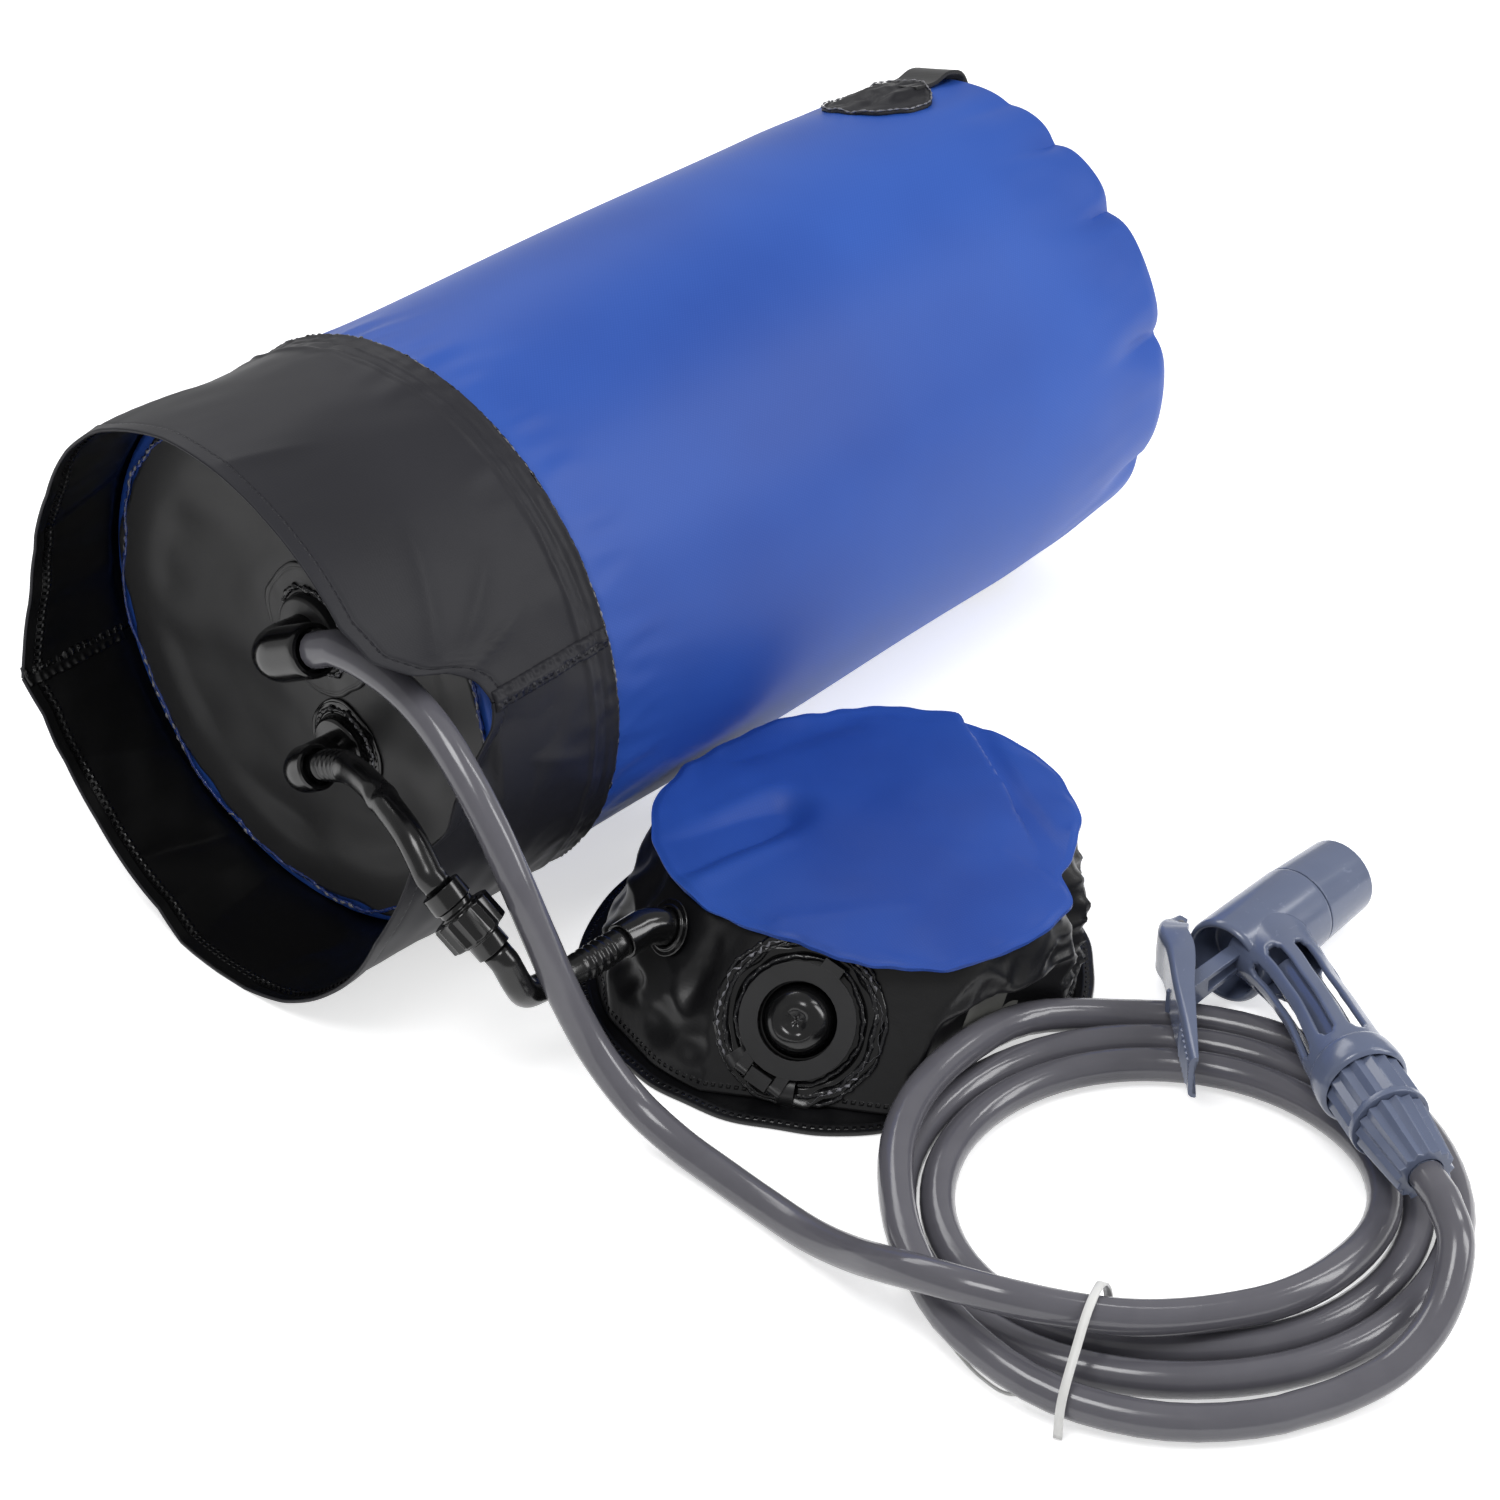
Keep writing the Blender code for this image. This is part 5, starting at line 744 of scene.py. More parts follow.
def makeFarDisc():
    # The disc spans from the neck's hole to the wall, bellies out a little, then turns up along the wall to the rim.
    angle = turnAngles(farDisc["around"])
    face = bagLength - bag["discInset"] + bag["wall"]
    seat, lip = farDisc["seat"], farDisc["lip"]
    holeY = farDisc["holeOffset"] * math.cos(farDisc["holeAngle"])
    holeZ = axisZ + farDisc["holeOffset"] * math.sin(farDisc["holeAngle"])
    wallRing = bagRing(face + 0.004, angle, seat + lip)
    around = np.arctan2(wallRing[:, 2] - holeZ, wallRing[:, 1] - holeY)
    holeRing = np.stack([np.full_like(angle, rimX + face), holeY + farDisc["holeRadius"] * np.cos(around),
                         holeZ + farDisc["holeRadius"] * np.sin(around)], -1)
    rows = []
    for share in np.linspace(0, 1, 44):
        ring = holeRing * (1 - share) + wallRing * share
        belly = farDisc["belly"] * math.sin(math.pi * min(1.0, share * 1.05)) ** 0.8
        spoke = np.arctan2(ring[:, 2] - axisZ, ring[:, 1])
        pucker = farDisc["pucker"] * np.sin(farDisc["puckers"] * spoke + 2.2 * np.sin(3 * spoke)) \
            * softStep(share, 0.6, 0.95) * (1 - softStep(share, 0.96, 1))
        lumps = 0.0006 * softNoise(ring[:, 1:], 0.045, 31) * math.sin(math.pi * share)
        ring[:, 0] = rimX + face + belly * (1 - softStep(share, 0.93, 1.0)) + pucker \
            + farDisc["turnUp"] * softStep(share, 0.94, 1.0) + lumps
        rows.append(ring)
    for x in np.linspace(face + 0.0055, bagLength - 0.0006, 7):
        rows.append(bagRing(x, angle, seat + lip - 0.0002))
    rows.append(bagRing(bagLength, angle, seat + lip * 0.5))
    for x in np.linspace(bagLength - 0.0006, face + 0.001, 5):
        rows.append(bagRing(x, angle, seat + 0.0002))
    for share in (0.9, 0.4, 0.0):
        ring = holeRing * (1 - share) + wallRing * share
        ring[:, 0] = rimX + face - 0.0016
        rows.append(ring)
    grid = np.stack(rows)
    reach = pathReach(grid[:, 10])
    arc = np.arange(farDisc["around"] + 1) * tau * bag["radius"] / farDisc["around"]
    places = gridPlaces(np.append(reach, reach[-1]), arc, swapped=True)
    piece = makeSurface("farDisc", grid, places=places, sharp=55, **closedRing)
    settle(piece, finishes["bag"], "bag", ("top_disc", "top_disc_lip"))


makeBag()
makeFarDisc()
print("bag lofted")


def ringBead(name, matrix, radius, look, material, seed, sides=320):
    # Irregular squeezed-out bead of melt along a ring: its radius and thickness wander, and dashes pinch it.
    angle = turnAngles(sides)
    laid = radius(angle) if callable(radius) else np.full(sides, radius)
    arc = unitRing(angle) * laid.mean()
    reach = laid + look["wobble"] * (softNoise(arc, 0.012, seed) + 0.6 * softNoise(arc, 0.004, seed + 1))
    thick = look["size"] * (1 + look.get("crumb", 0.45) * softNoise(arc, 0.0040, seed + 2))
    if look.get("pitch"):
        beat = softStep(np.sin(angle * round(tau * laid.mean() / look["pitch"])), -0.3, 0.5)
        runs = softStep(softNoise(arc, 0.05, seed + 3), look["gaps"], 0.2)
        thick = np.maximum(thick * (0.12 + 0.88 * beat) * runs, 0.00005)
    turn = turnAngles(8)
    across = reach[:, None] + thick[:, None] * np.cos(turn)[None]
    height = look["lean"] + thick[:, None] * 0.8 * np.sin(turn)[None]
    points = place(matrix, np.stack([across * np.cos(angle)[:, None], across * np.sin(angle)[:, None], height], -1))
    points[..., 2] = np.maximum(points[..., 2], 0.0)
    settle(makeSurface(name, points, **closedRing), material)


# Skirt
skirt = {
    "outer": 0.1217, "wall": 0.0014, "notch": 0.047, "hem": 0.0062, "hemRise": 0.0007,
    # How much of the notch is cut from the rim, by angle in degrees
    "shares": [(-15, -0.11), (5, 0.0), (60, 0.0), (110, -0.02), (138, -0.085), (146, 0.043), (152, 0.383),
               (154, 0.681), (158, 0.915), (163, 1.0), (167.7, 0.957), (170.8, 0.821), (178.8, 0.481), (184.6, 0.362),
               (186.5, 0.0), (195, -0.149), (205, -0.319), (270, -0.3), (330, -0.2), (345, -0.11)],
    # Where the free edge stands proud or falls in, and how far it is drawn back, by angle
    "facets": [(-15, 0.0016, 0.000), (-9, -0.0010, 0.001), (2, -0.0052, 0.002), (16, -0.0068, 0.003),
               (34, -0.0060, 0.002), (50, -0.0010, 0.001), (64, 0.0020, 0.000), (84, 0.0022, 0.001),
               (112, -0.0006, 0.000), (140, 0.0000, 0.000), (151, -0.0012, 0.000), (163, 0.0026, 0.000),
               (176, -0.0014, 0.000), (196, 0.0006, 0.000), (228, 0.0004, 0.000), (246, 0.0010, 0.000),
               (266, -0.0020, 0.000), (274, 0.0004, 0.001), (288, -0.0056, 0.004), (300, -0.0052, 0.005),
               (312, -0.0070, 0.005), (326, -0.0062, 0.005), (337, -0.0044, 0.003), (345, 0.0016, 0.000)],
    # Creases from the notch, as (angle, distance) ends, height and width in metres
    "creases": [((156, 0.040), (150, 0.080), 0.0022, 0.0032), ((155, 0.036), (138, 0.075), 0.0016, 0.0042),
                ((152, 0.030), (124, 0.050), 0.0013, 0.0050), ((176, 0.050), (186, 0.098), 0.0014, 0.0045),
                ((98, 0.004), (104, 0.045), 0.0012, 0.0050), ((60, 0.004), (66, 0.060), 0.0012, 0.0060),
                ((300, -0.002), (294, 0.060), 0.0018, 0.0050), ((326, -0.002), (316, 0.055), 0.0016, 0.0055),
                ((274, -0.008), (282, 0.050), 0.0016, 0.0045), ((20, 0.002), (28, 0.060), 0.0014, 0.0060)],
    # Stations inwards from the rim that draw its hem, and across the weld band
    "hemStations": [0.0, 0.0006, 0.0014, 0.0030, 0.0046, 0.0058, 0.0064, 0.0072, 0.0082, 0.0100],
    "bandStations": [0.1116, 0.1121, 0.1126, 0.1130],
    # Welded seam: places across it and its height there
    "seamAcross": [-0.0046, -0.0040, -0.0030, -0.0020, -0.0008, 0.0, 0.0008, 0.0020, 0.0030, 0.0040, 0.0046],
    "seamHeight": [-0.0004, 0.0007, 0.0010, 0.0009, 0.0014, 0.0018, 0.0014, 0.0009, 0.0010, 0.0007, -0.0004],
}


def rimCut(degrees):
    # How far the rim is cut back at an angle: the table with its corners rounded, but not at its two ends.
    table = np.array(skirt["shares"])
    fine = np.linspace(-15, 345, 1441)
    smooth = blurTable(table, fine, 13, "edge")
    ends = np.r_[0:6, -6:0]
    smooth[ends] = np.interp(fine[ends], table[:, 0], table[:, 1])
    return skirt["notch"] * np.interp(np.asarray(degrees, float), fine, smooth)


def creaseRise(degrees, x):
    # Each crease is a rounded ridge along a line on the rolled-out skirt: height * exp(-|across / width|^1.2).
    arc = np.radians(degrees) * skirt["outer"]
    total = 0.0
    for (startAngle, startX), (endAngle, endX), height, width in skirt["creases"]:
        start = np.array([math.radians(startAngle) * skirt["outer"], startX])
        way = np.array([math.radians(endAngle) * skirt["outer"], endX]) - start
        length = np.linalg.norm(way)
        way = way / length
        along = (arc - start[0]) * way[0] + (x - start[1]) * way[1]
        across = (arc - start[0]) * way[1] - (x - start[1]) * way[0]
        fade = softStep(along, -0.006, 0.006) * (1 - softStep(along, length - 0.02, length + 0.006))
        total = total + height * fade * np.exp(-np.abs(across / width) ** 1.2)
    return total


def skirtSkin(degrees, x, seed):
    # Outer face: weld radius + hem + weld band + facets that fade towards the band + slow buckles + creases.
    rim = rimCut(degrees)
    table = np.array(skirt["facets"])
    free = 1 - softStep(x, rim, 0.094)
    proud = np.interp(degrees, table[:, 0], table[:, 1]) * free
    drawn = np.interp(degrees, table[:, 0], table[:, 2]) * free
    angle = np.radians(degrees)
    inward = x - rim
    spots = np.stack([x, skirt["outer"] * np.cos(angle), skirt["outer"] * np.sin(angle)], -1)
    arcSpots = np.stack([x * 0.6, angle * skirt["outer"]], -1)
    hem = skirt["hemRise"] * (1 - softStep(inward, skirt["hem"], skirt["hem"] + 0.0012)) \
        - 0.0004 * (1 - softStep(inward, 0.0, 0.0008)) - 0.0004 * bump(inward, skirt["hem"] + 0.0010, 0.0006)
    bandStart = 0.0990 + 0.0012 * np.sin(angle * 3 + seed)
    ridge = 0.0010 * bump(x, bandStart, 0.0014) + 0.0003 * softStep(x, bandStart, bandStart + 0.003)
    edge = 0.0008 * bump(x, 0.1122, 0.0010) - 0.0009 * bump(x, 0.1062, 0.0012)
    lumps = 0.0003 * softNoise(arcSpots, 0.010, seed + 2) * softStep(x, 0.096, 0.103)
    puckers = 0.0004 * softNoise(arcSpots * np.array([0.4, 1]), 0.013, seed + 3) * bump(x, 0.094, 0.010)
    calm = 1 - 0.6 * softStep(degrees, 40, 70) * (1 - softStep(degrees, 150, 175))
    buckle = calm * (0.0011 * softNoise(spots, 0.080, seed + 4) + 0.0006 * softNoise(spots, 0.030, seed + 5)) \
        * (1 - softStep(x, 0.080, 0.098)) * softStep(inward, -0.002, 0.012)
    radius = skirt["outer"] + proud + hem + ridge + edge + lumps + puckers + buckle + creaseRise(degrees, x)
    clear = (skirt["outer"] - 0.0004) * softStep(x, 0.034, 0.0475)        # keeps the wall outside the bag
    return x + drawn, np.maximum(radius, clear)


def makeSkirtPanel(name, node, first, last, seed):
    # One panel between two seams: stations through the hem, an even stretch, then the weld band.
    degrees = np.concatenate([np.arange(first + 0.14, last - 0.14, 0.8), [last - 0.14]])
    rim = rimCut(degrees)
    hem = np.array(skirt["hemStations"])
    start = (rim + hem[-1])[:, None]
    middle = start + (0.0950 - start) * np.linspace(0, 1, 43)[None, 1:]
    band = np.concatenate([np.arange(0.0962, 0.1114, 0.0009), skirt["bandStations"]])
    x = np.hstack([rim[:, None] + hem[None], middle, np.repeat(band[None], len(degrees), axis=0)])
    around = np.repeat(degrees[:, None], x.shape[1], axis=1)
    angle = np.radians(around)
    along, radius = skirtSkin(around, x, seed)
    z = np.maximum(axisZ + radius * np.sin(angle), 0.0)
    grid = np.stack([rimX + along, radius * np.cos(angle), z], -1)
    places = np.stack([angle * skirt["outer"], x - rim[:, None]], -1)
    piece = makeSurface(name, grid, places=places)
    settle(piece, finishes["skirt"], "bag", (node,), skirt["wall"], finishes["lining"])


def makeSeam(name, degrees, inside, last, seed):
    # Welded lap along the skirt: a raised strip with small cross-teeth, following the wall that it lies on.
    x = np.arange(float(rimCut(degrees)) + 0.001, last, 0.0007)
    station, across = np.meshgrid(x, np.array(skirt["seamAcross"]), indexing="ij")
    teeth = 0.0009 * softStep(np.sin(tau * station / 0.0040), -0.2, 0.8) * bump(np.abs(across), 0.0028, 0.0012)
    rise = np.array(skirt["seamHeight"])[None] + teeth \
        + 0.0004 * softNoise(np.stack([station, across * 3], -1), 0.012, 41)
    rise[:, [0, -1]] = skirt["seamHeight"][0]
    around = degrees + np.degrees(across / skirt["outer"])
    along, radius = skirtSkin(np.clip(around, -15, 345), station, seed)
    radius = radius - skirt["wall"] - rise if inside else radius + rise
    under = radius[:, ::-1] + (0.0012 + rise[:, ::-1] if inside else -0.0010 - rise[:, ::-1])
    angle = np.radians(around)
    top = np.stack([rimX + along, radius * np.cos(angle), axisZ + radius * np.sin(angle)], -1)
    back = angle[:, ::-1]
    bottom = np.stack([rimX + along[:, ::-1], under * np.cos(back), axisZ + under * np.sin(back)], -1)
    grid = np.concatenate([top, bottom], axis=1)
    places = gridPlaces(x, np.arange(grid.shape[1] + 1) * 0.001)
    piece = makeSurface(name, grid, places=places, **closedTube)
    settle(piece, finishes["lining"] if inside else finishes["skirt"])


makeSkirtPanel("skirtUpper", "skirt_upper", -15, 163, 1)
makeSkirtPanel("skirtLower", "skirt_lower", 163, 345, 6)
makeSeam("frontSeam", 163, False, 0.1115, 1)
makeSeam("backSeamInside", 345, True, 0.0485, 6)
makeSeam("frontSeamInside", 163, True, 0.0495, 1)
weldFrame = frameAt((rimX + 0.1127, 0, axisZ), (-1, 0, 0))
ringBead("skirtEdgeBead", weldFrame, 0.1220, {"wobble": 0.0002, "size": 0.0007, "lean": 0.0}, finishes["weld"],
         44, 700)
# Pale dashes on the edge bead, at the welding wheel's pitch, painted as glints: painted highlights.
ringBead("skirtEdgeDashes", weldFrame, 0.1226, {"wobble": 0.0002, "size": 0.0004, "lean": 0.0002, "pitch": 0.0042,
         "gaps": -0.2}, finishes["weldGlint"], 47, 1100)
print("skirt welded")


# Base disc, patches and elbows
base = {"face": 0.0522, "edgeFace": 0.0486, "edge": 0.1118, "wall": 0.0012, "standoff": 0.0275, "dents": [
    (-0.045, 0.165, 0.0026, 0.020), (0.030, 0.190, 0.0022, 0.016), (0.040, 0.080, 0.0020, 0.024),
    (-0.050, 0.055, 0.0022, 0.018), (0.012, 0.030, 0.0018, 0.016), (-0.070, 0.110, 0.0016, 0.014)]}
fittings = {
    "outlet": {"y": -0.010, "z": 0.140, "patch": 0.0302, "boss": 0.017, "rise": 28, "reach": 0.035, "bend": 0.013,
               "radius": 0.0108, "root": 0.0098, "finish": "matteRubber",
               "nodes": ("outlet_elbow", "outlet_hose_clip")},
    "inlet": {"y": -0.024, "z": 0.0898, "patch": 0.0208, "boss": 0.0145, "rise": 33, "reach": 0.0165, "bend": 0.0105,
              "radius": 0.0090, "root": 0.0085, "finish": "rubber", "nodes": ("inlet_elbow",)},
}


def discEdge(angle):
    # The disc is cut by hand, so its edge wanders by a millimetre or two.
    ring = unitRing(angle) * base["edge"]
    return base["edge"] + 0.0018 * softNoise(ring, 0.055, 55) + 0.0006 * softNoise(ring, 0.016, 56)


def makeBaseDisc():
    # Flat coated sheet with shallow dents, kept level under the two patches, its edge lapped over the shoulder.
    shares = np.concatenate([[0.014], np.linspace(0.045, 0.985, 60), [1.0]])
    share, angle = np.meshgrid(shares, turnAngles(200), indexing="ij")
    radius = share * discEdge(angle)
    y, z = radius * np.cos(angle), axisZ + radius * np.sin(angle)
    dent = np.zeros_like(radius)
    for dentY, dentZ, depth, width in base["dents"]:
        dent += depth * np.exp(-((y - dentY) ** 2 + (z - dentZ) ** 2) / width**2)
    dent += 0.0009 * (1 + softNoise(np.stack([y, z], -1), 0.05, 51)) * softStep(radius, 0.02, 0.05)
    dent += 0.0006 * (0.5 + 0.5 * np.sin(13 * angle + 2 * np.sin(2 * angle))) * bump(radius, 0.084, 0.010)
    for item in fittings.values():
        away = np.hypot(y - item["y"], z - item["z"])
        dent *= softStep(away, item["patch"] * 0.98, item["patch"] + 0.012)
    dent *= 1 - softStep(radius, 0.084, 0.097)
    lap = (base["face"] - base["edgeFace"]) * softStep(radius, 0.057, 0.103)
    front = np.stack([rimX + base["face"] + dent - lap, y, z], -1)
    back = front[::-1].copy()
    back[..., 0] += base["wall"]
    places = bothFaces(np.stack([radius * np.cos(angle), radius * np.sin(angle)], -1))
    piece = makeSurface("baseDisc", np.concatenate([front, back]), places=places, **closedTube)
    settle(piece, finishes["disc"], "bag", ("base_disc",))


def makePatch(kind, matrix):
    # Round welded patch: a turned profile with a raised edge, its outer part wandering a little.
    item = fittings[kind]
    patch, boss = item["patch"], item["boss"]
    profile = [(boss * 0.5, 0.0), (patch, 0.0), (patch, 0.0007), (patch * 0.955, 0.0012), (patch * 0.93, 0.0007),
               (patch * 0.90, 0.0010), (boss + 0.0022, 0.0010), (boss + 0.0009, 0.0019), (boss, 0.0012),
               (boss, 0.0050), (boss - 0.0012, 0.0062), (boss * 0.5, 0.0062)]

    def wander(angle, radius, height):
        ring = unitRing(angle) * radius[..., None]
        outer = softStep(radius, boss + 0.003, patch)
        return (radius + 0.0007 * softNoise(ring, 0.02, 61) * outer,
                height + 0.00012 * softNoise(ring, 0.006, 62) * outer)

    grid = turnedGrid(roundedProfile(profile, 0.0004, 2), 112, matrix, wander)
    piece = makeSurface(kind + "Patch", grid, sharp=45, **closedRing)
    settle(piece, finishes[item["finish"]], "bag", (kind + "_flange",))
    ringBead(kind + "WeldBead", matrix, boss + 0.0022, {"wobble": 0.0007, "size": 0.0012, "lean": 0.0014},
             finishes["weld"], 71, 220)
    # Pale dashes round the boss, painted as glints: painted highlights.
    ringBead(kind + "WeldGlints", matrix, boss + 0.0030, {"wobble": 0.0009, "size": 0.0006, "lean": 0.0022,
             "pitch": 0.0035, "gaps": -0.3}, finishes["weldGlint"], 75, 260)


def makeElbow(kind, origin):
    # Tube that leaves the patch, turns a right angle and ends in a hollow lip.
    item = fittings[kind]
    start = np.array(origin)
    out = np.array([-1.0, 0, 0])
    rise = math.radians(item["rise"])
    away = np.array([0, -math.cos(rise), math.sin(rise)])
    bend, standoff = item["bend"], base["standoff"]
    turns = np.linspace(0, math.pi / 2, 15)
    corner = start + out * (standoff - bend) + out * bend * np.sin(turns)[:, None] \
        + away * bend * (1 - np.cos(turns))[:, None]
    root = start + out * np.linspace(0.0005, standoff - bend - 0.0005, 7)[:, None]
    end = start + out * standoff + away * item["reach"]
    lead = corner[-1] + (end - corner[-1]) * np.array([0.2, 0.4, 0.6, 0.72, 0.74, 0.8, 0.9, 0.97, 1.0])[:, None]
    path = np.vstack([root, corner, lead])
    reach = pathReach(path)
    total = reach[-1]
    radii = item["root"] + (item["radius"] - item["root"]) * softStep(reach, 0.006, standoff - bend + 0.006) \
        + 0.0007 * softStep(reach, total * 0.5, total * 0.62) - 0.0006 * softStep(reach, total - 0.0010, total)
    grid = sweepGrid(path, roundSections(radii, 40), np.cross(out, away))
    lip = grid[-1:] * 0.86 + grid[-1:].mean(axis=1, keepdims=True) * 0.14
    grid = np.concatenate([grid, lip, lip - away * 0.0035])
    piece = makeSurface(kind + "Elbow", grid, sharp=38, **closedTube)
    settle(piece, finishes["rubber"], "bag", item["nodes"])


makeBaseDisc()
discFrame = frameAt((rimX + base["edgeFace"], 0, axisZ), (-1, 0, 0), (0, 1, 0))
# Edge bead flecked with blue as glints, then pale dashes as glints: both painted highlights.
ringBead("discWeldBead", discFrame, discEdge, {"wobble": 0.0003, "size": 0.0008, "lean": 0.0}, finishes["blueGlintWeld"],
         81, 520)
ringBead("discWeldGlints", discFrame, discEdge, {"wobble": 0.0006, "size": 0.0006, "lean": 0.0006, "pitch": 0.0052,
         "gaps": -0.5}, finishes["weldGlint"], 85, 900)
for fittingName, fitting in fittings.items():
    fittingSpot = (rimX + 0.052, fitting["y"], fitting["z"])
    makePatch(fittingName, frameAt(fittingSpot, (-1, 0, 0)))
    makeElbow(fittingName, fittingSpot)
print("base disc and fittings placed")


# Black air hoses
airHoses = {
    "radius": 0.006, "run": 0.006,
    "inlet": {"start": (-0.2190, -0.0378, 0.0988), "startWay": (0, -0.8387, 0.5446),
              "end": (-0.2470, -0.1385, 0.1025), "endWay": (-0.2171, 0.6824, 0.6979),
              "route": [(0.0225, -0.0560, 0.1085), (0.0135, -0.0800, 0.1165), (0.0040, -0.1040, 0.1195),
                        (-0.0015, -0.1215, 0.1165)]},
    "pump": {"start": (-0.2400, -0.1605, 0.0800), "startWay": (0.2171, -0.6824, -0.6979),
             "end": (-0.1752, -0.1653, 0.0507), "endWay": (-1, 0, 0),
             "route": [(0.0078, -0.1680, 0.0650), (0.0125, -0.1668, 0.0575), (0.0230, -0.1640, 0.0520),
                       (0.0380, -0.1640, 0.0505), (0.0520, -0.1652, 0.0506)]},
}


def makeAirHose(name, key, node, side, kink=None):
    # Short hose, ribbed and a little wider over the fitting at its coupling end, flattened where it kinks.
    item = airHoses[key]
    start, startWay = np.array(item["start"]), np.array(item["startWay"])
    end, endWay = np.array(item["end"]), np.array(item["endWay"])
    run = airHoses["run"]
    body = smoothPath([start + startWay * run] + list(fromRim(item["route"])) + [end + endWay * run], 0.0008)
    path = np.vstack([start + startWay * 0.0003, start + startWay * 0.003, body,
                      end + endWay * 0.003, end + endWay * 0.0003])
    reach = pathReach(path)
    total = reach[-1]
    barb = total - reach if key == "pump" else reach
    ripple = 0.00035 * np.sin(tau * barb / 0.0038) * (1 - softStep(barb, 0.019, 0.026)) * softStep(barb, 0.0, 0.004)
    radii = airHoses["radius"] + ripple + 0.0005 * (1 - softStep(barb, 0.020, 0.032))
    squeeze = bump(reach / total, kink, 0.035) if kink else 0 * reach
    stretch = np.stack([1 + 0.10 * squeeze, 1 - 0.26 * squeeze], -1)
    grid = sweepGrid(path, roundSections(radii, 28, stretch), side)
    settle(makeSurface(name, grid, **closedTube), finishes["airHose"], "bag", (node,))


makeAirHose("inletAirHose", "inlet", "inlet_air_hose", (1.0, 0.15, 0.3), 0.56)
makeAirHose("pumpAirHose", "pump", "pump_air_hose", (0.0, 0.0, 1.0))
print("air hoses laid")


# Foot pump
pump = {
    "x": 0.163, "y": -0.197, "foot": 0.109, "wall": 0.102, "wallThickness": 0.0014, "height": 0.0575, "crown": 0.0055,
    "top": 0.096, "topShift": 0.021, "topThickness": 0.0016, "coilGap": 0.0015, "coilTop": 0.034,
    # Reach of the top sheet by azimuth, as a share of its radius
    "shares": [(-159, 0.84), (-140, 0.93), (-121, 1.0), (-92, 1.0), (-78, 0.98), (-67.5, 0.85), (-55, 0.88),
               (-42, 0.92), (0, 0.98), (43.7, 0.99), (70, 0.96), (90, 0.945), (119, 0.97), (150, 0.91), (167, 0.885),
               (185, 0.85), (201, 0.84)],
    # Section of the foot's welded rim: radius, height
    "footProfile": [(0.060, 0.0016), (0.095, 0.0016), (0.1030, 0.0016), (0.1036, 0.0021), (0.1050, 0.0024),
                    (0.1060, 0.0019), (0.1075, 0.0023), (0.1086, 0.0022), (0.1090, 0.0014), (0.1088, 0.0003),
                    (0.1080, 0.0), (0.060, 0.0)],
    # Dents and folds of the top sheet: two ends, half width, height, how square
    "topFolds": [((0.122, -0.152), (0.166, -0.163), 0.012, -0.0062, 2.4),
                 ((0.112, -0.214), (0.150, -0.246), 0.007, 0.0012, 2.0),
                 ((0.190, -0.118), (0.235, -0.135), 0.010, -0.0026, 1.8),
                 ((0.112, -0.168), (0.150, -0.178), 0.006, 0.0014, 2.0),
                 ((0.176, -0.150), (0.150, -0.143), 0.006, 0.0010, 2.0),
                 ((0.236, -0.236), (0.215, -0.262), 0.010, -0.0034, 1.6),
                 ((0.218, -0.285), (0.205, -0.250), 0.005, 0.0012, 1.5)],
    "step": ((0.2634, -0.1867), (0.2322, -0.2375)),
    # Filler's levels: share of the wall's height, distance inside the wall
    "foamLevels": [(0.0, 0.02), (0.06, 0.016), (0.3, 0.013), (0.6, 0.014), (0.8, 0.017), (0.86, 0.022)],
    "valve": {"spot": (0.0989, -0.2348, 0.0300), "azimuth": 211, "rise": 34, "calm": 0.040},
    "spigot": {"spot": (0.0935, -0.1680, 0.0450), "azimuth": 164, "rise": 30, "calm": 0.018},
}


def seat(key):
    # Middle of a fitting on the pump's wall and the way that it faces.
    item = pump[key]
    azimuth, rise = math.radians(item["azimuth"]), math.radians(item["rise"])
    facing = np.array([math.cos(rise) * math.cos(azimuth), math.cos(rise) * math.sin(azimuth), math.sin(rise)])
    return fromRim(item["spot"]), facing


def topReach(azimuth):
    # Radius of the top sheet's edge at an azimuth, from the table with its corners rounded.
    fine = np.linspace(-159, 201, 721)
    smooth = blurTable(np.array(pump["shares"]), fine, 15, "wrap")
    return pump["top"] * np.interp((np.degrees(azimuth) + 159) % 360 - 159, fine, smooth)


def clearOfCoil(points, depth=0.0):
    # Pushes low points outwards from the coil that leans on the pump.
    middle = fromRim([*hose["coilMiddle"], 0])
    away = points[..., :2] - middle[:2]
    length = np.linalg.norm(away, axis=-1)
    turn = ((np.degrees(np.arctan2(away[..., 1], away[..., 0])) - hose["coilStart"]) % 360) / 360
    loops = [readTable(hose["coil"], (turn + loop).ravel())[:, 0].reshape(turn.shape) for loop in range(3)]
    reach = np.max(loops, axis=0) + hose["radius"] + pump["coilGap"] + depth
    low = 1 - softStep(points[..., 2], pump["coilTop"] - 0.004, pump["coilTop"] + 0.004)
    out = points.copy()
    out[..., :2] += away / length[..., None] * (np.maximum(reach - length, 0) * low)[..., None]
    return out


def makePumpBase():
    # The foot's profile carried round, its outer part wandering a little.
    azimuth = turnAngles(240)
    wander = 0.0007 * softNoise(unitRing(azimuth) * 0.1, 0.03, 91)
    rows = []
    for radius, height in pump["footProfile"]:
        reach = radius + wander * (radius > 0.1)
        ring = np.stack([pump["x"] + reach * np.cos(azimuth), pump["y"] + reach * np.sin(azimuth),
                         np.full_like(azimuth, height)], -1)
        rows.append(clearOfCoil(fromRim(ring), pump["foot"] - radius))
    arc = np.arange(241) * tau * pump["foot"] / 240
    depth = [pump["foot"] - radius for radius, height in pump["footProfile"]]
    places = gridPlaces(depth, arc, swapped=True)
    piece = makeSurface("pumpBase", np.stack(rows), places=places, sharp=50, **closedTube)
    settle(piece, finishes["pumpWall"], "bag", ("pump_base",))


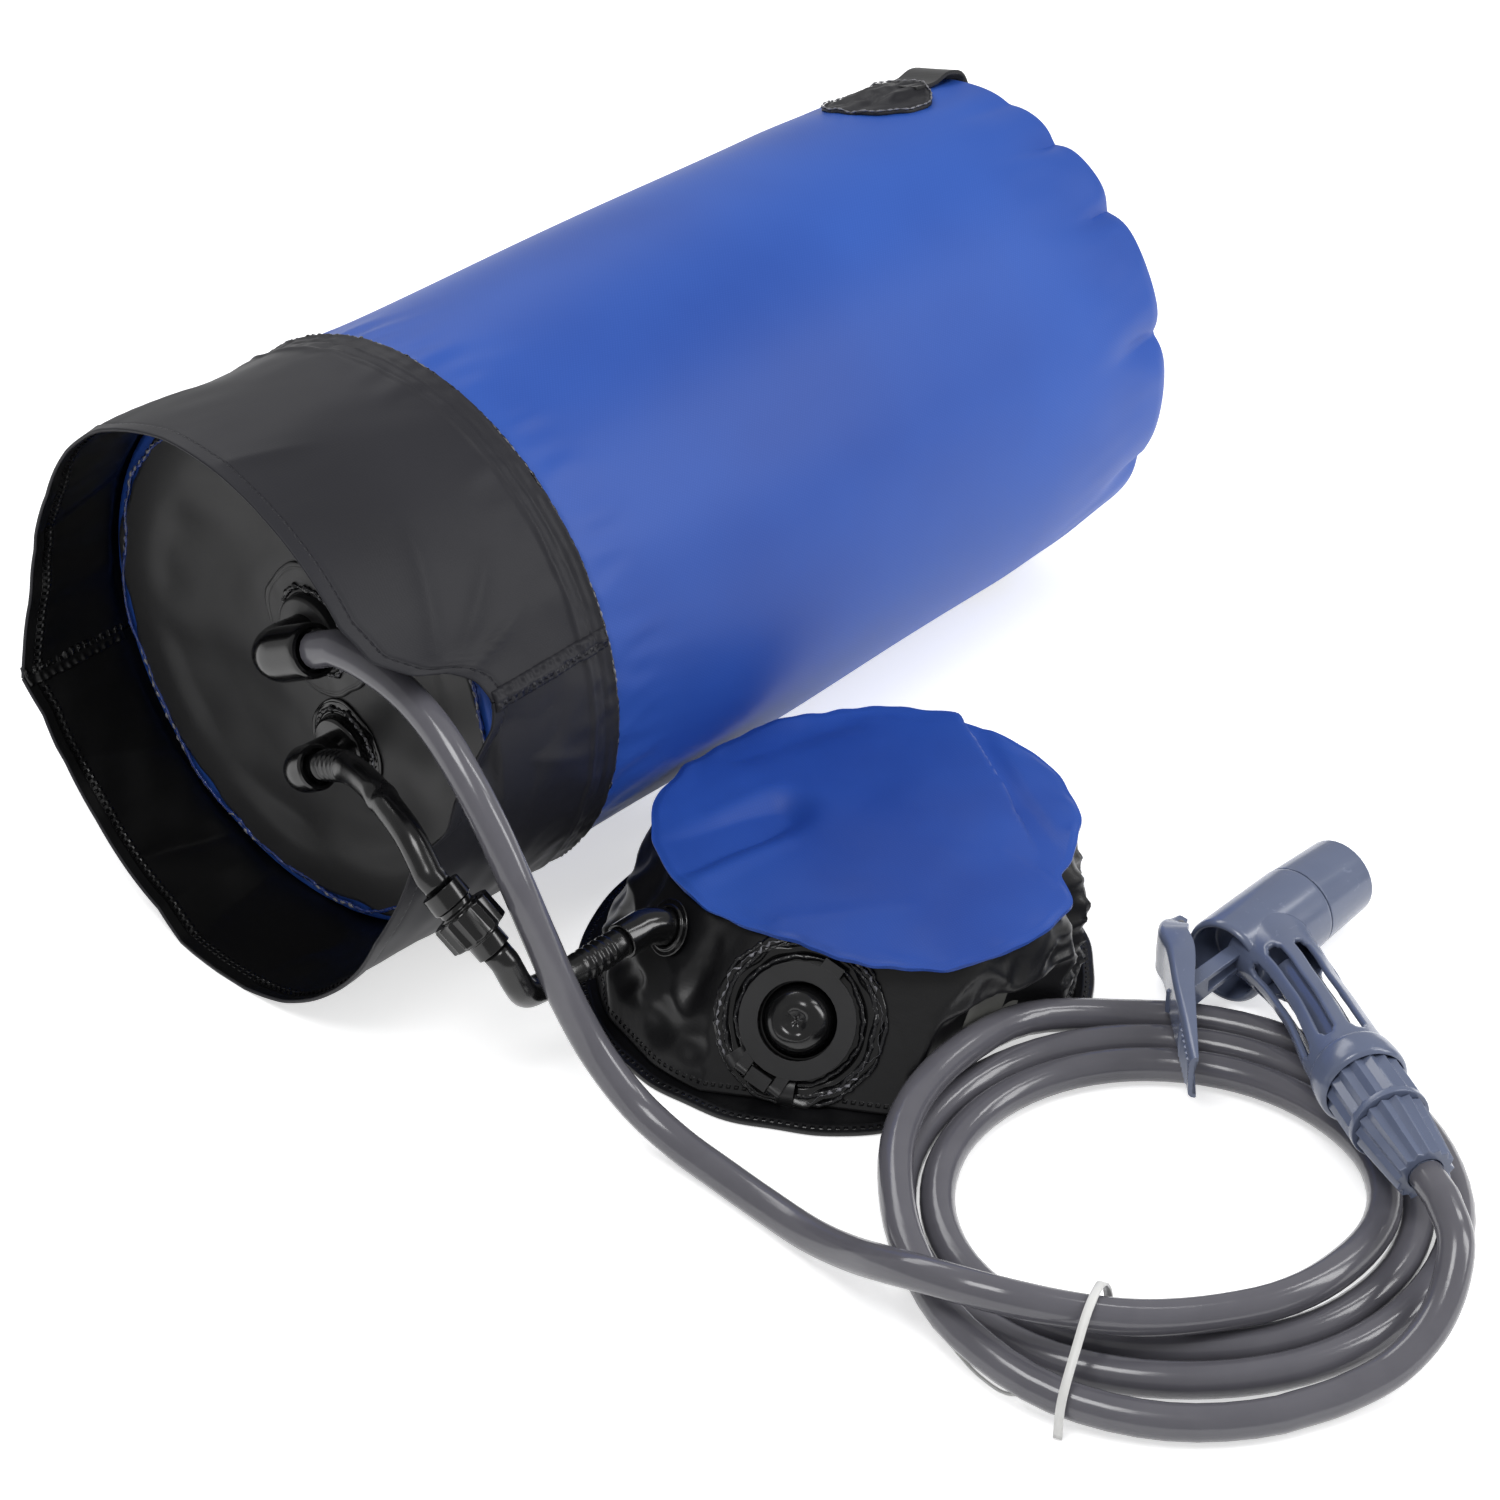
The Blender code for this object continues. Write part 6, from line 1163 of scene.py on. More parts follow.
def wallPoints(azimuth, share, extra):
    # From the base's weld to the top sheet's edge, bulging out between them; extra moves a point outwards.
    outward = np.stack([np.cos(azimuth), np.sin(azimuth), 0 * azimuth], -1)
    foot = fromRim([pump["x"], pump["y"], 0.0022]) + outward * (pump["wall"] - 0.0004)
    top = fromRim([pump["x"] + pump["topShift"], pump["y"], pump["height"] - 0.0004]) \
        + outward * (topReach(azimuth) - 0.0036)[..., None]
    bulge = 0.003 * np.sin(math.pi * share)
    points = foot + (top - foot) * share[..., None] + outward * (bulge + extra)[..., None]
    for key in ("valve", "spigot"):
        middle, facing = seat(key)
        over = (points - middle) @ facing
        across = np.array([facing[0], facing[1], 0]) / math.hypot(facing[0], facing[1])
        near = np.maximum(over + 0.0002, 0) / (across @ facing)
        points = points - across * near[..., None]
    return clearOfCoil(points)


def blendToCover(piece, node):
    # The piece's transform is baked into its mesh, and the part that it replaces is hidden.
    x, y, z = fromRim([pump["x"], pump["y"], 0])
    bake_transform(piece)
    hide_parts(node)


def makePumpWall():
    # Slack wall: slow folds, sharp folds and crumples, fading towards both welds and round the two fittings.
    shares = np.concatenate([[0.0, 0.015], np.linspace(0.04, 0.96, 40), [0.985, 1.0]])
    share, azimuth = np.meshgrid(shares, turnAngles(280), indexing="ij")
    ring = np.stack([np.cos(azimuth) * 0.1, np.sin(azimuth) * 0.1, share * 0.06], -1)
    slack = np.sin(math.pi * share) ** 0.7
    folds = 0.0036 * softNoise(ring * np.array([1, 1, 0.45]), 0.034, 101)
    sharpFold = 0.0062 * (0.35 - np.abs(softNoise(ring, 0.042, 103)))
    crumple = 0.0022 * (0.3 - np.abs(softNoise(ring, 0.016, 105)))
    right = bump((np.degrees(azimuth) + 180) % 360 - 180, -50, 24)
    extra = (folds + sharpFold + crumple) * slack * (0.75 + 0.9 * right) - 0.001
    plain = wallPoints(azimuth, share, 0 * azimuth)
    for key in ("valve", "spigot"):
        away = np.linalg.norm(plain - seat(key)[0], axis=-1)
        extra = extra * softStep(away, pump[key]["calm"] * 0.85, pump[key]["calm"] * 1.3)
    arc = np.arange(281) * tau * 0.1 / 280
    places = gridPlaces(shares * 0.062, arc, swapped=True)
    piece = makeSurface("pumpWall", wallPoints(azimuth, share, extra), wrapColumns=True, places=places, flip=True)
    piece.data.materials.append(finishes["pumpWall"])
    wall = piece.modifiers.new("wall", "SOLIDIFY")
    wall.thickness, wall.offset = pump["wallThickness"], -1
    blendToCover(piece, "pump_wall")


def foldRise(x, y, start, end, width, height, power):
    # Rounded ridge or dent along a line: height * exp(-(distance / width)^power).
    start, end = np.array(start), np.array(end)
    length = np.linalg.norm(end - start)
    way = (end - start) / length
    along = (x - start[0]) * way[0] + (y - start[1]) * way[1]
    across = np.abs((x - start[0]) * way[1] - (y - start[1]) * way[0])
    past = np.maximum(np.maximum(-along, along - length), 0)
    return height * np.exp(-(np.hypot(across, past) / width) ** power)


def topHeight(x, y):
    # Beyond the line across the near right corner the sheet steps down, with a raised fold along the step.
    start, end = np.array(pump["step"])
    way = (end - start) / np.linalg.norm(end - start)
    along = (x - start[0]) * way[0] + (y - start[1]) * way[1]
    out = (x - start[0]) * -way[1] + (y - start[1]) * way[0]
    reach = softStep(along, -0.050, -0.010) * (1 - softStep(along, 0.066, 0.100))
    raised = 0.0042 * np.exp(-((np.maximum(-out, 0) / 0.030) ** 1.5)) * softStep(-out, -0.0012, 0.0010) * reach
    sunken = 0.0024 * softStep(out, -0.0010, 0.0016) * (1 - softStep(out, 0.004, 0.012)) * reach
    z = raised - sunken
    for start, end, width, height, power in pump["topFolds"]:
        z = z + foldRise(x, y, start, end, width, height, power)
    return z


def makePumpTop():
    # Crowned sheet with its folds, a welded flange near the edge and a flat underside.
    shares = np.concatenate([np.linspace(0.02, 0.90, 46), [0.93, 0.955, 0.972, 0.984, 0.992, 1.0]])
    share, azimuth = np.meshgrid(shares, turnAngles(260), indexing="ij")
    reach = topReach(azimuth) + 0.0006 * softNoise(unitRing(azimuth) * 0.1, 0.02, 111) * share
    x = pump["x"] + pump["topShift"] + share * reach * np.cos(azimuth)
    y = pump["y"] + share * reach * np.sin(azimuth)
    flat = np.stack([x, y], -1)
    crown = pump["crown"] * (1 - share**2.2) - 0.0003
    noise = 0.0008 * softNoise(flat, 0.05, 113) + 0.0011 * softNoise(flat, 0.03, 114) * softStep(share, 0.86, 1.0)
    z = pump["height"] + pump["topThickness"] + crown + topHeight(x, y) \
        + noise * (1 - softStep(share, 0.97, 1.0) * 0.5)
    z = np.maximum(z, pump["height"] + 0.0006)
    flange = 0.0006 * bump(share, 0.965, 0.012)
    upper = fromRim(np.stack([x, y, z + flange], -1))
    lower = upper[::-1].copy()
    lower[..., 2] = np.maximum(lower[..., 2] - pump["topThickness"], pump["height"] - 0.0002)
    piece = makeSurface("pumpTop", np.concatenate([upper, lower]), places=bothFaces(flat), sharp=60, **closedTube)
    settle(piece, finishes["pumpTop"], "pump_cover", ("pump_top",))


def makePumpFoam():
    # Filler a little inside the wall, level by level.
    azimuth = turnAngles(64)
    rows = [wallPoints(azimuth, np.full_like(azimuth, share), np.full_like(azimuth, -inset))
            for share, inset in pump["foamLevels"]]
    piece = makeSurface("pumpFoam", np.stack(rows), **closedTube)
    piece.data.materials.append(finishes["foam"])
    blendToCover(piece, "pump_foam")


valve = {
    "hingeTurn": math.radians(-117.6),
    # Section of the patch and the ring's seat: radius, height
    "profile": [(0.0158, 0.0012), (0.0162, 0.0054), (0.0168, 0.0058), (0.0218, 0.0058), (0.0225, 0.0050),
                (0.0227, 0.0012), (0.0262, 0.0009), (0.0270, 0.0020), (0.0290, 0.0023), (0.0300, 0.0010),
                (0.0322, 0.0018), (0.0335, 0.0020), (0.0345, 0.0008), (0.0345, 0.0), (0.0158, 0.0)],
    # Weld beads: radius, size, height
    "beads": [(0.0255, 0.0011, 0.0014), (0.0306, 0.0013, 0.0012), (0.0343, 0.0010, 0.0008)],
    # Retaining arms: distance from the middle, height; then their lean from the hinge's way and their section
    "arm": [(0.0226, 0.0036), (0.0262, 0.0062), (0.0300, 0.0060), (0.0330, 0.0034), (0.0342, 0.0012)],
    "armLean": 0.42, "armHalf": 0.0033, "armWall": 0.0007,
    "dome": [(0.0004, 0.0118), (0.0018, 0.0119), (0.0034, 0.0128), (0.0052, 0.0140), (0.0074, 0.0141),
             (0.0096, 0.0131), (0.0114, 0.0113), (0.0128, 0.0090), (0.0138, 0.0064), (0.0147, 0.0038),
             (0.0155, 0.0017), (0.0004, 0.0017)],
}


def valveFrame():
    # Frame of the intake valve: Z leaves the wall, X points to the ring cap's hinge.
    spot, facing = seat("valve")
    azimuth = math.radians(pump["valve"]["azimuth"])
    level = np.array([-math.sin(azimuth), math.cos(azimuth), 0])
    slope = np.cross(facing, level)
    hinge = level * math.cos(valve["hingeTurn"]) + slope * math.sin(valve["hingeTurn"])
    return frameAt(spot + facing * 0.0003, facing, hinge)


def makeValvePatch(matrix):
    # Turned patch whose outer part wanders, with three beads and one ring of pale dashes painted as glints: painted
    # highlights.
    def wander(angle, radius, height):
        ring = unitRing(angle) * radius[..., None]
        outer = softStep(radius, 0.0250, 0.0300)
        raised = 0.0002 * softNoise(ring, 0.008, 122) * outer * (height > 0.0005)
        return radius + 0.0009 * softNoise(ring, 0.016, 121) * outer, height + raised

    grid = turnedGrid(roundedProfile(valve["profile"], 0.0005, 3), 180, matrix, wander)
    settle(makeSurface("valvePatch", grid, sharp=50, **closedRing), finishes["rubber"])
    for index, (reach, size, height) in enumerate(valve["beads"]):
        look = {"wobble": 0.0004, "size": size, "lean": height, "crumb": 0.15}
        ringBead("valveWeldBead" + str(index), matrix, reach, look, finishes["weld"],
                 123 + index * 5, 300)
    ringBead("valveWeldGlints", matrix, 0.0330, {"wobble": 0.0010, "size": 0.0006, "lean": 0.0022, "pitch": 0.0040,
             "gaps": -0.4}, finishes["weldGlint"], 141, 420)


def makeValveArms(matrix):
    # Two short arms fold from the ring's seat down over the patch at its hinge.
    half, wall = valve["armHalf"], valve["armWall"]
    section = np.array([(-half, -wall), (half, -wall), (half, wall), (-half, wall)])
    for side, lean in (("Left", -valve["armLean"]), ("Right", valve["armLean"])):
        way = np.array([math.cos(lean), math.sin(lean), 0.0])
        line = smoothPath(place(matrix, [way * reach + [0, 0, height] for reach, height in valve["arm"]]), 0.0008)
        across = matrix[:3, :3] @ np.array([-way[1], way[0], 0.0])
        grid = sweepGrid(line, np.repeat(section[None], len(line), axis=0), across)
        piece = makeSurface("valveArm" + side, grid, sharp=40, **closedTube)
        settle(piece, finishes["matteRubber"])


def makeValveDome(matrix):
    # Twin-lobed flap valve: a dimple between two swollen halves, filling the ring.
    def lobes(angle, radius, height):
        lobe = 1 - 0.10 * np.abs(np.cos(angle - 0.9)) ** 4 * softStep(0.0150 - radius, 0.0, 0.006) \
            + 0.05 * np.cos(2 * (angle - 0.6)) * softStep(0.016 - radius, 0.002, 0.010)
        return radius, np.where(height > 0.002, 0.0018 + (height - 0.0018) * lobe, height)

    grid = turnedGrid(roundedProfile(valve["dome"], 0.0008, 2), 96, matrix, lobes)
    piece = makeSurface("valveDome", grid, **closedTube)
    settle(piece, finishes["rubber"], "bag", ("intake_valve_dome",))


makePumpBase()
makePumpWall()
makePumpTop()
makePumpFoam()
valvePlace = valveFrame()
makeValvePatch(valvePlace)
makeValveArms(valvePlace)
makeValveDome(valvePlace)
print("foot pump filled")


# Carry strap
strap = {
    "angle": math.radians(76), "width": 0.025, "thickness": 0.0018, "bow": 0.013, "crest": 0.1140, "lift": 0.0024,
    # Where the patch hides the strap's weld, back from the far end: distance, radius
    "underPatch": [(0.0300, 0.1162), (0.016, 0.1147)],
    # Section of the webbing: share of the half width, share of the half thickness
    "section": [(-1, 0.3), (-0.97, 1), (-0.6, 0.9), (0, 0.9), (0.6, 0.9), (0.97, 1), (1.0, 0.3)],
    "patchHalf": 0.0245, "patchArcHalf": 0.0275, "patchCentre": 0.0440, "patchWall": 0.0011, "dashes": 40,
}


def makeStrap():
    # Webbing from one patch over the far rim, bowed clear of the disc, to the patch on the other side.
    radial = np.array([0, math.cos(strap["angle"]), math.sin(strap["angle"])])
    side = (0, -math.sin(strap["angle"]), math.cos(strap["angle"]))
    origin = np.array([rimX, 0, axisZ])
    lift, crest, bow = strap["lift"], strap["crest"], strap["bow"]
    past = bagLength + 0.0019
    near = [(bagLength - back, radius + lift) for back, radius in strap["underPatch"]]
    near += [(bagLength - 0.006, crest + 2 * lift), (past, crest + lift), (past + bow / 3, crest * 0.9),
             (past + bow * 2 / 3, crest * 0.6), (past + bow, 0.0)]
    spots = near + [(x, -reach) for x, reach in reversed(near[:-1])]
    path = smoothPath([origin + np.array([x, 0, 0]) + radial * reach for x, reach in spots], 0.0025)
    path[:, 2] = np.maximum(path[:, 2], strap["thickness"])
    half = np.array(strap["section"]) * np.array([strap["width"] / 2, strap["thickness"] / 2])
    section = np.vstack([half, half[::-1] * np.array([1, -1])])
    grid = sweepGrid(path, np.repeat(section[None], len(path), axis=0), side)
    grid[..., 2] = np.maximum(grid[..., 2], 0.0)
    places = gridPlaces(pathReach(path), pathReach(np.vstack([section, section[:1]])))
    piece = makeSurface("carryStrap", grid, places=places, sharp=60, **closedTube)
    settle(piece, finishes["webbing"], "bag", ("carry_strap",))


def makeStrapPatch(name, node, middle):
    # Oval welded patch over the strap's end: share s of an ellipse, raised over the strap, in at two folds.
    centre = bagLength - strap["patchCentre"]
    share, turn = np.meshgrid(np.concatenate([[0.02], np.linspace(0.07, 1, 30)]), turnAngles(96), indexing="ij")
    wander = 1 + 0.020 * np.sin(5 * turn + 1) + 0.012 * np.sin(11 * turn)
    along = share * strap["patchHalf"] * np.cos(turn) * wander
    arc = share * strap["patchArcHalf"] * np.sin(turn) * wander
    x = centre + along
    angle = middle + arc / bag["radius"]
    over = 0.0026 * (1 - softStep(np.abs(arc), 0.0105, 0.0150)) * softStep(along, -0.008, 0.002) \
        * (1 - softStep(share, 0.9, 1.0) * 0.3)
    folds = 0.0022 * bump(arc, -0.0165, 0.0045) * softStep(along, -0.020, 0.006) - 0.0010 * bump(arc, 0.004, 0.003)
    edge = 0.0007 * bump(share, 0.955, 0.022) - 0.0002 * bump(share, 0.90, 0.02)
    flat = np.stack([x, angle * 0.12], -1)
    radius = bagRadius(x, angle) + 0.0007 + over + folds + edge + 0.0005 * softNoise(flat, 0.012, 131)
    outer = aroundBag(x, angle, radius, 0.0009)
    inner = aroundBag(x, angle, radius - strap["patchWall"], 0.0)
    piece = makeSurface(name, np.concatenate([outer, inner[::-1]]), places=bothFaces(flat), sharp=60, **closedTube)
    settle(piece, finishes["skirt"], "bag", (node,))

    # Dashes of the welding wheel along the patch's edge, painted pale as glints: painted highlights
    edgeLine = aroundBag(x[-1] * 0.994 + centre * 0.006, middle + arc[-1] * 0.985 / bag["radius"],
                         radius[-2] + 0.0004, 0.0012)
    size = 0.00055 * (0.15 + 0.85 * softStep(np.sin(turnAngles(96) * strap["dashes"]), -0.4, 0.4))
    bead = sweepGrid(edgeLine, roundSections(size, 6), (0.3, 0.5, 0.8))
    settle(makeSurface(name + "Dashes", bead, **closedRing), finishes["weldGlint"])


makeStrap()
makeStrapPatch("strapPatchFront", "strap_patch_front", strap["angle"])
makeStrapPatch("strapPatchBack", "strap_patch_back", strap["angle"] + math.pi)
print("strap welded on")


# Handset
handset = {
    "barrelRear": (0.2554, -0.3285, 0.0190), "barrelRadius": 0.0190, "barrelLength": 0.0513,
    # Middle of the handle, its width and its height, from the barrel to the nut
    "handle": [(0.2750, -0.3360, 0.0210), (0.2655, -0.3520, 0.0240), (0.2570, -0.3650, 0.0270),
               (0.2470, -0.3775, 0.0305), (0.2370, -0.3905, 0.0340), (0.2265, -0.4030, 0.0370),
               (0.2155, -0.4160, 0.0400), (0.2075, -0.4265, 0.0420)],
    "widths": [0.0172, 0.0168, 0.0160, 0.0153, 0.0153, 0.0160, 0.0170, 0.0166],
    "heights": [0.0142, 0.0142, 0.0139, 0.0137, 0.0138, 0.0143, 0.0152, 0.0156],
    "sides": 80, "rows": 48, "slots": 8, "wall": 0.0027, "nutRadius": 0.0157,
    # Back of the trigger, from its pivot to the thumb pad's end, and the depth of its legs there
    "lever": [(0.2590, -0.3010, 0.0190), (0.2500, -0.3005, 0.0195), (0.2410, -0.3050, 0.0225),
              (0.2295, -0.3175, 0.0263), (0.2095, -0.3365, 0.0282), (0.1905, -0.3555, 0.0292),
              (0.1745, -0.3712, 0.0299)],
    "depths": [0.0060, 0.0110, 0.0125, 0.0118, 0.0086, 0.0056, 0.0034], "leverWidth": 0.022, "leverWall": 0.0020,
    "leverCorner": 0.0028, "ribPitch": 0.0036, "ribRise": 0.0009,
    "armY": -0.333, "armLevel": 0.023, "armEnd": 0.262, "armTall": 0.0055,
    "springStart": 0.0227, "springEnd": 0.0340, "springTurns": 5, "springRadius": 0.0042, "wire": 0.0006,
}


def makeBarrel():
    # Turned barrel: hollow at the rear for the trigger's arm, rounded rear rim, a step where the rose begins.
    big, length = handset["barrelRadius"], handset["barrelLength"]
    matrix = frameAt(fromRim(handset["barrelRear"]), (1, 0, 0))
    corners = [(0.0006, 0.0150), (0.0148, 0.0150), (0.0156, 0.0012), (0.0166, 0.0000), (big - 0.0012, 0.0000),
               (big, 0.0018), (big, length - 0.0010), (big - 0.0007, length), (0.0150, length), (0.0006, length)]
    grid = turnedGrid(roundedProfile(corners, 0.0012, 4), 128, matrix)
    grid[..., 2] = np.maximum(grid[..., 2], 0.0)
    piece = makeSurface("sprayerBarrel", grid, sharp=50, **closedTube)
    settle(piece, finishes["abs"], "bag", ("sprayer_body",))


def makeHandle():
    # Cage: an oval tube along the handle with long slots left out, thickened and rounded by subdivision.
    rows, sides = handset["rows"], handset["sides"]
    path = smoothPath(fromRim(handset["handle"]), 0.0002)
    reach = pathReach(path)
    path = path[np.clip(np.searchsorted(reach, np.linspace(0, reach[-1], rows)), 0, len(path) - 1)]
    share = np.linspace(0, 1, rows)
    knots = np.linspace(0, 1, len(handset["widths"]))
    flare = np.exp(-share * reach[-1] / 0.007)                    # it widens where it meets the barrel
    wide = np.interp(share, knots, handset["widths"]) * (1 + 0.20 * flare * (share > 0))
    high = np.interp(share, knots, handset["heights"]) * (1 + 0.12 * flare)
    grid = sweepGrid(path, roundSections(np.ones(rows), sides, np.stack([wide, high], -1)), (0.8, -0.6, 0.0))
    sector = sides // handset["slots"]
    row, column = np.meshgrid(np.arange(rows - 1), np.arange(sides), indexing="ij")
    inSector = (column + 1) % sector
    first, last = 9, rows - 6
    fromEnd = np.minimum(row - first, last - 1 - row)
    narrow = np.where(fromEnd < 1, 1, 0)                          # both ends of a slot are a face narrower
    hollow = (fromEnd >= 0) & (inSector >= 5 + narrow) & (inSector < sector - narrow)
    keptRow, keptColumn = np.argwhere(~hollow).T
    nextColumn = (keptColumn + 1) % sides
    start, end = keptRow * sides, (keptRow + 1) * sides
    faces = np.stack([start + keptColumn, end + keptColumn, end + nextColumn, start + nextColumn], -1)
    mesh = bpy.data.meshes.new("sprayerHandle")
    mesh.from_pydata(grid.reshape(-1, 3).tolist(), [], faces.tolist())
    solid = bmesh.new()
    solid.from_mesh(mesh)
    bmesh.ops.delete(solid, geom=[v for v in solid.verts if not v.link_faces], context="VERTS")
    bmesh.ops.recalc_face_normals(solid, faces=solid.faces)
    middle = Vector(path[rows // 2])
    nearest = min(solid.faces, key=lambda face: (face.calc_center_median() - middle).length)
    if nearest.normal.dot(nearest.calc_center_median() - middle) < 0:
        bmesh.ops.reverse_faces(solid, faces=solid.faces)
    solid.to_mesh(mesh)
    solid.free()
    mesh.shade_smooth()
    piece = addObject("sprayerHandle", mesh)
    settle(piece, finishes["abs"], "bag", ("sprayer_body",), thickness=handset["wall"])
    smooth = piece.modifiers.new("smooth", "SUBSURF")
    smooth.levels = smooth.render_levels = 1


def makeHandleCollar():
    # Rounded end of the handle that covers the start of the swivel nut.
    matrix = frameAt(fromRim(handset["handle"][-1]), hose["nutWay"])
    nut = handset["nutRadius"]
    corners = [(0.0090, -0.0080), (0.0150, -0.0080), (0.0176, -0.0050), (0.0184, 0.0010), (0.0184, 0.0066),
               (0.0168, 0.0082), (nut + 0.0006, 0.0082), (nut + 0.0004, 0.0058), (0.0090, 0.0056)]
    grid = turnedGrid(roundedProfile(corners, 0.0018, 4), 96, matrix)
    piece = makeSurface("sprayerCollar", grid, sharp=60, **closedRing)
    settle(piece, finishes["abs"], "bag", ("sprayer_body",))


def leverSection(half, depth, rib):
    # Half of the channel mirrored: leg, rounded outer corner, ribbed back; then the inner side.
    wall, corner = handset["leverWall"], handset["leverCorner"]
    arc = [(half - corner + corner * math.cos(turn), -corner + corner * math.sin(turn))
           for turn in np.linspace(0, math.pi / 2, 5)]
    leg = -max(depth, corner + 0.0002)
    foot = [(half - 0.0003, leg), (half, leg + 0.0003)]
    back = [(half * 0.62, 0.0), (half * 0.60, rib), (0.0, rib + 0.0003), (-half * 0.60, rib), (-half * 0.62, 0.0)]
    inner = half - wall
    inside = [(-inner - 0.0003, leg), (-inner, leg + 0.0003), (-inner, -wall), (inner, -wall), (inner, leg + 0.0003),
              (inner + 0.0003, leg)]
    return foot + arc + back + [(-u, v) for u, v in reversed(foot + arc)] + inside


def makeLever():
    # Channel open towards the barrel: rounded outer corners, legs that grow towards the pivot, ribs on the thumb pad.
    path = smoothPath(fromRim(handset["lever"]), 0.0012)
    reach = pathReach(path)
    end = reach[-1]
    knots = pathReach(fromRim(handset["lever"]))
    depths = readTable(np.stack([knots / knots[-1], handset["depths"]], -1), reach / end)[:, 0]
    taper = 1 - 0.10 * softStep(reach, end * 0.75, end) - 0.12 * (1 - softStep(reach, 0, 0.010))
    beat = softStep(np.sin(tau * reach / handset["ribPitch"]), 0.1, 0.7)
    pad = softStep(reach, end - 0.0275, end - 0.0255) * (1 - softStep(reach, end - 0.0045, end - 0.003))
    ribs = handset["ribRise"] * (beat * pad)
    halves = handset["leverWidth"] / 2 * taper
    sections = [leverSection(half, depth, rib) for half, depth, rib in zip(halves, depths, ribs)]
    piece = makeSurface("triggerLever", sweepGrid(path, sections, (0, 0, 1)), sharp=40, **closedTube)
    settle(piece, finishes["abs"], "lever", ("trigger_lever",))
    makeTriggerArm(float(np.interp(handset["armY"], path[::-1, 1], path[::-1, 0])) + 0.0015)


def makeTriggerArm(start):
    # Arm from the lever's back into the barrel: a frame with a square window.
    end, level, tall = handset["armEnd"] + rimX, handset["armLevel"], handset["armTall"]
    outline = [(start, tall), (end, tall * 0.8), (end, -tall * 0.8), (start, -tall)]
    window = [(start + 0.020, tall * 0.52), (end - 0.004, tall * 0.42), (end - 0.004, -tall * 0.42),
              (start + 0.020, -tall * 0.52)]
    near, far = handset["armY"] - 0.0035, handset["armY"] + 0.0035
    rows = []
    for ring, y in ((outline, far), (outline, near), (window, near), (window, far)):
        corners = np.array(ring)
        sides = np.roll(corners, -1, axis=0) - corners
        spots = (corners[:, None] + sides[:, None] * np.linspace(0, 1, 6)[None, :-1, None]).reshape(-1, 2)
        rows.append(np.stack([spots[:, 0], np.full(len(spots), y), level + spots[:, 1]], -1))
    piece = makeSurface("triggerArm", np.array(rows), sharp=30, **closedRing)
    roundEdges(piece, 0.0004, 50)
    settle(piece, finishes["abs"], "lever", ("trigger_lever",))


def makeSpring():
    # Coil spring of the stem.
    count = handset["springTurns"]
    turns = np.linspace(0, count, 141)
    start, end, radius = handset["springStart"], handset["springEnd"], handset["springRadius"]
    path = np.stack([start + (end - start) * turns / count, handset["armY"] + radius * np.cos(tau * turns),
                     handset["armLevel"] + radius * np.sin(tau * turns)], -1)
    grid = sweepGrid(path, roundSections(np.full(len(path), handset["wire"]), 10), (1, 0, 0))
    piece = makeSurface("returnSpring", grid, **closedTube)
    settle(piece, finishes["steel"], "bag", ("stem_spring",))
    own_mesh(piece)


makeSpring()
makeBarrel()
makeHandle()
makeHandleCollar()
makeLever()
print("handset moulded")


# Solids that stay and only get a finish
carried = {
    "rubber": ["coupling_socket", "coupling_collar", "coupling_plug", "fill_neck", "fill_cap", "pump_outlet_flange",
               "pump_outlet_spigot", "air_check_valve"],
    "matteRubber": ["fill_gasket", "stem_seal", "intake_valve_cap", "intake_valve_base"],
    "abs": ["sprayer_rose", "swivel_nut", "hose_nut", "hose_barb"],
    "clearTube": ["inner_tube"], "nylon": ["valve_stem"], "steel": ["lever_pin"],
}
thinNodes = ("valve_stem", "lever_pin", "stem_seal", "fill_gasket")


def softenEdges(node, width):
    # Welds the node's loose triangles, rounds its hard edges and smooths the rest.
    weld = node.modifiers.new("weld", "WELD")
    weld.merge_threshold = 0.00002
    roundEdges(node, width, 34).harden_normals = False
    smooth = node.modifiers.new("smooth", "WEIGHTED_NORMAL")
    smooth.weight, smooth.keep_sharp = 80, False
    node.data.polygons.foreach_set("use_smooth", [True] * len(node.data.polygons))


for look, names in carried.items():
    for name in names:
        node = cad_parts[name]
        node.data.materials.clear()
        node.data.materials.append(finishes[look])
        softenEdges(node, 0.0002 if name in thinNodes else 0.0005)
print("carried-over parts finished")


# Floor, backdrop and light
studio = {
    "floorShade": "#f4f4f4", "floorGlow": 0.58, "worldLight": 0.42, "floorSize": 12.0, "floorLevel": -0.0004,
    "lamps": {
        "keyPanel": {"spot": (-0.9, -0.5, 1.9), "aim": (0, -0.1, 0.1), "size": (0.75, 0.75), "power": 15},
        "rightPanel": {"spot": (0.9, -1.6, 1.1), "aim": (0, -0.2, 0.1), "size": (0.5, 1.2), "power": 13},
        "overPanel": {"spot": (1.0, -0.80, 1.35), "aim": (0.05, -0.35, 0.02), "size": (0.22, 0.7), "power": 3.6},
        "backPanel": {"spot": (0.4, 1.5, 1.6), "aim": (0, 0, 0.1), "size": (1.5, 0.7), "power": 12},
    },
}


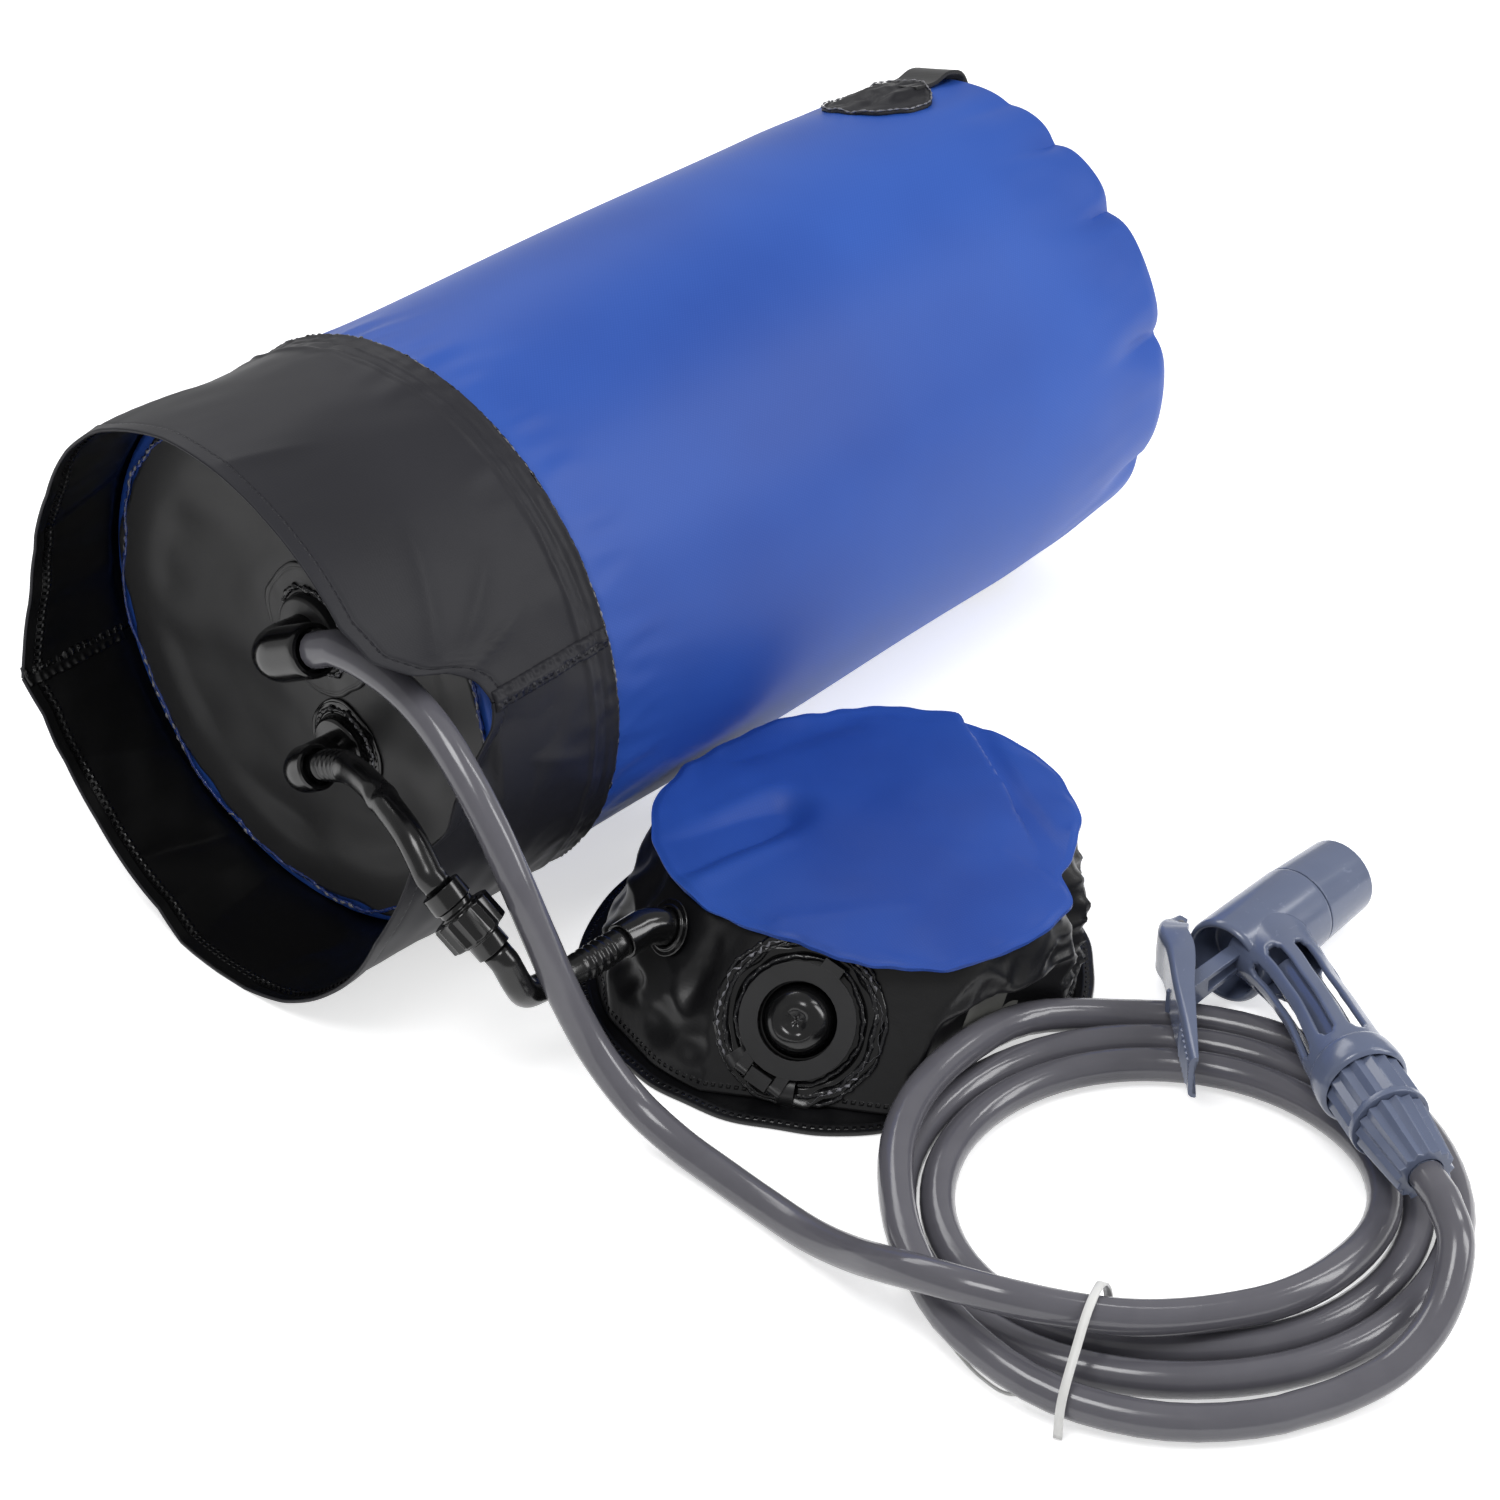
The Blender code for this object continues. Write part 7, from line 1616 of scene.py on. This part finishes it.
def makeFloor():
    # Pale paper that glows a little for the camera and in reflections, so that it reads as white with a shadow.
    size, level = studio["floorSize"], studio["floorLevel"]
    mesh = bpy.data.meshes.new("studioFloor")
    mesh.from_pydata([(-size, -size, level), (size, -size, level), (size, size, level), (-size, size, level)], [],
                     [(0, 1, 2, 3)])
    floor = addObject("studioFloor", mesh)
    material, tree, shader = newMaterial("paperFloor")
    shader.inputs["Base Color"].default_value = linear(studio["floorShade"])
    shader.inputs["Roughness"].default_value = 0.9
    shader.inputs["Specular IOR Level"].default_value = 0.0
    path = addNode(tree, "ShaderNodeLightPath")
    first = addNode(tree, "ShaderNodeMath", {"operation": "MAXIMUM"},
                    {0: path.outputs["Is Camera Ray"], 1: path.outputs["Is Glossy Ray"]}).outputs[0]
    seen = addNode(tree, "ShaderNodeMath", {"operation": "MAXIMUM"},
                   {0: first, 1: path.outputs["Is Transmission Ray"]}).outputs[0]
    glow = addNode(tree, "ShaderNodeMath", {"operation": "MULTIPLY", 1: studio["floorGlow"]}, {0: seen}).outputs[0]
    tree.links.new(glow, shader.inputs["Emission Strength"])
    shader.inputs["Emission Color"].default_value = (1, 1, 1, 1)
    mesh.materials.append(material)


def makeLight():
    # White world that the camera sees at full strength, and four soft panels.
    world = bpy.data.worlds.new("studioWorld")
    world.use_nodes = True
    bpy.context.scene.world = world
    tree = world.node_tree
    backdrop = tree.nodes["Background"]
    path = addNode(tree, "ShaderNodeLightPath")
    power = addNode(tree, "ShaderNodeMapRange", {"To Min": studio["worldLight"], "To Max": 1.0},
                    {"Value": path.outputs["Is Camera Ray"]}).outputs[0]
    backdrop.inputs["Color"].default_value = (1, 1, 1, 1)
    tree.links.new(power, backdrop.inputs["Strength"])
    for name, item in studio["lamps"].items():
        data = bpy.data.lights.new(name, "AREA")
        data.shape = "RECTANGLE"
        data.size, data.size_y = item["size"]
        data.energy = item["power"]
        lamp = addObject(name, data)
        lamp.location = item["spot"]
        lamp.rotation_euler = (Vector(item["aim"]) - Vector(item["spot"])).to_track_quat("-Z", "Y").to_euler()
    bpy.context.scene.view_settings.view_transform = "Standard"


makeFloor()
makeLight()
print("studio lit")
